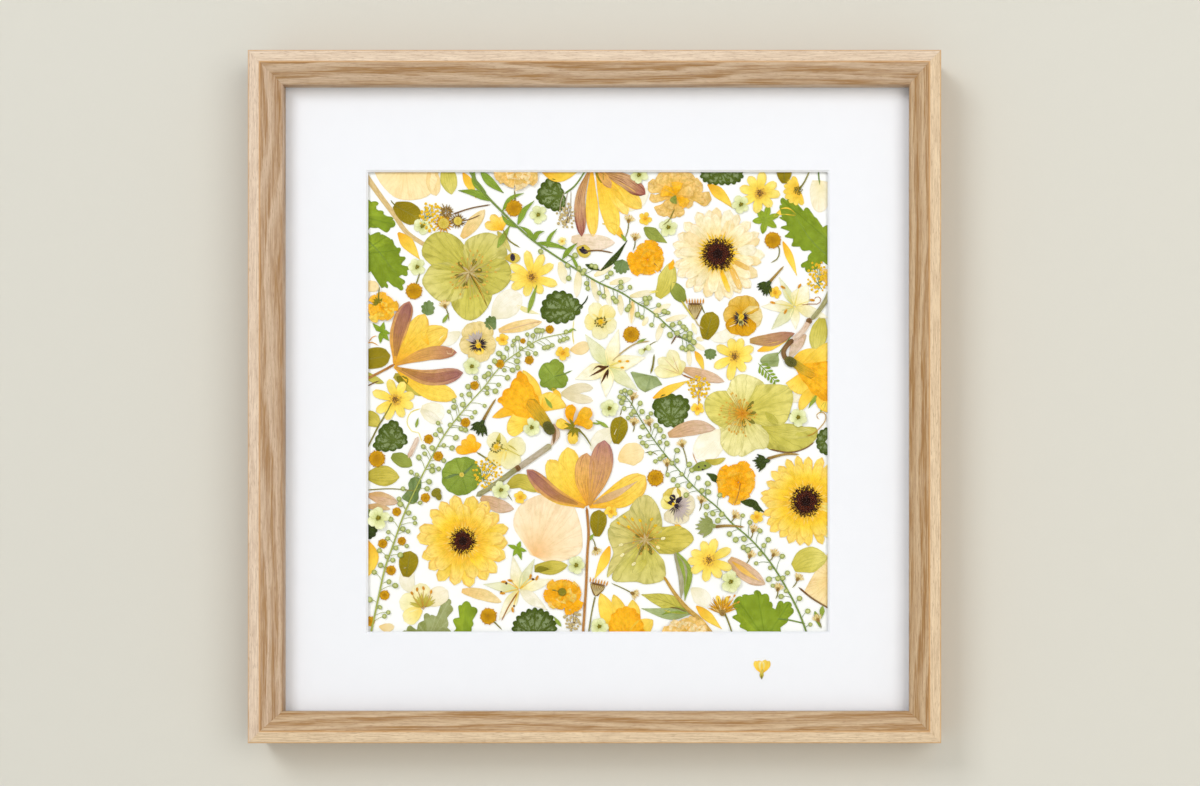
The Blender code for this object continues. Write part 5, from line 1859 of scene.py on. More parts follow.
def round_flowers() -> list[Specimen]:
    """The three pot marigolds, lilies, violas and the other flowers that lie open."""
    cream, gold, lemon = (94, 116), (-106, -109), (163, -78)
    orange_rays = (
        Petal(((103, 108), (112, 88)), 5, Dye.PEACH_ORANGE, Shape.STRAP, Skin.RAY),
        Petal(((105, 111), (119, 104)), 4, Dye.PEACH_ORANGE, Shape.STRAP, Skin.RAY),
        Petal(((96, 104), (103, 86)), 4, Dye.LEMON_RAY, Shape.STRAP, Skin.RAY),
    )
    return [
        calendula("calendula_cream_flower", "calendula_cream", cream, Dye.CREAM_RAY, (Dye.CREAM, Dye.PEACH),
                  13.0, Dye.RED_HEART, Dye.LEMON_RAY, "cream_petal", (24, 17), orange_rays),
        calendula("calendula_gold_flower_left", "calendula_gold_left", gold, Dye.GOLD_RAY, (Dye.LEMON_RAY,),
                  10.5, Dye.RED_HEART, Dye.GOLD_RAY, "yellow_petal", (18, 13)),
        calendula("calendula_gold_flower_right", "calendula_gold_right", lemon, Dye.LEMON_RAY,
                  (Dye.GOLD_RAY, Dye.PALE_YELLOW), 12.5, Dye.RED_HEART, Dye.GOLD_RAY, "yellow_petal",
                  (26, 18)),
        Specimen("star_lily_centre", "cream_petal", 0.5, (
            Stalk(((10, 31), (20, 40), (30, 46), (41, 48)), 1.3, Dye.STRAW),
            Star((8, 28), ((37, 35), (31, 9), (6, 4), (-18, 18), (-10, 53), (16, 57)), 11, Dye.LILY,
                 others=((4, Dye.LILY_GREEN), (1, Dye.LILY_GREEN)), widths=((3, 13.0), (0, 12.0))),
            Stamens((8, 28), ((17, 32), (23, 32), (19, 27)), 0.7, Dye.LEMON, Dye.ANTHER, 1.0),
            Petal(((8, 28), (1, 27)), 1.6, Dye.BROWN, Shape.BAND),
            Petal(((8, 28), (-7, 20)), 2.0, Dye.ANTHER_DARK, Shape.LANCE),
            Petal(((7, 27), (0, 28), (-4, 25)), 1.6, Dye.ANTHER_DARK, Shape.LANCE),
            Petal(((8, 26), (2, 14)), 2.0, Dye.ANTHER_DARK, Shape.LANCE),
            Petal(((8, 26), (7, 18)), 1.4, Dye.DARK_BROWN, Shape.LANCE),
        ), "lily_centre"),
        Specimen("star_lily_right", "cream_petal", 0.3, (
            Star((154, 75), ((181, 66), (155, 57), (136, 57), (128, 75), (142, 98), (165, 92)), 9.5, Dye.LILY,
                 others=((2, Dye.LILY_GREEN), (4, Dye.LILY_GREEN)), widths=((5, 15.0), (4, 6.5), (1, 8.0))),
            Stamens((154, 75), ((145, 90), (158, 91), (168, 80), (137, 78), (147, 71)), 0.8, Dye.LEMON,
                    Dye.ANTHER_RUST, 1.1, 2.2),
            Stalk(((158, 76), (166, 77), (172, 77), (175, 80), (172, 83), (169, 80)), 0.7, Dye.RUST_STEM),
        ), "lily_right"),
        Specimen("star_lily_bottom", "cream_petal", 0.3, (
            Star((-62, -147), ((-35, -139), (-40, -163), (-78, -171), (-90, -143), (-67, -121),
                 (-50, -123)), 9.5, Dye.LILY, others=((3, Dye.LILY_GREEN), (5, Dye.LILY_GREEN),
                 (1, Dye.FAINT)), widths=((5, 7.5), (3, 8.0))),
            Stamens((-62, -147), ((-74, -141), (-69, -140), (-75, -150), (-67, -163), (-48, -138),
                    (-53, -137)), 0.8, Dye.YELLOW, Dye.ANTHER_RUST, 1.1, 2.2),
            Stalk(((-63, -149), (-70, -160), (-76, -172)), 1.1, Dye.RUST_STEM),
            Beads(((-72, -142), (-76, -149), (-66, -160), (-51, -139)), 1.0, Dye.ANTHER_DARK),
        ), "lily_bottom"),
        Specimen("viola_flower_left", "yellow_petal", 0.3, (
            Petal(((-94, 48), (-103, 61)), 17, Dye.VIOLA_CREAM, Shape.ROUND),
            Petal(((-95, 48), (-87, 62)), 17, Dye.VIOLA_CREAM, Shape.ROUND),
            Petal(((-94, 45), (-109, 45)), 15, Dye.VIOLA_CREAM, Shape.ROUND),
            Petal(((-95, 45), (-80, 45)), 16, Dye.VIOLA_CREAM, Shape.ROUND),
            Petal(((-94, 46), (-93, 31)), 18, Dye.VIOLA_CREAM, Shape.ROUND),
            Spikes((-95, 47), 9, 2, 9, 2.2, Dye.SMUDGE, 55, 110),
            Petal(((-93, 46), (-94, 37)), 8, Dye.LEMON_RAY, Shape.ROUND),
            Spikes((-94, 45), 9, 2, 7.5, 1.0, Dye.BLOTCH, 130, 110),
            Spikes((-94, 45), 9, 2, 7.5, 1.0, Dye.BLOTCH, -40, 110),
            Spikes((-94, 45), 6, 2, 6, 0.7, Dye.BLOTCH, 250, 50),
            Bead((-94, 44), 2.0, Dye.POLLEN, height=0.3),
        ), "viola_left"),
        Specimen("viola_flower_right", "yellow_petal", 0.3, (
            Petal(((113, 70), (109, 83)), 18, Dye.VIOLA_GOLD, Shape.ROUND, frill=0.08),
            Petal(((114, 70), (122, 82)), 16, Dye.VIOLA_GOLD, Shape.ROUND, frill=0.08),
            Petal(((113, 68), (129, 67)), 18, Dye.VIOLA_CREAM, Shape.ROUND, frill=0.08),
            Petal(((113, 68), (98, 69)), 15, Dye.VIOLA_GOLD, Shape.ROUND, frill=0.08),
            Petal(((112, 67), (104, 54)), 15, Dye.DEEP_GOLD, Shape.ROUND, frill=0.08),
            Petal(((113, 67), (118, 52)), 16, Dye.DEEP_GOLD, Shape.ROUND, frill=0.08),
            Spikes((112, 66), 22, 2, 7.5, 0.9, Dye.BLOTCH, 130, 280),
            Petal(((112, 66), (108, 66)), 4.5, Dye.LEMON, Shape.ROUND),
            Petal(((112, 65), (112, 60)), 4.5, Dye.LEMON, Shape.ROUND),
            Bead((112.5, 67), 2.2, Dye.POLLEN, height=0.3),
        ), "viola_right"),
        Specimen("viola_flower_bottom", "yellow_petal", 0.4, (
            Petal(((62, -80), (55, -68)), 15, Dye.KHAKI_YELLOW, Shape.ROUND),
            Petal(((62, -80), (67, -67)), 14, Dye.CREAM, Shape.ROUND),
            Petal(((62, -80), (49, -78)), 11, Dye.LEMON, Shape.ROUND),
            Petal(((62, -80), (76, -82)), 16, Dye.BEIGE, Shape.ROUND),
            Petal(((62, -82), (61, -96)), 20, Dye.BEIGE, Shape.ROUND),
            Spikes((62, -82), 11, 2, 12, 2.4, Dye.SMUDGE, -100, 150),
            Spikes((61, -81), 12, 2, 8, 0.9, Dye.BLOTCH, -140, 190),
            Petal(((60, -77), (57, -73)), 5, Dye.BLOTCH, Shape.ROUND),
            Petal(((60, -79), (54, -79)), 4, Dye.BLOTCH, Shape.LANCE),
            Petal(((61, -79), (66, -74)), 4, Dye.BLOTCH, Shape.LANCE),
            Bead((61.5, -81.5), 2.0, Dye.BLOTCH, height=0.3),
            Bead((59, -80), 1.3, Dye.POLLEN, height=0.3),
        ), "viola_bottom"),
        Specimen("pale_buttercup", "cream_petal", 0.25, (
            Petal(((2, 63), (-11, 63)), 13, Dye.PALE_YELLOW, Shape.ROUND, Skin.FINE_PETAL),
            Petal(((2, 63), (-4, 78)), 12, Dye.CREAM_LEMON, Shape.ROUND, Skin.FINE_PETAL),
            Petal(((2, 63), (11, 75)), 13, Dye.PALE_YELLOW, Shape.ROUND, Skin.FINE_PETAL),
            Petal(((2, 63), (14, 58)), 13, Dye.CREAM_LEMON, Shape.ROUND, Skin.FINE_PETAL),
            Petal(((2, 63), (1, 49)), 13, Dye.CREAM_LEMON, Shape.ROUND, Skin.FINE_PETAL),
            Bead((2, 63), 2.2, Dye.POLLEN, height=0.5),
            Tuft((2, 63), 22, 4.6, size=0.55, anther=Dye.NECTARY),
        ), "buttercup_pale"),
        Specimen("pale_anemone", "cream_petal", 0.35, (
            Petal(((-74, -33), (-60, -42)), 4, Dye.LIME, Shape.LANCE),
            Petal(((-72, -37), (-57, -33)), 15, Dye.CREAM_LEMON, Shape.ROUND, Skin.FINE_PETAL),
            Petal(((-72, -37), (-86, -26)), 14, Dye.CREAM_LEMON, Shape.ROUND, Skin.FINE_PETAL),
            Petal(((-73, -38), (-85, -47)), 14, Dye.PALE_YELLOW, Shape.ROUND, Skin.FINE_PETAL),
            Petal(((-72, -38), (-66, -52)), 16, Dye.CREAM_LEMON, Shape.ROUND, Skin.FINE_PETAL),
            Petal(((-79, -33), (-77, -24)), 3.5, Dye.LIME, Shape.LANCE),
            Stalk(((-79, -35), (-70, -38), (-60, -43)), 0.8, Dye.LIME),
            Bead((-80, -35), 2.0, Dye.POLLEN),
            Tuft((-80, -35), 18, 5.0, anther=Dye.NECTARY, size=0.55),
        ), "anemone_pale"),
        Specimen("orange_begonia", "orange_petal", 0.4, (
            *(Petal(((61, 162), tip), width, Dye.PEACH_ORANGE, Shape.FAN, Skin.PAPERY, 0.26, 3, 0.3)
              for tip, width in (((39, 172), 11), ((40, 159), 7), ((47, 147), 10), ((57, 144), 7),
              ((64, 145), 8), ((74, 154), 7), ((89, 159), 10), ((82, 171), 10), ((74, 179), 12), ((61, 182),
              13), ((48, 180), 12))),
            *(Petal(((61, 162), tip), width, dye, Shape.FAN, Skin.PAPERY, 0.3, 3, 0.3)
              for tip, width, dye in (((50, 167), 9, Dye.ORANGE), ((54, 152), 9, Dye.PEACH_ORANGE),
                                      ((70, 154), 9, Dye.ORANGE), ((75, 166), 9, Dye.PEACH_ORANGE),
                                      ((62, 173), 8, Dye.ORANGE), ((58, 156), 6, Dye.OLIVE_PALE))),
            Stalk(((60, 152), (56, 143), (50, 138)), 0.9, Dye.OLIVE_STEM),
        ), "begonia_orange"),
    ]


def hellebores() -> list[Specimen]:
    """The three hellebores, with their nectaries, stamens, stems and leaves."""
    green, pale, stemmed = (-101, 102), (113, -9), (37, -108)
    return [
        Specimen("hellebore_flower_green", "green_petal", 0.25, (
            Stalk(((-184, 180), (-172, 163), (-160, 147), (-150, 133), (-134, 122)), 4.6, Dye.DRY_STEM, 0.7,
                  0.05),
            Petal(((-101, 103), (-100, 64)), 28, Dye.KHAKI, Shape.SEPAL, Skin.SEPAL),
            Blade(green, ((-82, 92), (-84, 80), (-90, 70), (-98, 64.5), (-107, 66), (-115, 76), (-115, 88)),
                  Dye.KHAKI, Skin.SEPAL),
            Blade(green, ((-106, 82), (-118, 78), (-128, 81), (-138, 93), (-135, 102), (-130, 108),
                  (-118, 110)), Dye.PALE_KHAKI, Skin.SEPAL),
            Blade(green, ((-127, 104), (-138, 115), (-136, 126), (-128, 133), (-118, 133), (-108, 127),
                  (-101, 116)), Dye.KHAKI, Skin.SEPAL),
            Blade(green, ((-106, 117), (-104, 126), (-96, 131), (-86, 133), (-76, 128), (-71, 114),
                  (-78, 103)), Dye.PALE_KHAKI, Skin.SEPAL),
            Blade(green, ((-80, 113), (-71, 110), (-68, 98), (-75, 88), (-86, 84), (-96, 90)),
                  Dye.KHAKI, Skin.SEPAL),
            Tuft(green, 26, 21, 200, 260, 0.4, Dye.STRAW, Dye.DRY_ANTHER, 0.7),
            Tuft((-102, 101), 20, 15, width=0.5, filament=Dye.GOLD_STEM, anther=Dye.DRY_ANTHER, size=0.75),
            *(Petal((root, tip), 3.4, Dye.NECTARY, Shape.SPOON) for root, tip in (
                ((-105, 104), (-110, 110)), ((-106, 100), (-113, 98)), ((-99, 106), (-96, 112)),
                ((-97, 98), (-90, 94)), ((-103, 96), (-105, 89)), ((-97, 102), (-91, 104)))),
            *(Petal((green, tip), 1.6, Dye.STRAW, Shape.LANCE) for tip in (
                (-107, 107), (-95, 108), (-94, 97), (-104, 93), (-110, 100))),
            Petal(((-101, 101), (-93, 88), (-86, 73)), 1.5, Dye.NECTARY, Shape.LANCE),
            Petal(((-99, 100), (-92, 87), (-88, 76)), 1.2, Dye.DRY_ANTHER, Shape.LANCE),
        ), "hellebore_green"),
        Specimen("hellebore_flower_pale", "green_petal", 0.3, (
            Blade((128, -18), ((134, -12), (146, -17), (158, -20), (171, -20), (171, -29), (160, -37),
                  (148, -39), (134, -37), (126, -29)), Dye.KHAKI, Skin.SEPAL),
            Petal(((130, -20), (150, -23), (171, -25)), 12, Dye.PALE_KHAKI, Shape.SEPAL, Skin.SEPAL),
            Stalk(((134, -37), (150, -39.5), (162, -36.5), (170, -31)), 1.2, Dye.BROWN),
            Blade(pale, ((94, 1), (93, 6), (101, 9), (105, 18), (113, 22), (124, 19), (131, 13), (129, -1)),
                  Dye.PALE_GREEN, Skin.SEPAL),
            Blade(pale, ((108, -25), (108, -38), (113, -43), (124, -37), (132, -36), (134, -26), (126, -17)),
                  Dye.PALE_GREEN, Skin.SEPAL),
            Blade(pale, ((90, -14), (96, -22), (96, -33), (102, -41), (109, -42), (114, -35), (114, -24)),
                  Dye.PALE_GREEN, Skin.SEPAL),
            Blade(pale, ((124, 13), (131, 14), (148, 13), (153, 5), (151, -6), (146, -17), (132, -19),
                  (124, -17)), Dye.LIME_PALE, Skin.SEPAL),
            Blade(pale, ((100, 9), (91, 8), (84, 2), (84, -7), (89, -15), (99, -21)), Dye.LIME_PALE,
                  Skin.SEPAL),
            Petal(((131, -8), (141, -18)), 6, Dye.KHAKI, Shape.OVAL, Skin.SEPAL),
            Tuft(pale, 30, 18, 95, 190, 0.4, Dye.GOLD_STEM, Dye.DRY_ANTHER, 0.7),
            Tuft(pale, 26, 11, width=0.5, filament=Dye.ANTHER, anther=Dye.DRY_ANTHER, size=0.8),
            Petal(((116, -8), (122, 1)), 3, Dye.NECTARY),
            Petal(((117, -10), (124, -8)), 3, Dye.NECTARY),
            Petal(((116, -12), (123, -17)), 3, Dye.NECTARY),
            Petal(((114, -13), (115, -20)), 3, Dye.NECTARY),
            Spikes(pale, 8, 0, 7, 1.7, Dye.ANTHER_RUST),
            Stalk(((163, -27), (170, -24), (178, -15), (178, -9), (174, -8), (171, -11), (174, -14)), 0.8,
                  Dye.GOLD_STEM),
        ), "hellebore_pale"),
        Specimen("hellebore_flower_stemmed", "green_petal", 0.3, (
            Stalk(((51, -136), (60, -150), (70, -162), (80, -171), (90, -184)), 2.0, Dye.GOLD_STEM, 2.3),
            Petal(((70, -165), (54, -157), (34, -151)), 14, Dye.KHAKI, Shape.LANCE, Skin.LEAF),
            Petal(((72, -166), (54, -166), (34, -162)), 9, Dye.SAGE, Shape.LANCE, Skin.LEAF),
            Petal(((71, -165), (60, -163), (50, -167)), 5, Dye.LEAF, Shape.LANCE, Skin.LEAF),
            Stalk(((56, -161), (63, -162), (70, -165)), 0.9, Dye.BROWN),
            Blade(stemmed, ((26, -120), (16, -128), (7, -138), (9, -126), (12, -118), (8, -107), (9, -98),
                  (22, -98)), Dye.KHAKI_GREEN, Skin.SEPAL),
            Blade(stemmed, ((48, -120), (52, -126), (52, -139), (38, -143), (30, -141), (14, -141),
                  (11, -136), (17, -125), (26, -116)), Dye.PALE_KHAKI, Skin.SEPAL),
            Blade(stemmed, ((14, -106), (9, -97), (15, -91), (24, -85), (31, -82), (38, -92)),
                  Dye.KHAKI_GREEN, Skin.SEPAL),
            Blade(stemmed, ((24, -90), (25, -83), (31, -75), (39, -73), (46, -80), (50, -92), (50, -102)),
                  Dye.KHAKI_GREEN, Skin.SEPAL),
            Blade(stemmed, ((44, -95), (50, -98), (62, -97), (71, -101), (75, -108), (68, -115), (60, -119),
                  (48, -119)), Dye.LIME, Skin.SEPAL),
            Petal(((38, -124), (27, -134)), 8, Dye.PALE_KHAKI, Shape.OVAL, Skin.SEPAL),
            Petal(((60, -118), (66, -133), (65, -155)), 8, Dye.SAGE_GREY, Shape.LANCE, Skin.LEAF),
            Petal(((62, -118), (70, -135), (68, -156)), 8, Dye.LEAF, Shape.LANCE, Skin.LEAF),
            Stamens(stemmed, ((16, -95), (21, -90), (27, -92), (42, -92), (45, -97), (24, -98), (33, -93)),
                    0.55, Dye.ANTHER_RUST, Dye.POLLEN, 1.1),
            Petal(((36, -106), (29, -104)), 3, Dye.NECTARY),
            Petal(((38, -108), (44, -107)), 3, Dye.NECTARY),
            Petal(((36, -111), (32, -120)), 3, Dye.NECTARY),
            Petal(((39, -111), (42, -120)), 3, Dye.NECTARY),
            Stamens(stemmed, ((18, -112), (19, -120), (28, -127), (51, -107), (47, -114)), 0.5, Dye.STRAW,
                    Dye.CREAM_LEMON, 1.2),
            Tuft(stemmed, 20, 12, width=0.4, filament=Dye.GOLD_STEM, anther=Dye.DRY_ANTHER, size=0.75),
            Spikes(stemmed, 7, 0, 6, 1.6, Dye.STRAW),
        ), "hellebore_stemmed"),
    ]


def tulips() -> list[Specimen]:
    """The three tulips, seen from the side, each petal from the flower's base to its tip."""
    return [
        Specimen("tulip_flower_left", "yellow_petal", 0.35, (
            Stalk(((-159, 30), (-170, 24), (-184, 17)), 1.9, Dye.RUST_STEM, 1.0),
            Petal(((-160, 30), (-147, 47), (-136, 69)), 16, Dye.YELLOW_STREAKED, Shape.TULIP, Skin.RAY),
            Petal(((-160, 29), (-138, 46), (-118, 57)), 19, Dye.YELLOW_STREAKED, Shape.TULIP, Skin.RAY),
            Petal(((-160, 28), (-135, 11), (-111, 4)), 15, Dye.YELLOW, Shape.TULIP, Skin.RAY),
            Petal(((-160, 31), (-157, 55), (-148, 79)), 14, Dye.GOLD_TO_MAUVE, Shape.TULIP, Skin.RAY),
            Petal(((-159, 36), (-156, 56), (-148.5, 77.5)), 9.5, Dye.BROWN_MAUVE, Shape.OAR, Skin.RAY),
            Petal(((-159, 29), (-134, 38), (-111, 39)), 11, Dye.GOLD_TO_MAUVE, Shape.TULIP, Skin.RAY),
            Petal(((-159, 27), (-133, 19), (-106, 23)), 13, Dye.TAN_TO_MAUVE, Shape.TULIP, Skin.RAY),
            Petal(((-154, 26), (-132, 19), (-107.5, 22.5)), 7.5, Dye.BROWN_MAUVE, Shape.OAR, Skin.RAY),
            Stalk(((-118, 42), (-114, 42), (-114, 38), (-118, 38), (-119, 41)), 0.9, Dye.TAN),
        ), "tulip_left"),
        Specimen("tulip_flower_bottom", "yellow_petal", 0.5, (
            Stalk(((-9, -82), (-7.5, -103), (-8.5, -120), (-9.5, -145), (-12, -184)), 2.0, Dye.RUST_STEM,
                  1.0),
            Petal(((-11, -83), (-33, -76), (-50, -64)), 7, Dye.YELLOW, Shape.TULIP, Skin.RAY),
            Petal(((-9, -81), (-28, -65), (-39, -45)), 17, Dye.YELLOW, Shape.TULIP, Skin.RAY, 0.1, 3, 0.08),
            Petal(((-8, -81), (-20, -60), (-24, -35.5)), 18, Dye.YELLOW, Shape.TULIP, Skin.RAY),
            Petal(((-7, -82), (18, -73), (37, -58)), 21, Dye.YELLOW_STREAKED, Shape.TULIP, Skin.RAY),
            Petal(((-4, -80), (16, -71), (31, -62)), 6, Dye.TAN, Shape.LANCE, Skin.RAY),
            Petal(((-10, -82), (-35, -72), (-56, -53)), 12, Dye.GOLD_TO_MAUVE, Shape.TULIP, Skin.RAY),
            Petal(((-16, -80), (-35, -72), (-55, -54)), 7.5, Dye.BROWN_MAUVE, Shape.OAR, Skin.RAY),
            Petal(((-8, -81), (-11, -60), (-9, -40)), 15, Dye.STRIPED_TAN, Shape.TULIP, Skin.RAY),
            Petal(((-7, -81), (1, -57), (5, -30)), 18, Dye.TAN_TO_MAUVE, Shape.TULIP, Skin.RAY),
        ), "tulip_bottom"),
        Specimen("tulip_flower_top", "yellow_petal", 0.45, (
            Petal(((-5, 184), (-5, 155), (-4, 130)), 10, Dye.YELLOW_STREAKED, Shape.TULIP, Skin.RAY),
            Petal(((-2, 184), (7, 158), (13, 131)), 14, Dye.YELLOW, Shape.TULIP, Skin.RAY),
            Petal(((0, 182), (13, 164), (23, 147)), 11, Dye.GOLD_RAY, Shape.TULIP, Skin.RAY),
            Petal(((3, 178), (20, 164), (34, 152)), 13, Dye.YELLOW_STREAKED, Shape.TULIP, Skin.RAY),
            Petal(((-6, 184), (-14, 160), (-13, 130)), 9, Dye.CRIMSON, Shape.TULIP, Skin.RAY),
            Petal(((2, 181), (20, 174), (37, 163)), 12, Dye.CRIMSON, Shape.TULIP, Skin.RAY),
            Petal(((-2, 186), (4, 177), (10, 168)), 7, Dye.STRIPED_TAN, Shape.TULIP, Skin.RAY),
        ), "tulip_top"),
    ]


def daffodils() -> list[Specimen]:
    """The three daffodils: trumpet, petals, ovary, spathe and bent stem."""
    return [
        Specimen("daffodil_flower_centre", "orange_petal", 0.35, (
            Stalk(((-36, -33), (-50, -43), (-63, -52)), 4.8, Dye.GREY_STEM, 1.0, 0.3),
            Stalk(((-62, -51), (-80, -64), (-96, -74)), 4.4, Dye.OLIVE_GREY, 0.9, 0.3),
            Bead((-63, -52), 2.6, Dye.BROWN, height=0.5, stretch=1.2, turn=40),
            Petal(((-45, -6), (-51, 10), (-59, 25)), 11, Dye.YELLOW, Shape.SEPAL),
            Blade((-45, -8), ((-49, 2), (-46, 5), (-38, 8), (-30, 4), (-25, -4), (-35, -5)), Dye.YELLOW),
            Petal(((-50, -10), (-66, -6), (-83, -12)), 9, Dye.ORANGE, Shape.SEPAL),
            Blade((-46, -12), ((-66, -8), (-71, -16), (-71, -24), (-65, -27), (-58, -21), (-54, -14)),
                  Dye.YELLOW),
            Blade((-42, -15), ((-62, -13), (-71, -6), (-79, 0), (-75, 8), (-69, 14), (-65, 21), (-60, 25),
                  (-54, 17), (-49, 8), (-45, 0)), Dye.TRUMPET, Skin.PAPERY, teeth=9, depth=0.05),
            Petal(((-38, -21), (-46, -10), (-55, 2)), 10, Dye.TUBE, Shape.BAND, Skin.RAY),
            Bead((-38.5, -20.5), 4.6, Dye.DARK_OLIVE, height=0.4, stretch=1.35, turn=125),
            Petal(((-35, -17), (-33, -26), (-38, -36)), 6, Dye.PAPER_PINK, Shape.LANCE, Skin.PAPERY),
            Stalk(((-38, -17), (-34, -22), (-35, -33)), 2.2, Dye.BROWN),
        ), "daffodil_centre"),
        Specimen("daffodil_flower_right", "orange_petal", 0.5, (
            Stalk(((184, 92), (177, 77), (167, 64)), 3.6, Dye.OLIVE_GREY, 1.0, 0.35),
            Stalk(((166, 64), (160, 55), (152, 48)), 4.2, Dye.PAPER_PINK, 1.0, 0.35),
            Bead((165.5, 63.5), 2.6, Dye.BROWN, height=0.5),
            Petal(((163, 53), (156, 45), (149, 33)), 9, Dye.PAPER_PINK, Shape.LANCE, Skin.PAPERY),
            Stalk(((154, 50), (147, 43), (145.5, 37), (150, 31)), 3.8, Dye.BROWN, 1.0, 0.35),
            Petal(((152, 30), (162, 36), (172, 41)), 10, Dye.YELLOW, Shape.SEPAL),
            Petal(((158, 24), (172, 34), (182, 47)), 13, Dye.YELLOW, Shape.SEPAL),
            Blade((160, 24), ((147, 15), (152, 9), (159, 6), (166, 9), (170, 18)), Dye.YELLOW),
            Petal(((172, 12), (163, 3), (158, -7)), 9, Dye.YELLOW, Shape.SEPAL),
            Petal(((178, 10), (176, 0), (184, -8)), 10, Dye.YELLOW, Shape.SEPAL),
            Blade((153, 29), ((160, 30), (171, 30), (186, 31), (186, 3), (177, 1), (170, 5), (163, 13),
                  (157, 22)), Dye.TRUMPET, Skin.PAPERY, teeth=8, depth=0.05),
            Petal(((152, 32), (160, 26), (170, 20)), 7, Dye.TUBE, Shape.BAND, Skin.RAY),
            Bead((151, 31.5), 4.2, Dye.DARK_OLIVE, height=0.4, stretch=1.3, turn=-30),
        ), "daffodil_right"),
        Specimen("daffodil_flower_bottom", "orange_petal", 0.4, (
            Petal(((22, -184), (10, -170), (2, -150)), 14, Dye.YELLOW, Shape.SEPAL),
            Petal(((22, -184), (18, -168), (12, -151)), 12, Dye.YELLOW, Shape.SEPAL),
            Petal(((22, -184), (27, -168), (27, -155)), 13, Dye.YELLOW, Shape.SEPAL),
            Petal(((24, -186), (34, -178), (43, -171)), 14, Dye.YELLOW, Shape.SEPAL),
            Blade((22, -192), ((8, -184), (9, -170), (14, -163), (22, -160), (30, -163), (35, -172),
                  (38, -184)), Dye.TRUMPET, Skin.PAPERY, teeth=9, depth=0.05),
        ), "daffodil_bottom"),
    ]


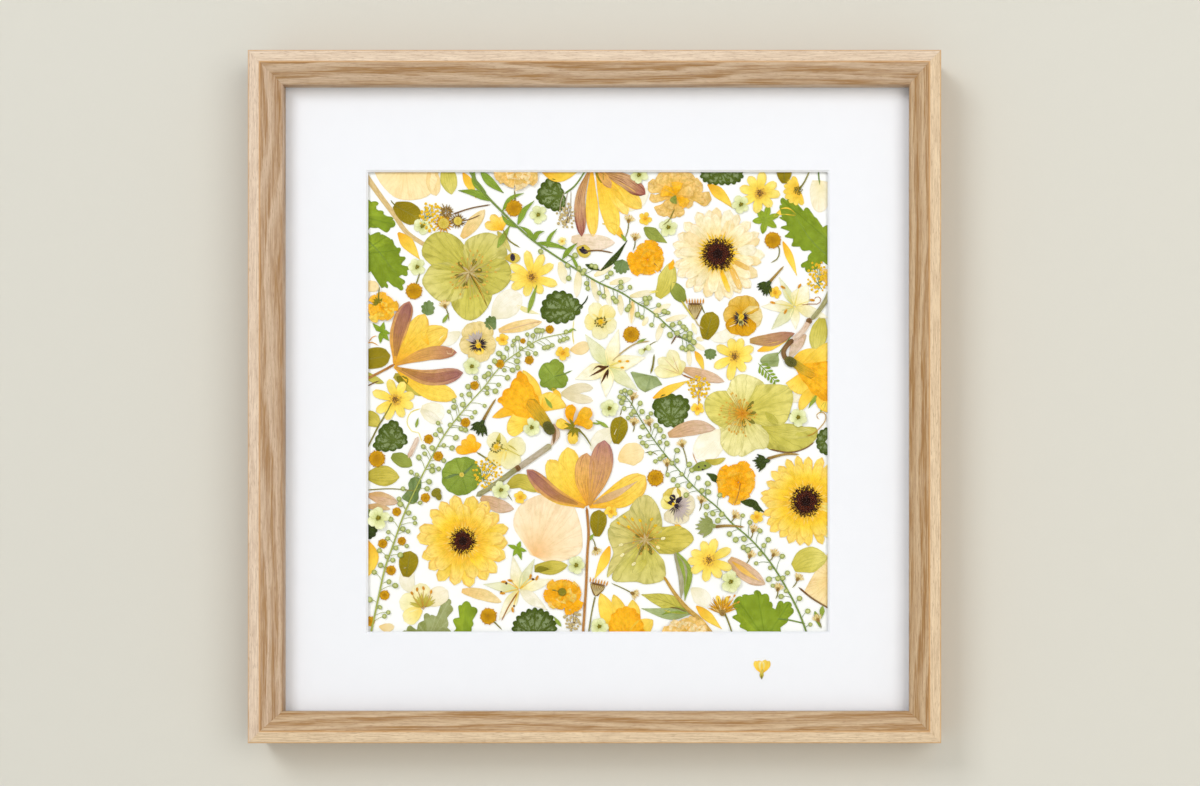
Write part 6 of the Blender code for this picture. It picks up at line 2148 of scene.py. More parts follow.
def large_petals_and_leaves() -> list[Specimen]:
    """The two large loose petals, the lobed, scalloped and round leaves."""
    return [
        Specimen("large_peach_petal", "peach_petal", 0.3, (
            Blade((-50, -121), ((-53, -120), (-59, -110), (-66.5, -97), (-63, -83), (-50, -74),
                  (-35, -72.5), (-21, -79), (-15, -92), (-12.5, -105), (-14, -118), (-29, -125),
                  (-42, -125)), Dye.BROAD_PEACH, Skin.FINE_PETAL),
        ), "peach_petal_large"),
        Specimen("top_peach_petal", "peach_petal", 0.15, (
            Blade((-151, 191), ((-178, 186), (-171, 172), (-160, 161), (-148, 158.5), (-135, 161),
                  (-128, 169), (-124, 186)), Dye.PEACH, Skin.FINE_PETAL),
            Petal(((-131, 186), (-129, 170), (-127, 162)), 11, Dye.PEACH_WARM, Shape.OVAL, Skin.FINE_PETAL),
        ), "peach_petal_top"),
        Specimen("lobed_leaf_green_left", "leaf_green", 0.25, (
            Blade((-187, 146), ((-187, 160), (-178, 159), (-172, 156), (-173, 151), (-168, 150), (-165, 146),
                  (-160, 145), (-159, 140), (-161, 136), (-167, 133), (-172, 137), (-187, 132)),
                  Dye.BRIGHT_LEAF, Skin.LOBED, False, 8, 0.09),
            Blade((-187, 116), ((-187, 136), (-176, 133), (-170, 134), (-166, 130), (-161, 129), (-160, 124),
                  (-155, 122), (-155, 116), (-151, 114), (-152, 108), (-147, 105), (-150, 99), (-155, 99),
                  (-151, 94), (-153, 88), (-158, 88), (-162, 92), (-165, 95), (-165, 89), (-170, 89),
                  (-172, 95), (-174, 100), (-187, 101)), Dye.BRIGHT_LEAF, Skin.LOBED, False, 15, 0.08),
            Stalk(((-184, 130), (-172, 118), (-158, 100)), 0.7, Dye.GREEN_STEM, 0.4),
        ), "lobed_leaf_left"),
        Specimen("lobed_leaf_green_right", "leaf_green", 0.45, (
            Blade((186, 122), ((186, 137), (178, 140), (172, 141), (172, 146), (168, 145), (167, 151),
                  (162, 153), (157, 151), (157, 157), (151, 160), (145, 161), (141, 155), (143, 150),
                  (141, 145), (146, 142), (143, 137), (147, 134), (146, 130), (151, 127), (152, 122),
                  (157, 121), (162, 118), (166, 118), (163, 112), (160, 110), (159, 105), (163, 102),
                  (170, 102), (174, 107), (186, 107)), Dye.BRIGHT_LEAF, Skin.LOBED, False, 18, 0.09),
            Stalk(((184, 112), (168, 126), (152, 150)), 0.8, Dye.GREEN_STEM, 0.4),
        ), "lobed_leaf_right"),
        Specimen("lobed_leaf_green_low_right", "leaf_green", 0.25, (
            Stalk(((140, -170), (150, -171), (163, -174)), 1.3, Dye.GREEN_STEM),
            Blade((131, -186), ((120, -186), (116, -180), (111, -177), (111, -172), (105, -169),
                  (107, -163), (104, -157), (108, -154), (112, -150), (118, -151), (121, -148),
                  (126, -147.5), (131, -149), (134, -152), (137, -156), (137, -162), (140, -158),
                  (144, -155), (149, -156), (154, -160), (153, -166), (150, -171), (145, -177),
                  (142, -186)), Dye.BRIGHT_LEAF, Skin.LOBED, False, 14, 0.1),
        ), "lobed_leaf_low_right"),
        Specimen("columbine_leaf_green", "leaf_green", 0.25, (
            Blade((-133, -186), ((-156, -186), (-153, -178), (-147, -175), (-144, -178), (-140, -172),
                  (-136, -166), (-131, -165), (-127, -168), (-124, -160), (-119, -154), (-114, -157),
                  (-114, -164), (-118, -170), (-116, -176), (-114, -186)), Dye.OLIVE_SAGE, Skin.LOBED,
                  False, 10, 0.12),
            Blade((-107, -186), ((-118, -186), (-113, -178), (-114, -171), (-109, -166), (-110, -159),
                  (-104, -156), (-99, -158), (-95, -162), (-95, -167), (-99, -170), (-97, -175),
                  (-99, -180), (-104, -186)), Dye.BRIGHT_LEAF, Skin.LOBED, False, 7, 0.12),
        ), "columbine_leaf"),
        Specimen("scalloped_leaf_dark_top", "leaf_dark", 0.3, (
            Stalk(((-27, 163), (-18, 170), (-9, 183)), 1.4, Dye.GREEN_STEM),
            Blade((-29, 163), ((-26, 163), (-30, 172), (-38, 176), (-45, 171), (-49, 160), (-42, 153),
                  (-31, 149), (-25, 155)), Dye.SILVERED, Skin.PATCHED, True, 13, 0.1),
        ), "scalloped_leaf_top"),
        Specimen("scalloped_leaf_dark_centre", "leaf_dark", 0.3, (
            Stalk(((-18, 71), (-10, 79), (-8, 84)), 1.2, Dye.DARK_LEAF),
            Blade((-20, 72), ((-46, 69), (-44, 79), (-36, 87), (-25, 87), (-15, 80), (-12, 73), (-20, 64),
                  (-30, 61), (-41, 63)), Dye.SILVERED, Skin.PATCHED, True, 14, 0.1),
        ), "scalloped_leaf_centre"),
        Specimen("scalloped_leaf_dark_left", "leaf_dark", 0.3, (
            Blade((-161, -31), ((-171, -19), (-160, -13.5), (-153, -22), (-149, -31), (-158, -38),
                  (-171, -39), (-177, -35), (-174, -26)), Dye.SILVERED, Skin.PATCHED, True, 13, 0.1),
        ), "scalloped_leaf_left"),
        Specimen("scalloped_leaf_dark_right", "leaf_dark", 0.3, (
            Blade((57, -14), ((42, 0), (51, 6), (64, 6), (72, 0), (70, -12), (62, -20), (49, -18), (43, -8)),
                  Dye.SILVERED, Skin.PATCHED, True, 13, 0.1),
        ), "scalloped_leaf_right"),
        Specimen("round_leaf_green_centre", "leaf_green", 0.3, (
            Stalk(((-35, 20), (-27, 22), (-20, 25)), 1.2, Dye.GREEN_STEM),
            Blade((-35, 20), ((-47, 27), (-38, 33), (-29, 33), (-25, 22), (-23, 15), (-30, 10), (-38, 9),
                  (-46, 14)), Dye.LEAF, Skin.LOBED, True, 8, 0.14),
        ), "round_leaf_centre"),
        Specimen("round_leaf_green_low", "leaf_green", 0.4, (
            Blade((-107, -57), ((-123, -59), (-122, -52), (-117, -46), (-108, -43), (-99, -44), (-93, -51),
                  (-91, -60), (-97, -69), (-107, -73.5), (-116, -71), (-122, -65)), Dye.LEAF, Skin.LOBED,
                  True, 12, 0.04),
            Petal(((-121, -60), (-112, -57), (-107, -57)), 2.2, Dye.DUSK_SAGE, Shape.LANCE, Skin.LEAF),
            Petal(((-108, -58), (-103, -54), (-97, -48)), 2.0, Dye.DUSK_SAGE, Shape.LANCE, Skin.LEAF),
            Bead((-107, -57), 2.0, Dye.KHAKI_YELLOW, height=0.25),
        ), "round_leaf_low"),
    ]


# ---------------------------------------------------------------- seed sprays


def seed_sprays() -> list[Specimen]:
    """The three long seed sprays, each pod where it lies."""
    left_pods = (
        (-179, -155), (-171, -161), (-164.5, -165), (-167.5, -168), (-159, -144), (-164, -141),
        (-175.5, -133.5),
        (-170.5, -128), (-161, -124), (-165.5, -121.5), (-155, -120), (-171.5, -116.5), (-158.5, -114.5),
        (-150, -113), (-165, -107), (-164.5, -102), (-149, -101.5), (-153, -99.5), (-143.5, -95), (-144, -91),
        (-162.5, -92), (-148.5, -87), (-155, -80), (-156, -76), (-139.5, -79), (-153, -68), (-134, -68),
        (-132.5, -62.5), (-142, -57), (-146.5, -55), (-125, -52.5), (-130, -54), (-130, -50), (-121, -46),
        (-140.5, -43.5), (-136, -40.5), (-130, -36), (-137, -35), (-114.5, -36), (-121, -34), (-111.5, -28),
        (-127.5, -25.5), (-124, -22), (-104, -22), (-107.5, -21), (-116, -18), (-125.5, -16.5), (-109, -13.5),
        (-99, -12), (-96.5, -8), (-117, -7.5), (-113, -4), (-106, -2), (-113, 1), (-89, -3), (-107, 5.5),
        (-101, 6), (-102, 12), (-96, 19), (-87, 7), (-87, 11), (-80.5, 8.5), (-78, 13.5), (-89, 20),
        (-86, 22),
        (-85, 27.5), (-73.5, 25), (-67, 25), (-63, 27), (-71, 19), (-81, 32), (-74, 35), (-63.5, 32),
        (-62.5, 37), (-77.5, 38), (-71.5, 42), (-60.5, 42), (-55, 38), (-49, 38), (-67, 44.5), (-66, 48),
        (-54, 46), (-52, 44), (-63, 50), (-51, 52), (-55.5, 53), (-48, 56), (-46, 56), (-43.5, 56),
        (-42, 42.5),
        (-39.5, 43), (-36, 44.5), (-30, 48), (-27, 49), (-24, 50), (-25, 55),
    )
    left_stem = (
        (-179, -185), (-172, -152), (-167, -130), (-160, -110), (-153, -90), (-144, -70), (-132, -46),
        (-118, -22),
        (-100, 0), (-90, 11), (-80, 24), (-70, 34), (-50, 47), (-40, 51), (-20, 55),
    )
    top_pods = (
        (-45, 118), (-18, 115), (-24, 107), (-23, 97), (-15, 105), (-11, 103), (-12, 101), (-9, 93), (-8, 89),
        (-5, 107), (-2, 106), (7, 98), (10, 101), (18, 94), (18, 90), (25, 90), (1, 85.5), (4.5, 83),
        (12, 81.5),
        (14, 79), (24.5, 75), (23, 72.5), (31, 68.5), (34.5, 66.5), (37, 81), (40.5, 81.5), (38, 77.5),
        (47.5, 76),
        (46, 68), (52, 71), (55, 70), (42, 60.5), (51, 60), (56.5, 52.5), (58.5, 60.5), (64, 62), (67, 59),
        (69, 57), (62, 54), (68, 51.5), (72, 53.5), (72, 50), (75, 47), (66, 42.5), (69, 41), (72, 43),
        (74, 41.5),
    )
    top_stem = (
        (-103, 185), (-90, 165), (-73, 147), (-55, 130), (-40, 119), (-20, 106), (0, 94), (18, 86), (30, 78),
        (42, 71), (60, 55), (70, 48), (76, 46),
    )
    right_pods = (
        (18, 8), (21, 9), (25, 7.5), (17, 4), (20, 3), (18.5, -0.5), (20.5, -5), (33, -1), (28, -7.5),
        (26, -9.5),
        (23.5, -12.5), (34.5, -7.5), (41.5, -9), (39, -12), (35, -19.5), (45.5, -18.5), (48.5, -22),
        (33, -27.5),
        (39.5, -26.5), (51.5, -27), (48.5, -31.5), (54, -32.5), (35, -32), (38, -34.5), (41, -40),
        (51, -42.5),
        (48.5, -44.5), (45, -46.5), (62, -38), (62, -46), (58, -48), (71.5, -49), (73.5, -53.5),
        (65.5, -56.5),
        (54.5, -57), (78.5, -59.5), (59, -61), (62.5, -65.5), (71.5, -65.5), (86, -64), (81.5, -69.5),
        (86.5, -70.5), (69, -73), (95.5, -73), (85, -82), (90, -87.5), (84.5, -88), (97, -88), (113.5, -89),
        (119, -94.5), (94, -93), (127, -101), (103, -103.5), (108, -108), (114.5, -107.5), (133.5, -108),
        (130, -112.5), (114, -114), (117.5, -116), (127, -119), (144.5, -121), (124, -126.5), (135, -130),
        (148.5, -134), (134, -139), (141, -138.5), (145, -138), (137, -144), (147.5, -148), (143.5, -152.5),
        (158, -154), (164.5, -164), (166.5, -174.5),
    )
    right_stem = (
        (165, -185), (158, -166), (150, -150), (140, -133), (130, -119), (118, -106), (105, -95), (94, -83),
        (82, -73), (72, -63), (62, -52), (55, -44), (47, -34), (40, -24), (33, -13), (26, -1), (21, 5),
    )
    leaves = (
        ((-84, 158), (-97, 164), (-110, 166), 6), ((-88, 164), (-97, 173), (-97, 184), 5),
        ((-92, 181), (-84, 172), (-74, 164), 7), ((-75, 150), (-68, 160), (-58, 164), 4),
        ((-63, 139), (-58, 150), (-50, 158), 5), ((-64, 137), (-72, 142), (-76, 148), 4),
        ((-50, 127), (-55, 134), (-62, 138), 4), ((-50, 126), (-48, 132), (-42, 134), 4),
        ((-48, 125), (-34, 123), (-22, 119), 4), ((-40, 121), (-38, 129), (-32, 136), 3.5),
        ((-28, 112), (-23, 119), (-16, 125), 4), ((-15, 103), (-20, 113), (-25, 116), 2.5),
    )
    return [
        Specimen("seed_spray_piece_left", "seed_spray", 0.9, (
            SeedSpray(left_stem, left_pods, 1.5, dye=Dye.SPRAY_PALE),
            Petal(((-24, 54), (-20, 57), (-17, 56)), 2.2, Dye.LEAF, Shape.LANCE, Skin.LEAF),
        ), "seed_spray_left"),
        Specimen("seed_spray_piece_top", "seed_spray", 0.9, (
            SeedSpray(top_stem, top_pods, 1.9),
            *(Petal((root, bend, tip), width, Dye.SPRAY_LEAF, Shape.LANCE, Skin.LEAF)
              for root, bend, tip, width in leaves),
        ), "seed_spray_top"),
        Specimen("seed_spray_piece_right", "seed_spray", 0.9, (
            SeedSpray(right_stem, right_pods, 1.5),
        ), "seed_spray_right"),
    ]


# ---------------------------------------------------------------- small specimens, grouped by kind


def small_flowers() -> list[Specimen]:
    """Celandines, buttons, florets and the other small flowers between the large ones."""
    celandines = (
        ((-52, 98), ((-56, 119), (-43, 116), (-35, 108), (-32, 92), (-44, 85), (-57, 83), (-68, 89),
         (-70, 98), (-69, 108))),
        ((127, 164), ((118, 177), (129, 181), (140, 172), (143, 163), (136, 153), (124, 148), (113, 156),
                      (111, 168))),
        ((-159, 2), ((-164, 18), (-152, 16), (-144, 6), (-145, -4), (-153, -12), (-166, -14), (-174, -8),
                     (-177, 8))),
        ((107, 36), ((104, 50), (113, 50), (122, 43), (121, 34), (115, 24), (103, 17), (91, 27), (93, 44))),
        ((87, -124), ((92, -107), (82, -109), (73, -117), (70, -125), (73, -134), (84, -141), (96, -138),
                      (105, -131), (104, -115))),
    )
    centres = tuple(centre for centre, _ in celandines)
    stars = tuple(Star(centre, tips, 7.0, Dye.LEMON_YELLOW, Shape.OAR) for centre, tips in celandines)
    tufts = tuple(Tuft(centre, 16, 4.6, anther=Dye.DRY_ANTHER, size=0.6) for centre in centres)
    hearts = tuple(Florets(centre, 0, 2.4, 16, 0.55, Dye.BROWN) for centre in centres)
    yellow = ((37, 144), (139, 86), (-75, 49), (78, -5), (-61, -75), (10, -86), (124.5, -90))
    pale_green = (
        (-142, 106), (-138, 138), (-47, 147), (55, 137), (112, 155), (32, 178), (-99, 28), (-52, -20),
        (9, -5),
        (157, -12), (-76, -69), (-17, -128), (1, -176),
    )
    large_green = ((104, -141), (-172, -91))
    return [
        Specimen("celandines", "yellow_petal", 0.45, (
            Stalk(((-161, 1), (-167, -10), (-173, -20), (-182, -38)), 1.4, Dye.OLIVE_STEM),
            *stars, *tufts, *hearts), step=0.012),
        Specimen("small_yellow_flowers", "yellow_petal", 0.6, (
            *(SmallFlower(spot, 5.2, 5, Dye.YELLOW) for spot in yellow),
            SmallFlower((-27.5, 38.5), 6.0, 5, Dye.YELLOW),
            SmallFlower((-28, 126), 3.4, 5, Dye.PALE_YELLOW),
        ), step=0.01),
        Specimen("green_florets", "green_petal", 0.35, (
            Stalk(((157, -12), (153, -11), (149, -7)), 0.8, Dye.OLIVE_STEM),
            Stalk(((-76, -69), (-72, -71), (-67, -78)), 0.8, Dye.OLIVE_STEM),
            Stalk(((37, 41), (42, 46), (47, 48)), 0.8, Dye.OLIVE_STEM),
            *(SmallFlower(spot, 7.4, 5, Dye.FLORET_GREEN, Dye.OLIVE, width=0.86, core=0.2)
              for spot in pale_green),
            *(SmallFlower(spot, 8.8, 5, Dye.FLORET_GREEN, Dye.OLIVE, width=0.88, core=0.2)
              for spot in large_green),
            SmallFlower((37, 41), 5.5, 2, Dye.FLORET_GREEN, Dye.OLIVE),
        ), step=0.01),
        Specimen("button_flowers", "orange_petal", 0.6, (
            Stalk(((-144.5, 87), (-142, 95), (-139.5, 102)), 1.2, Dye.OLIVE_STEM),
            Stalk(((-66, 152), (-65, 160), (-66, 167)), 1.2, Dye.OLIVE_STEM),
            Stalk(((137, 127), (142, 121), (141, 113), (135, 109)), 1.0, Dye.OLIVE_STEM),
            Stalk(((-86, -168), (-80, -174), (-75, -179)), 1.2, Dye.OLIVE_STEM),
            *(Button(spot, 6.6) for spot in ((-144.5, 87), (-66, 152), (137, 127), (26, 53), (45, -59.5),
                                             (-173.5, -44.5), (-86, -168))),
            *(Button(spot, size) for spot, size in (
                ((-38, 57), 3.4), ((-59, 48), 2.2), ((-54, 33), 3.6), ((-77, 30), 3.6), ((-97, 13), 3.6),
                ((-104, -16), 3.8), ((-133, -29), 3.8), ((-125.5, -42.5), 4.0), ((-135.5, -75), 3.8),
                ((-158, -86), 3.6), ((-169, -111), 3.8), ((-154, -109), 3.4), ((-162.5, -132), 4.0),
                ((-167.5, -151.5), 4.0), ((-179, -172), 4.0))),
        ), step=0.01),
        Specimen("orange_doubles", "orange_petal", 0.5, (
            Stalk(((39, 112), (45, 108), (50, 101)), 0.9, Dye.BROWN),
            RaggedDouble((39, 112), (15.5, 16), Dye.DEEP_ORANGE, 10, (Dye.ORANGE,)),
            RaggedDouble((110, -63), (17, 18), Dye.DEEP_ORANGE, 10, (Dye.ORANGE,)),
            Stalk(((112, -62), (110, -72), (107, -81)), 0.8, Dye.RUST_STEM),
            Stalk(((-28, -149), (-33, -148), (-38, -147)), 1.2, Dye.OLIVE_STEM),
            RaggedDouble((-27, -151), (17, 16), Dye.DEEP_ORANGE, 10, (Dye.ORANGE, Dye.GOLD_RAY)),
            Bead((-28, -149), 3.4, Dye.OLIVE),
            RaggedDouble((-169, 74), (13, 13), Dye.ORANGE, 8, (Dye.YELLOW,)),
            Spikes((-172, 77), 6, 0.5, 6, 2.2, Dye.OLIVE, 60, 130),
            Stalk(((-172, 78), (-172, 84), (-171, 91)), 1.2, Dye.OLIVE_STEM),
            RaggedDouble((-65, 180), (21, 13), Dye.PEACH_ORANGE, 10, (Dye.PEACH,)),
            RaggedDouble((70, -180), (19, 12), Dye.PEACH_ORANGE, 10, (Dye.PEACH,)),
            Petal(((-20, -18), (-22, -10), (-20, -2)), 8, Dye.DEEP_ORANGE, Shape.SPOON, Skin.PAPERY),
            Petal(((-19, -18), (-12, -12), (-6, -5)), 10, Dye.ORANGE, Shape.SPOON, Skin.PAPERY),
            Petal(((-19, -19), (-27, -18), (-32, -14)), 8, Dye.YELLOW, Shape.SPOON, Skin.PAPERY),
            Petal(((-18, -20), (-20, -27), (-18, -33)), 8, Dye.YELLOW, Shape.SPOON, Skin.PAPERY),
            Petal(((-16, -18), (-10, -17), (-4, -19)), 8, Dye.ORANGE, Shape.SPOON, Skin.PAPERY),
            Spikes((-18, -20), 7, 0.5, 9, 2.4, Dye.OLIVE, 120, 200),
            Stalk(((-16, -21), (-10, -27), (-5, -35)), 1.3, Dye.OLIVE_STEM),
        ), step=0.012),
        Specimen("trumpet_flowers", "orange_petal", 0.4, (
            Stalk(((-75, 136), (-70, 127), (-61, 121)), 1.3, Dye.OLIVE_STEM),
            *(Petal(((-75, 135), tip), 7, Dye.GOLD_RAY, Shape.SPOON) for tip in ((-89, 140), (-84, 147),
              (-75, 146))),
            Stalk(((-96, -39), (-88, -44), (-79, -51)), 1.3, Dye.OLIVE_STEM),
            *(Petal(((-96, -39), tip), 7, Dye.ORANGE, Shape.SPOON)
              for tip in ((-112, -37), (-107, -30), (-101, -25), (-95, -31))),
            Stalk(((65, 22), (72, 19), (80, 16)), 1.2, Dye.RUST_STEM),
            *(Petal(((65, 22), tip), 10, Dye.CREAM_LEMON, Shape.TULIP)
              for tip in ((44, 25), (47, 34), (56, 41), (63, 33))),
            *(Stalk(((64, 22), tip), 0.5, Dye.TAN) for tip in ((50, 27), (52, 34), (58, 37))),
        ), step=0.02),
        Specimen("mount_flower", "yellow_petal", 0.05, (
            *(Petal(((128.5, -213), tip), 5.2, Dye.YELLOW, Shape.TULIP)
              for tip in ((123, -203), (134.5, -203), (126, -202.5), (131.5, -202))),
            Petal(((128.5, -213), (128.5, -203)), 5.0, Dye.PALE_YELLOW, Shape.TULIP),
            Petal(((128.3, -217), (128.4, -213), (129.5, -209)), 3.4, Dye.LIME, Shape.LANCE),
            Stalk(((128.3, -217.5), (128.4, -214)), 1.2, Dye.OLIVE_STEM, 0.9),
        ), step=0.03, ground=MOUNT_LOW.y),
    ]


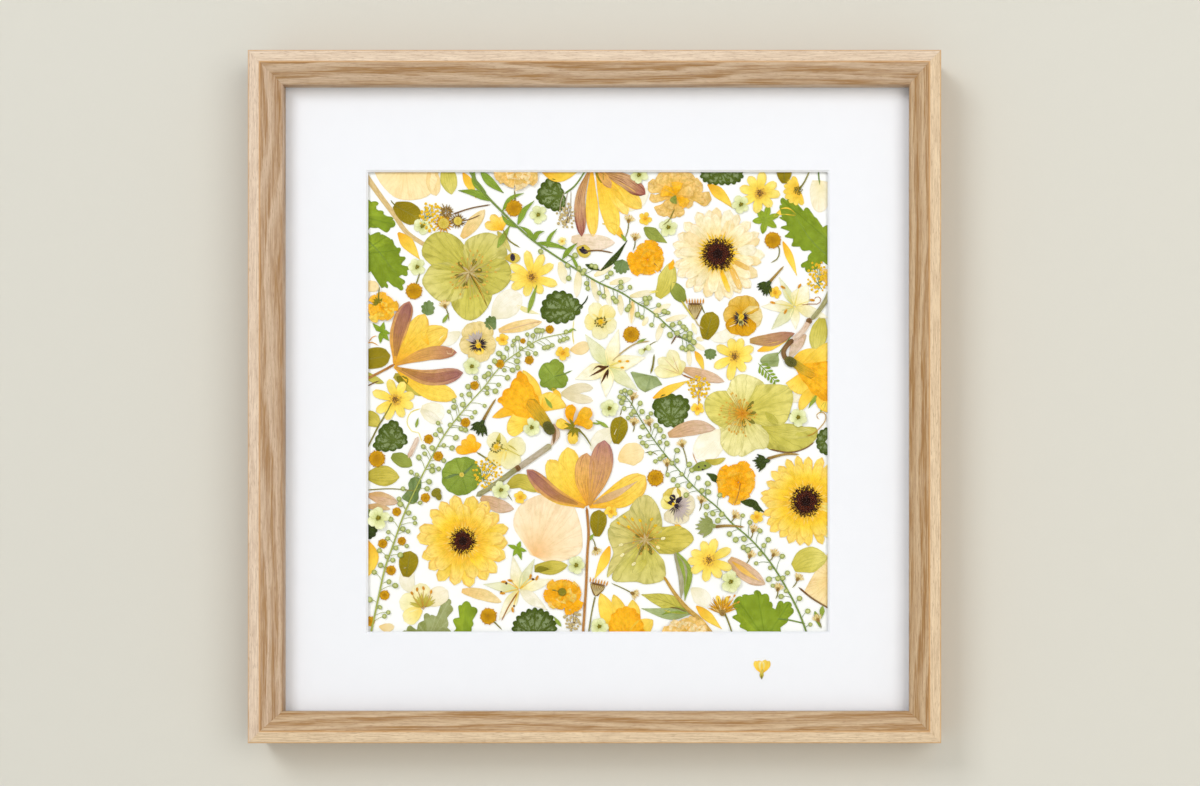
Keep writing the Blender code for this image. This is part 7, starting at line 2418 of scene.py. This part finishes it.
def loose_petals() -> list[Specimen]:
    """Single petals between the flowers, by colour, and the faint ones under them."""
    yellow = (
        ((-106, 180), (-101, 171), (-96, 160), 7), ((-157, 133), (-149, 124), (-140, 112), 10),
        ((86, 171), (97, 162), (106, 152), 9), ((145, 126), (151, 112), (156, 99), 6),
        ((125, 40), (137, 44), (148, 48), 6), ((43, 3), (58, 11), (71, 17), 7), ((9, -113), (4, -126),
            (-3, -139), 8),
        ((77, -160), (88, -170), (97, -178), 8), ((-182, -108), (-178, -124), (-183, -140), 12),
        ((-45, 182), (-30, 177), (-14, 182), 9), ((76, 40), (80, 33), (83, 24), 5.5),
        ((-36, 11), (-31, 4), (-33, -6), 5), ((155, 147), (146, 150), (137, 145), 6), ((20, 128), (12, 138),
            (3, 140), 6),
        ((-133, 45), (-137, 54), (-136, 63), 5), ((60, -94), (66, -102), (72, -104), 5),
    )
    peach = (
        ((-107, 129), (-97, 141), (-89, 151), 10, Dye.PEACH_WARM), ((-21, 128), (-4, 125.5), (13, 125), 13,
            Dye.PINK_CREAM),
        ((-78, 56), (-60, 60), (-44, 63), 9, Dye.PEACH_WARM), ((55, -26), (75, -20), (92, -21), 12,
            Dye.TAN_PINK),
        ((-107, -148), (-91, -151), (-76, -157), 9, Dye.PEACH_WARM), ((103, -123), (119, -136), (131, -143),
            13, Dye.TAN_PINK),
        ((-92, -75), (-79, -81), (-66, -84), 11, Dye.TAN_PINK), ((119, 48), (137, 49), (154, 54), 10,
            Dye.ROSE_TAN),
        ((66, 26), (83, 21), (99, 16), 9, Dye.TAN_PINK), ((-180, -73), (-168, -76), (-157, -79), 10,
                                                          Dye.TAN_PINK),
        ((-183, -82), (-173, -82), (-163, -84), 5, Dye.TAN), ((181, 91), (181, 97), (176, 104), 10,
            Dye.PEACH_ORANGE),
        ((-139, -6), (-131, -10), (-122, -17), 5, Dye.FAINT),
    )
    green = (
        ((-119, 186), (-117, 173), (-115, 163), 13, Dye.LIME_PALE), ((-160, 21), (-150, 16), (-137, 5), 12,
            Dye.LIME),
        ((47, 82), (53, 93), (58, 110), 14, Dye.LIME_PALE), ((68, 79), (64, 84), (58, 94), 11,
            Dye.OLIVE_PALE),
        ((176, 66), (173, 53), (171, 38), 14, Dye.LIME_PALE), ((-181, -58), (-168, -58), (-156, -59), 16,
            Dye.LIME),
        ((-162, -42), (-153, -46), (-146, -50), 11, Dye.OLIVE_PALE), ((-71, -66), (-60, -62), (-46, -70),
            12, Dye.LIME),
        ((-50, -130), (-38, -130), (-24, -128), 11, Dye.LIME), ((153, -130), (165, -124), (180, -122), 20,
            Dye.LIME_PALE),
        ((-185, -10), (-178, -13), (-172, -19), 12, Dye.LIME), ((84, -46), (92, -47), (100, -44), 5,
            Dye.LIME),
        ((-186, 24), (-176, 18), (-168, 15), 6, Dye.KHAKI),
    )
    spray = (
        ((-30, 110), (-26, 93), 7), ((-15, 104), (-17, 82), 6), ((-5, 97), (0, 78), 5), ((-3, 99),
            (11, 107), 5),
        ((9, 93), (26, 97), 5), ((17, 84), (18, 68), 5), ((5, 92), (10, 74), 4.5), ((27, 80), (26, 61), 5.5),
        ((35, 60), (39, 67), 4), ((50, 62), (46, 48), 5), ((25, 83), (45, 87), 5), ((43, 70), (57, 77), 5),
        ((53, 64), (70, 68), 4.5), ((74, 62), (77, 53), 3.5), ((77, 50), (83, 49), 3.5), ((75, 46),
            (84, 41), 4),
        ((71, 41), (72, 28), 4),
    )
    return [
        Specimen("loose_yellow_petals", "yellow_petal", 0.3, (
            *(Petal((root, bend, tip), width, Dye.YELLOW, Shape.LANCE) for root, bend, tip, width in yellow),
        ), step=0.01),
        Specimen("loose_tan_petals", "peach_petal", 0.35, (
            Stalk(((-44, 63), (-52, 62), (-78, 55)), 0.9, Dye.TAN),
            *(Petal((root, bend, tip), width, dye, Shape.SEPAL, Skin.RAY) for root, bend, tip, width,
              dye in peach),
            Petal(((105, -125), (118, -135), (128, -141)), 4, Dye.PEACH_ORANGE, Shape.LANCE),
            Petal(((-180, -72), (-168, -73), (-160, -77)), 4, Dye.TAN, Shape.LANCE),
        ), step=0.01),
        Specimen("loose_green_petals", "green_petal", 0.3, (
            *(Petal((root, bend, tip), width, dye, Shape.SEPAL, Skin.SEPAL) for root, bend, tip, width,
              dye in green),
            Petal(((-158, 20), (-153, 17), (-149, 18)), 7, Dye.OLIVE, Shape.OVAL, Skin.SEPAL),
            Petal(((-50, -133), (-45, -131), (-38, -131)), 5, Dye.OLIVE, Shape.LANCE, Skin.SEPAL),
            Petal(((56, 104), (58, 108), (59, 112)), 5, Dye.ORANGE, Shape.LANCE),
            Petal(((-50, -68), (-45, -70), (-42, -72)), 4, Dye.PEACH_ORANGE, Shape.LANCE),
            Stalk(((65, 80), (69, 74), (76, 64)), 1.6, Dye.LIME),
            Stalk(((-149, -44), (-145, -36), (-141, -27)), 3.6, Dye.PAPER_PINK, 1.0, 0.3),
        ), step=0.015),
        Specimen("faint_petals", "cream_petal", 0.03, (
            Petal(((-83, 66), (-70, 78), (-60, 84)), 21, Dye.FAINT, Shape.OVAL, Skin.FINE_PETAL),
            Petal(((-64, 76), (-56, 72), (-46, 69)), 4, Dye.CREAM_LEMON, Shape.LANCE),
            Petal(((-22, 41), (-14, 42), (-7, 46)), 10, Dye.PEACH, Shape.OVAL, Skin.FINE_PETAL),
            Stalk(((-19, 45), (-20, 54), (-19, 65)), 0.9, Dye.LEMON),
            Petal(((-139, -5), (-130, -8), (-121, -11)), 17, Dye.FAINT, Shape.ROUND, Skin.FINE_PETAL),
            Stalk(((-139, -5), (-147, -8), (-150, -16), (-146, -23), (-141, -24), (-138, -32)), 0.9,
                  Dye.LEMON),
            Petal(((16, -46), (23, -42), (36, -38)), 18, Dye.PEACH, Shape.OVAL, Skin.FINE_PETAL),
            Stalk(((36, -40), (42, -39), (47, -42)), 0.9, Dye.OLIVE_STEM),
            Petal(((97, -22), (86, -35), (77, -44)), 22, Dye.FAINT, Shape.OVAL, Skin.FINE_PETAL),
            Stalk(((74, -39), (76, -45), (79, -50)), 0.9, Dye.TAN),
            Petal(((73, -146), (80, -152), (87, -160)), 13, Dye.FAINT, Shape.OVAL, Skin.FINE_PETAL),
            Stalk(((74, -134), (73, -140), (71, -146)), 0.8, Dye.OLIVE_STEM),
            Blade((186, -137), ((185, -114), (176, -124), (163, -146), (163, -151), (175, -158), (185, -162)),
                  Dye.PEACH_WARM, Skin.FINE_PETAL),
            Blade((174, 174), ((168, 174), (166, 166), (168, 154), (173, 149), (179, 152), (182, 163),
                  (180, 173)), Dye.CREAM, Skin.FINE_PETAL),
            Stalk(((173, 185), (173, 178), (174, 170)), 1.2, Dye.GREEN_STEM),
            Petal(((-185, 91), (-178, 91), (-172, 89)), 9, Dye.PEACH, Shape.OVAL, Skin.FINE_PETAL),
            Petal(((-172, -176), (-166, -177), (-160, -176)), 7, Dye.PEACH, Shape.OVAL, Skin.FINE_PETAL),
            Petal(((-29, 7), (-15, 11), (-4, 11)), 8, Dye.BEIGE, Shape.OVAL, Skin.FINE_PETAL),
            Petal(((-29, 6), (-15, 3), (-4, 1)), 8, Dye.BEIGE, Shape.OVAL, Skin.FINE_PETAL),
            Petal(((-108, 55), (-118, 49), (-125, 47)), 10, Dye.FAINT, Shape.OVAL, Skin.FINE_PETAL),
            Petal(((-145, -150), (-150, -140), (-148, -129)), 12, Dye.FAINT, Shape.OVAL, Skin.FINE_PETAL),
            Petal(((-33, -52), (-24, -56), (-16, -66)), 10, Dye.FAINT, Shape.OVAL, Skin.FINE_PETAL),
            Petal(((14, -20), (2, -30), (-4, -40)), 14, Dye.FAINT, Shape.OVAL, Skin.FINE_PETAL),
            Petal(((152, 0), (160, 8), (161, 18)), 12, Dye.FAINT, Shape.OVAL, Skin.FINE_PETAL),
            Petal(((112, 62), (100, 52), (88, 50)), 10, Dye.FAINT, Shape.OVAL, Skin.FINE_PETAL),
            Petal(((24, 150), (32, 160), (38, 168)), 12, Dye.FAINT, Shape.OVAL, Skin.FINE_PETAL),
        ), step=0.01),
        Specimen("spray_petals", "cream_petal", 0.25, (
            *(Petal((root, tip), width, Dye.CREAM, Shape.SEPAL, Skin.FINE_PETAL) for root, tip,
              width in spray),
            Petal(((27, 79), (26, 62)), 3.4, Dye.PEACH_WARM, Shape.LANCE),
            Petal(((47, 87), (40, 86)), 2.2, Dye.LEMON, Shape.LANCE),
            Stalk(((62, 53), (60, 50), (57, 45)), 1.2, Dye.BROWN),
            Stalk(((61, 51), (64, 51), (68, 49)), 1.0, Dye.BROWN),
        ), step=0.008),
        Specimen("columbine_flower", "cream_petal", 0.3, (
            Petal(((-137, -160), (-140, -142)), 15, Dye.CREAM_LEMON, Shape.ROUND, Skin.FINE_PETAL),
            Petal(((-138, -159), (-156, -156)), 15, Dye.CREAM_LEMON, Shape.ROUND, Skin.FINE_PETAL),
            Petal(((-136, -158), (-118, -148)), 15, Dye.CREAM, Shape.ROUND, Skin.FINE_PETAL),
            Petal(((-139, -162), (-152, -172)), 13, Dye.PALE_YELLOW, Shape.ROUND, Skin.FINE_PETAL),
            Spikes((-137, -161), 11, 1, 11, 2.6, Dye.LIME, 20, 150),
            Stamens((-137, -163), ((-142, -147), (-137, -146), (-146, -150), (-131, -149)), 0.9,
                    Dye.GOLD_STEM, Dye.ANTHER_RUST, 1.1),
        )),
    ]


def small_leaves() -> list[Specimen]:
    """Small leaves, sprigs and fronds, by kind."""
    ovals = (
        ((-150, 149), 9.6, 1.2, -30), ((-178, 34), 9.5, 1.6, 10), ((87, 60), 8.6, 1.3, 75), ((16, -22), 7.8,
            1.4, 80),
        ((0, -95), 7.5, 1.4, 85), ((-149, -127), 8.6, 1.2, 80), ((4, 181), 7.5, 1.2, 90), ((146, 180), 7.0,
            1.2, 90),
    )
    palmate = ((121, 142), (129, 132), (142, 147), (125, 151), (134, 155), (140, 137))
    thin = (
        ((-36, -5), (-42, 4), 3), ((-55, 70), (-48, 92), 4), ((-143, -20), (-141, -12), 2.4), ((-29, -176),
            (-35, -168), 3),
        ((-79, 121), (-69, 139), 5), ((173, 8), (165, -5), 4), ((178, 0), (174, -9), 3), ((176, -160),
            (175, -170), 4),
        ((8, -20), (-2, -14), 3), ((-180, -84), (-178, -92), 4), ((-122, 62), (-117, 70), 3), ((30, 46),
            (38, 50), 2.4),
        ((170, -164), (174, -177), 4), ((-8, -109), (-3, -103), 3), ((22, 126), (18, 132), 3),
    )
    return [
        Specimen("oval_olive_leaves", "leaf_green", 0.4, (
            Stalk(((-157, 153), (-161, 156), (-163, 159)), 1.0, Dye.OLIVE_STEM),
            Stalk(((84, 69), (82, 73), (81, 77)), 1.0, Dye.OLIVE_STEM),
            Stalk(((17, -11), (18, -8), (18, -5)), 0.9, Dye.OLIVE_STEM),
            *(OvalLeaf(centre, radius, stretch, turn) for centre, radius, stretch, turn in ovals),
        ), step=0.01),
        Specimen("small_dark_leaves", "leaf_dark", 0.4, (
            Blade((97, 181), ((80, 184), (80, 176), (86, 171), (97, 170), (108, 171), (114, 176), (114, 184)),
                  Dye.SILVERED, Skin.PATCHED, False, 11, 0.1),
            Blade((178, -31), ((186, -42), (176, -41), (171, -34), (172, -25), (178, -20), (186, -20)),
                  Dye.SILVERED, Skin.PATCHED, False, 9, 0.1),
            Blade((-50, -183), ((-66, -186), (-68, -176), (-62, -166), (-50, -161), (-38, -165), (-32, -175),
                  (-34, -186)), Dye.SILVERED, Skin.PATCHED, False, 13, 0.1),
            Petal(((2, 103), (13, 113), (23, 127)), 4.6, Dye.DARK_LEAF, Shape.LANCE, Skin.LEAF),
            Blade((-183, -101), ((-186, -94), (-176, -95), (-173, -101), (-177, -107), (-186, -108)),
                  Dye.DARK_LEAF, Skin.LOBED, False, 7, 0.12),
            *(Petal(spine, 5.5, Dye.DARK_LEAF, Shape.LANCE, Skin.LEAF, 0.3)
              for spine in (((85, -56), (92, -60), (99, -68)), ((112, -78), (121, -80), (131, -87)),
                            ((118, -76), (125, -84), (124, -90)))),
            Petal(((-10, 108), (2, 103)), 4.0, Dye.DARK_LEAF, Shape.LANCE, Skin.LEAF),
        ), step=0.012),
        Specimen("small_green_leaves", "leaf_green", 0.4, (
            *(Blade(root, outline, Dye.DUSK_SAGE, Skin.LOBED, False, 7, 0.15) for root, outline in (
                ((-134, 68), ((-138, 69), (-139, 75), (-135, 79.5), (-130, 79), (-128, 73), (-130, 68))),
                ((-80, 62), ((-80, 67), (-86, 67.5), (-89.5, 62), (-86, 57), (-80, 57))),
                ((19, 112), ((12.5, 111), (12, 105), (15, 101), (20, 100.5), (24.5, 104), (24.5, 110))),
                ((88, 42), ((84, 41.5), (83, 37), (86, 33.5), (90, 33.5), (93, 37), (92, 41.5))))),
            Blade((-145, -69), ((-147, -60), (-143, -58.5), (-139, -61), (-139, -67), (-141, -71),
                  (-141, -76), (-145, -80), (-150, -78), (-154, -75), (-151, -71), (-148.5, -68),
                  (-149, -64)), Dye.DUSK_SAGE, Skin.LOBED, True),
            Blade((41, 21), ((27, 24), (25.5, 23.2), (26, 22), (31, 12), (36, 8.2), (38, 8.2), (47, 12.6),
                  (50, 13.4), (49.5, 15), (46, 20)), Dye.SAGE_LEAF, Skin.LOBED),
            Stalk(((41, 22), (43, 29), (44, 38)), 1.6, Dye.OLIVE_STEM),
            Petal(((36, 137), (44, 131), (54, 125)), 10, Dye.OLIVE_PALE, Shape.LANCE, Skin.LEAF),
            Blade((142, 33), ((141, 39), (131, 37), (127, 32), (133, 28), (141, 28)), Dye.SAGE, Skin.LOBED),
            Frond(((125, 31), (131, 25), (140, 15)), 6, 6.5, Dye.BRIGHT_SPRIG),
            Stalk(((152, 53), (146, 44), (139, 35)), 0.9, Dye.GREEN_STEM),
            Stalk(((-182, -69), (-162, -68), (-141, -70)), 0.9, Dye.OLIVE_STEM),
            Sprig((131, 143), palmate, 5.4, Dye.BRIGHT_LEAF, Shape.SEPAL),
            Sprig((-170, 55), ((-177, 62), (-168, 63), (-163, 54), (-171, 46), (-164, 48)), 4.2,
                  Dye.BRIGHT_SPRIG),
            Sprig((-63, -115), ((-71, -112), (-67, -121), (-56, -117), (-61, -109), (-60, -124)), 3.6,
                  Dye.BRIGHT_SPRIG),
            Stalk(((157, -145), (168, -154), (183, -163)), 1.5, Dye.BROWN),
            Stalk(((-6, -16), (0, -17), (5, -16)), 1.6, Dye.LEAF),
            Stalk(((-182, 12), (-176, 15), (-171, 17)), 1.0, Dye.BROWN),
            *(Petal((root, tip), width, Dye.LEAF, Shape.LANCE, Skin.LEAF) for root, tip, width in thin),
        ), step=0.01),
    ]


def seed_heads() -> list[Specimen]:
    """Dried buds, seed heads, umbels and calyces."""
    buds = (
        ((24, 142), (21, 128)), ((29, 128), (27, 118)), ((-120, 75), (-117, 63)), ((27, 3), (25, -4)),
        ((28, -17), (27, -24)), ((40, -17), (41, -24)), ((54, -49), (53, -56)), ((66, -34), (70, -52)),
        ((81, -78), (79, -86)), ((107, -90), (103, -95)), ((121.5, -101), (119, -108)), ((119, -121),
            (116, -127)),
        ((137.5, -120), (134, -125)), ((141, -147), (139, -155)), ((156.5, -139), (152, -146)),
        ((172.5, -171), (175, -178)), ((-2, -115), (-5, -106)), ((27, -150), (10, -142)),
    )
    rims = (((76, 77), (76, 65), 12.5), ((0, -143), (-2, -152), 13.0))
    crowns = tuple(Crown(rim, base, width) for rim, base, width in rims)
    calyces = (
        ((131, 90), ((131, 90), (138, 98), (146, 107)), Dye.DARK_LEAF, 10.5),
        ((-93, -20), ((-91, -16), (-85, -5), (-80, 3)), Dye.DARK_LEAF, 10.5),
        ((128, -47), ((131, -45), (146, -41), (158, -41)), Dye.DARK_LEAF, 10.5),
        ((86, -97), ((90, -98), (102, -97), (115, -98)), Dye.OLIVE_SAGE, 13.5),
    )
    return [
        Specimen("dried_buds", "seed_spray", 0.7, (
            *(Stalk((tuple(bud), tuple((Vector(bud) + Vector(end)) / 2 + Vector((0.8, 0))), end), 0.9,
              Dye.OLIVE_STEM) for bud, end in buds),
            *(DriedBud(bud, end) for bud, end in buds),
            Bead((-127, -71), 3.4, Dye.OLIVE, stretch=1.3, turn=40),
            Bead((-125, -74), 2.6, Dye.OLIVE, stretch=1.3, turn=100),
            Petal(((74, -53), (82, -50), (89, -50)), 7, Dye.OLIVE_PALE, Shape.SEPAL, Skin.SEPAL),
            Beads(((79, -51), (84, -50), (82, -53)), 0.8, Dye.BLOTCH),
        ), step=0.008),
        Specimen("crown_seed_heads", "seed_spray", 0.6, (
            Stalk(((76, 66), (78, 61), (83, 57)), 1.2, Dye.STRAW),
            Stalk(((-2, -151), (-5, -165), (-8, -184)), 1.1, Dye.OLIVE_STEM),
            *crowns,
        ), step=0.01),
        Specimen("golden_umbels", "seed_spray", 0.6, (
            Umbel((-137, 142), 9.5, 12, 52, Dye.POLLEN, Dye.GREEN_STEM, 30),
            Umbel((-90, -62), 12, 13, 58, Dye.POLLEN, Dye.GREEN_STEM, 60),
            Umbel((79, 6), 9.5, 10, 44, Dye.POLLEN, Dye.GOLD_STEM, 90),
            Umbel((174, 91), 9, 13, 50, Dye.POLLEN, Dye.GREEN_STEM, 100),
            Umbel((-25, 140), 7.5, 10, 34, Dye.STRAW, Dye.BROWN, 90),
            Umbel((-20, -176), 7, 9, 34, Dye.STRAW, Dye.BROWN, 90),
            Stalk(((79, -4), (79, 3), (79, 8)), 1.3, Dye.GOLD_STEM),
            *(Stalk(((x, 146), (x + 0.5, 156), (x * 0.6 - 8, 166)), 0.7, Dye.GREY_STEM)
              for x in (-30, -26, -22)),
            Stalk(((-186, 44), (-178, 47), (-172, 44)), 0.9, Dye.ANTHER_RUST),
            Stalk(((-180, 47), (-177, 51), (-173, 52)), 0.8, Dye.ANTHER_RUST),
        ), step=0.008),
        Specimen("brown_burrs", "seed_spray", 0.6, (
            Stalk(((-115, 147), (-100, 152), (-84, 155)), 1.2, Dye.BROWN),
            Stalk(((-113, 142), (-102, 143), (-92, 147)), 1.0, Dye.BROWN),
            Burr((-119, 149), 5.6, Dye.BUD_BROWN), Burr((-110, 142), 5.2, Dye.BUD_BROWN), Burr((-121, 140),
                6.6, Dye.DEEP_GOLD),
            Bead((-121, 140), 4.4, Dye.KHAKI_YELLOW), Bead((-110, 142), 3.4, Dye.KHAKI_YELLOW),
            Spikes((-121, 137), 9, 1, 10, 0.8, Dye.DARK_BROWN, 30, 120), Spikes((-110, 139), 7, 1, 8, 0.7,
                Dye.DARK_BROWN, 20, 120),
            Stalk(((-11, 118), (0, 119), (12, 117)), 1.3, Dye.BROWN),
            Petal(((-17, 121), (-6, 116)), 10, Dye.KHAKI_YELLOW, Shape.OVAL, Skin.SEPAL),
            Petal(((-15, 120), (-8, 117)), 4, Dye.BLOTCH, Shape.OVAL), Bead((-12, 121), 1.2, Dye.BLOTCH),
            Petal(((-79, 134), (-73, 125), (-68, 117)), 6, Dye.KHAKI_GREEN, Shape.LANCE, Skin.LEAF),
            Petal(((-73, 113), (-61, 113)), 8, Dye.KHAKI_YELLOW, Shape.OVAL, Skin.SEPAL),
            Bead((-67, 113.5), 2.0, Dye.BLOTCH, stretch=1.6, turn=95),
        ), step=0.012),
        Specimen("side_daisies", "yellow_petal", 0.6, (
            Stalk(((157, 166), (162, 173), (167, 184)), 1.3, Dye.OLIVE_STEM),
            *(Petal(((157, 166), polar((157, 166), 12, math.radians(turn))), 4.4, Dye.YELLOW, Shape.STRAP,
              Skin.RAY) for turn in (110, 135, 160, 185, 210, 235, 260, 285)),
            Florets((157, 166), 0, 3.6, 26, 0.6, Dye.NECTARY),
            Stalk(((98, -163), (102, -172), (106, -184)), 1.4, Dye.OLIVE_STEM),
            *(Petal(((97, -163), polar((97, -163), 12, math.radians(turn))), 3.6, Dye.YELLOW, Shape.STRAP,
              Skin.RAY) for turn in (64, 108)),
            Spikes((97, -166), 17, 1, 14, 1.5, Dye.DEEP_GOLD, 22, 136),
            Spikes((97, -166), 11, 1, 12, 0.8, Dye.BROWN, 24, 132),
            Spikes((97, -166), 9, 1, 9, 1.1, Dye.TUFT, 30, 120),
            Bead((97.5, -165.5), 2.6, Dye.BUD_BROWN, height=0.5),
            Stamens((98, -163), ((107, -152), (103, -153), (110, -157)), 0.6, Dye.ANTHER, Dye.ANTHER_RUST,
                    0.8),
        ), step=0.01),
        Specimen("dark_calyces", "leaf_dark", 0.7, (
            *(Stalk(tube, 2.6, Dye.BUD_BROWN, 0.5, 0.4) for _, tube, _, _ in calyces),
            *(Calyx(centre, tube[-1], dye, size) for centre, tube, dye, size in calyces),
            Petal(((86, -98), (80, -104)), 5, Dye.SAGE_GREY, Shape.OVAL, Skin.LEAF),
            Petal(((86, -98), (78, -96)), 5, Dye.SAGE_GREY, Shape.OVAL, Skin.LEAF),
        ), step=0.02),
    ]


def build_specimens() -> None:
    """Builds every specimen, family by family."""
    families = (round_flowers, hellebores, tulips, daffodils, large_petals_and_leaves, seed_sprays,
                small_flowers, loose_petals, small_leaves, seed_heads)
    for family in families:
        for specimen in family():
            specimen.build()


def main() -> None:
    """Builds the frame, every specimen, the stage and the camera."""
    logging.basicConfig(level=logging.INFO, format="%(name)s %(message)s")
    build_groups()
    FrameBody().build()
    build_specimens()
    Studio().build()


if __name__ == "__main__":
    main()
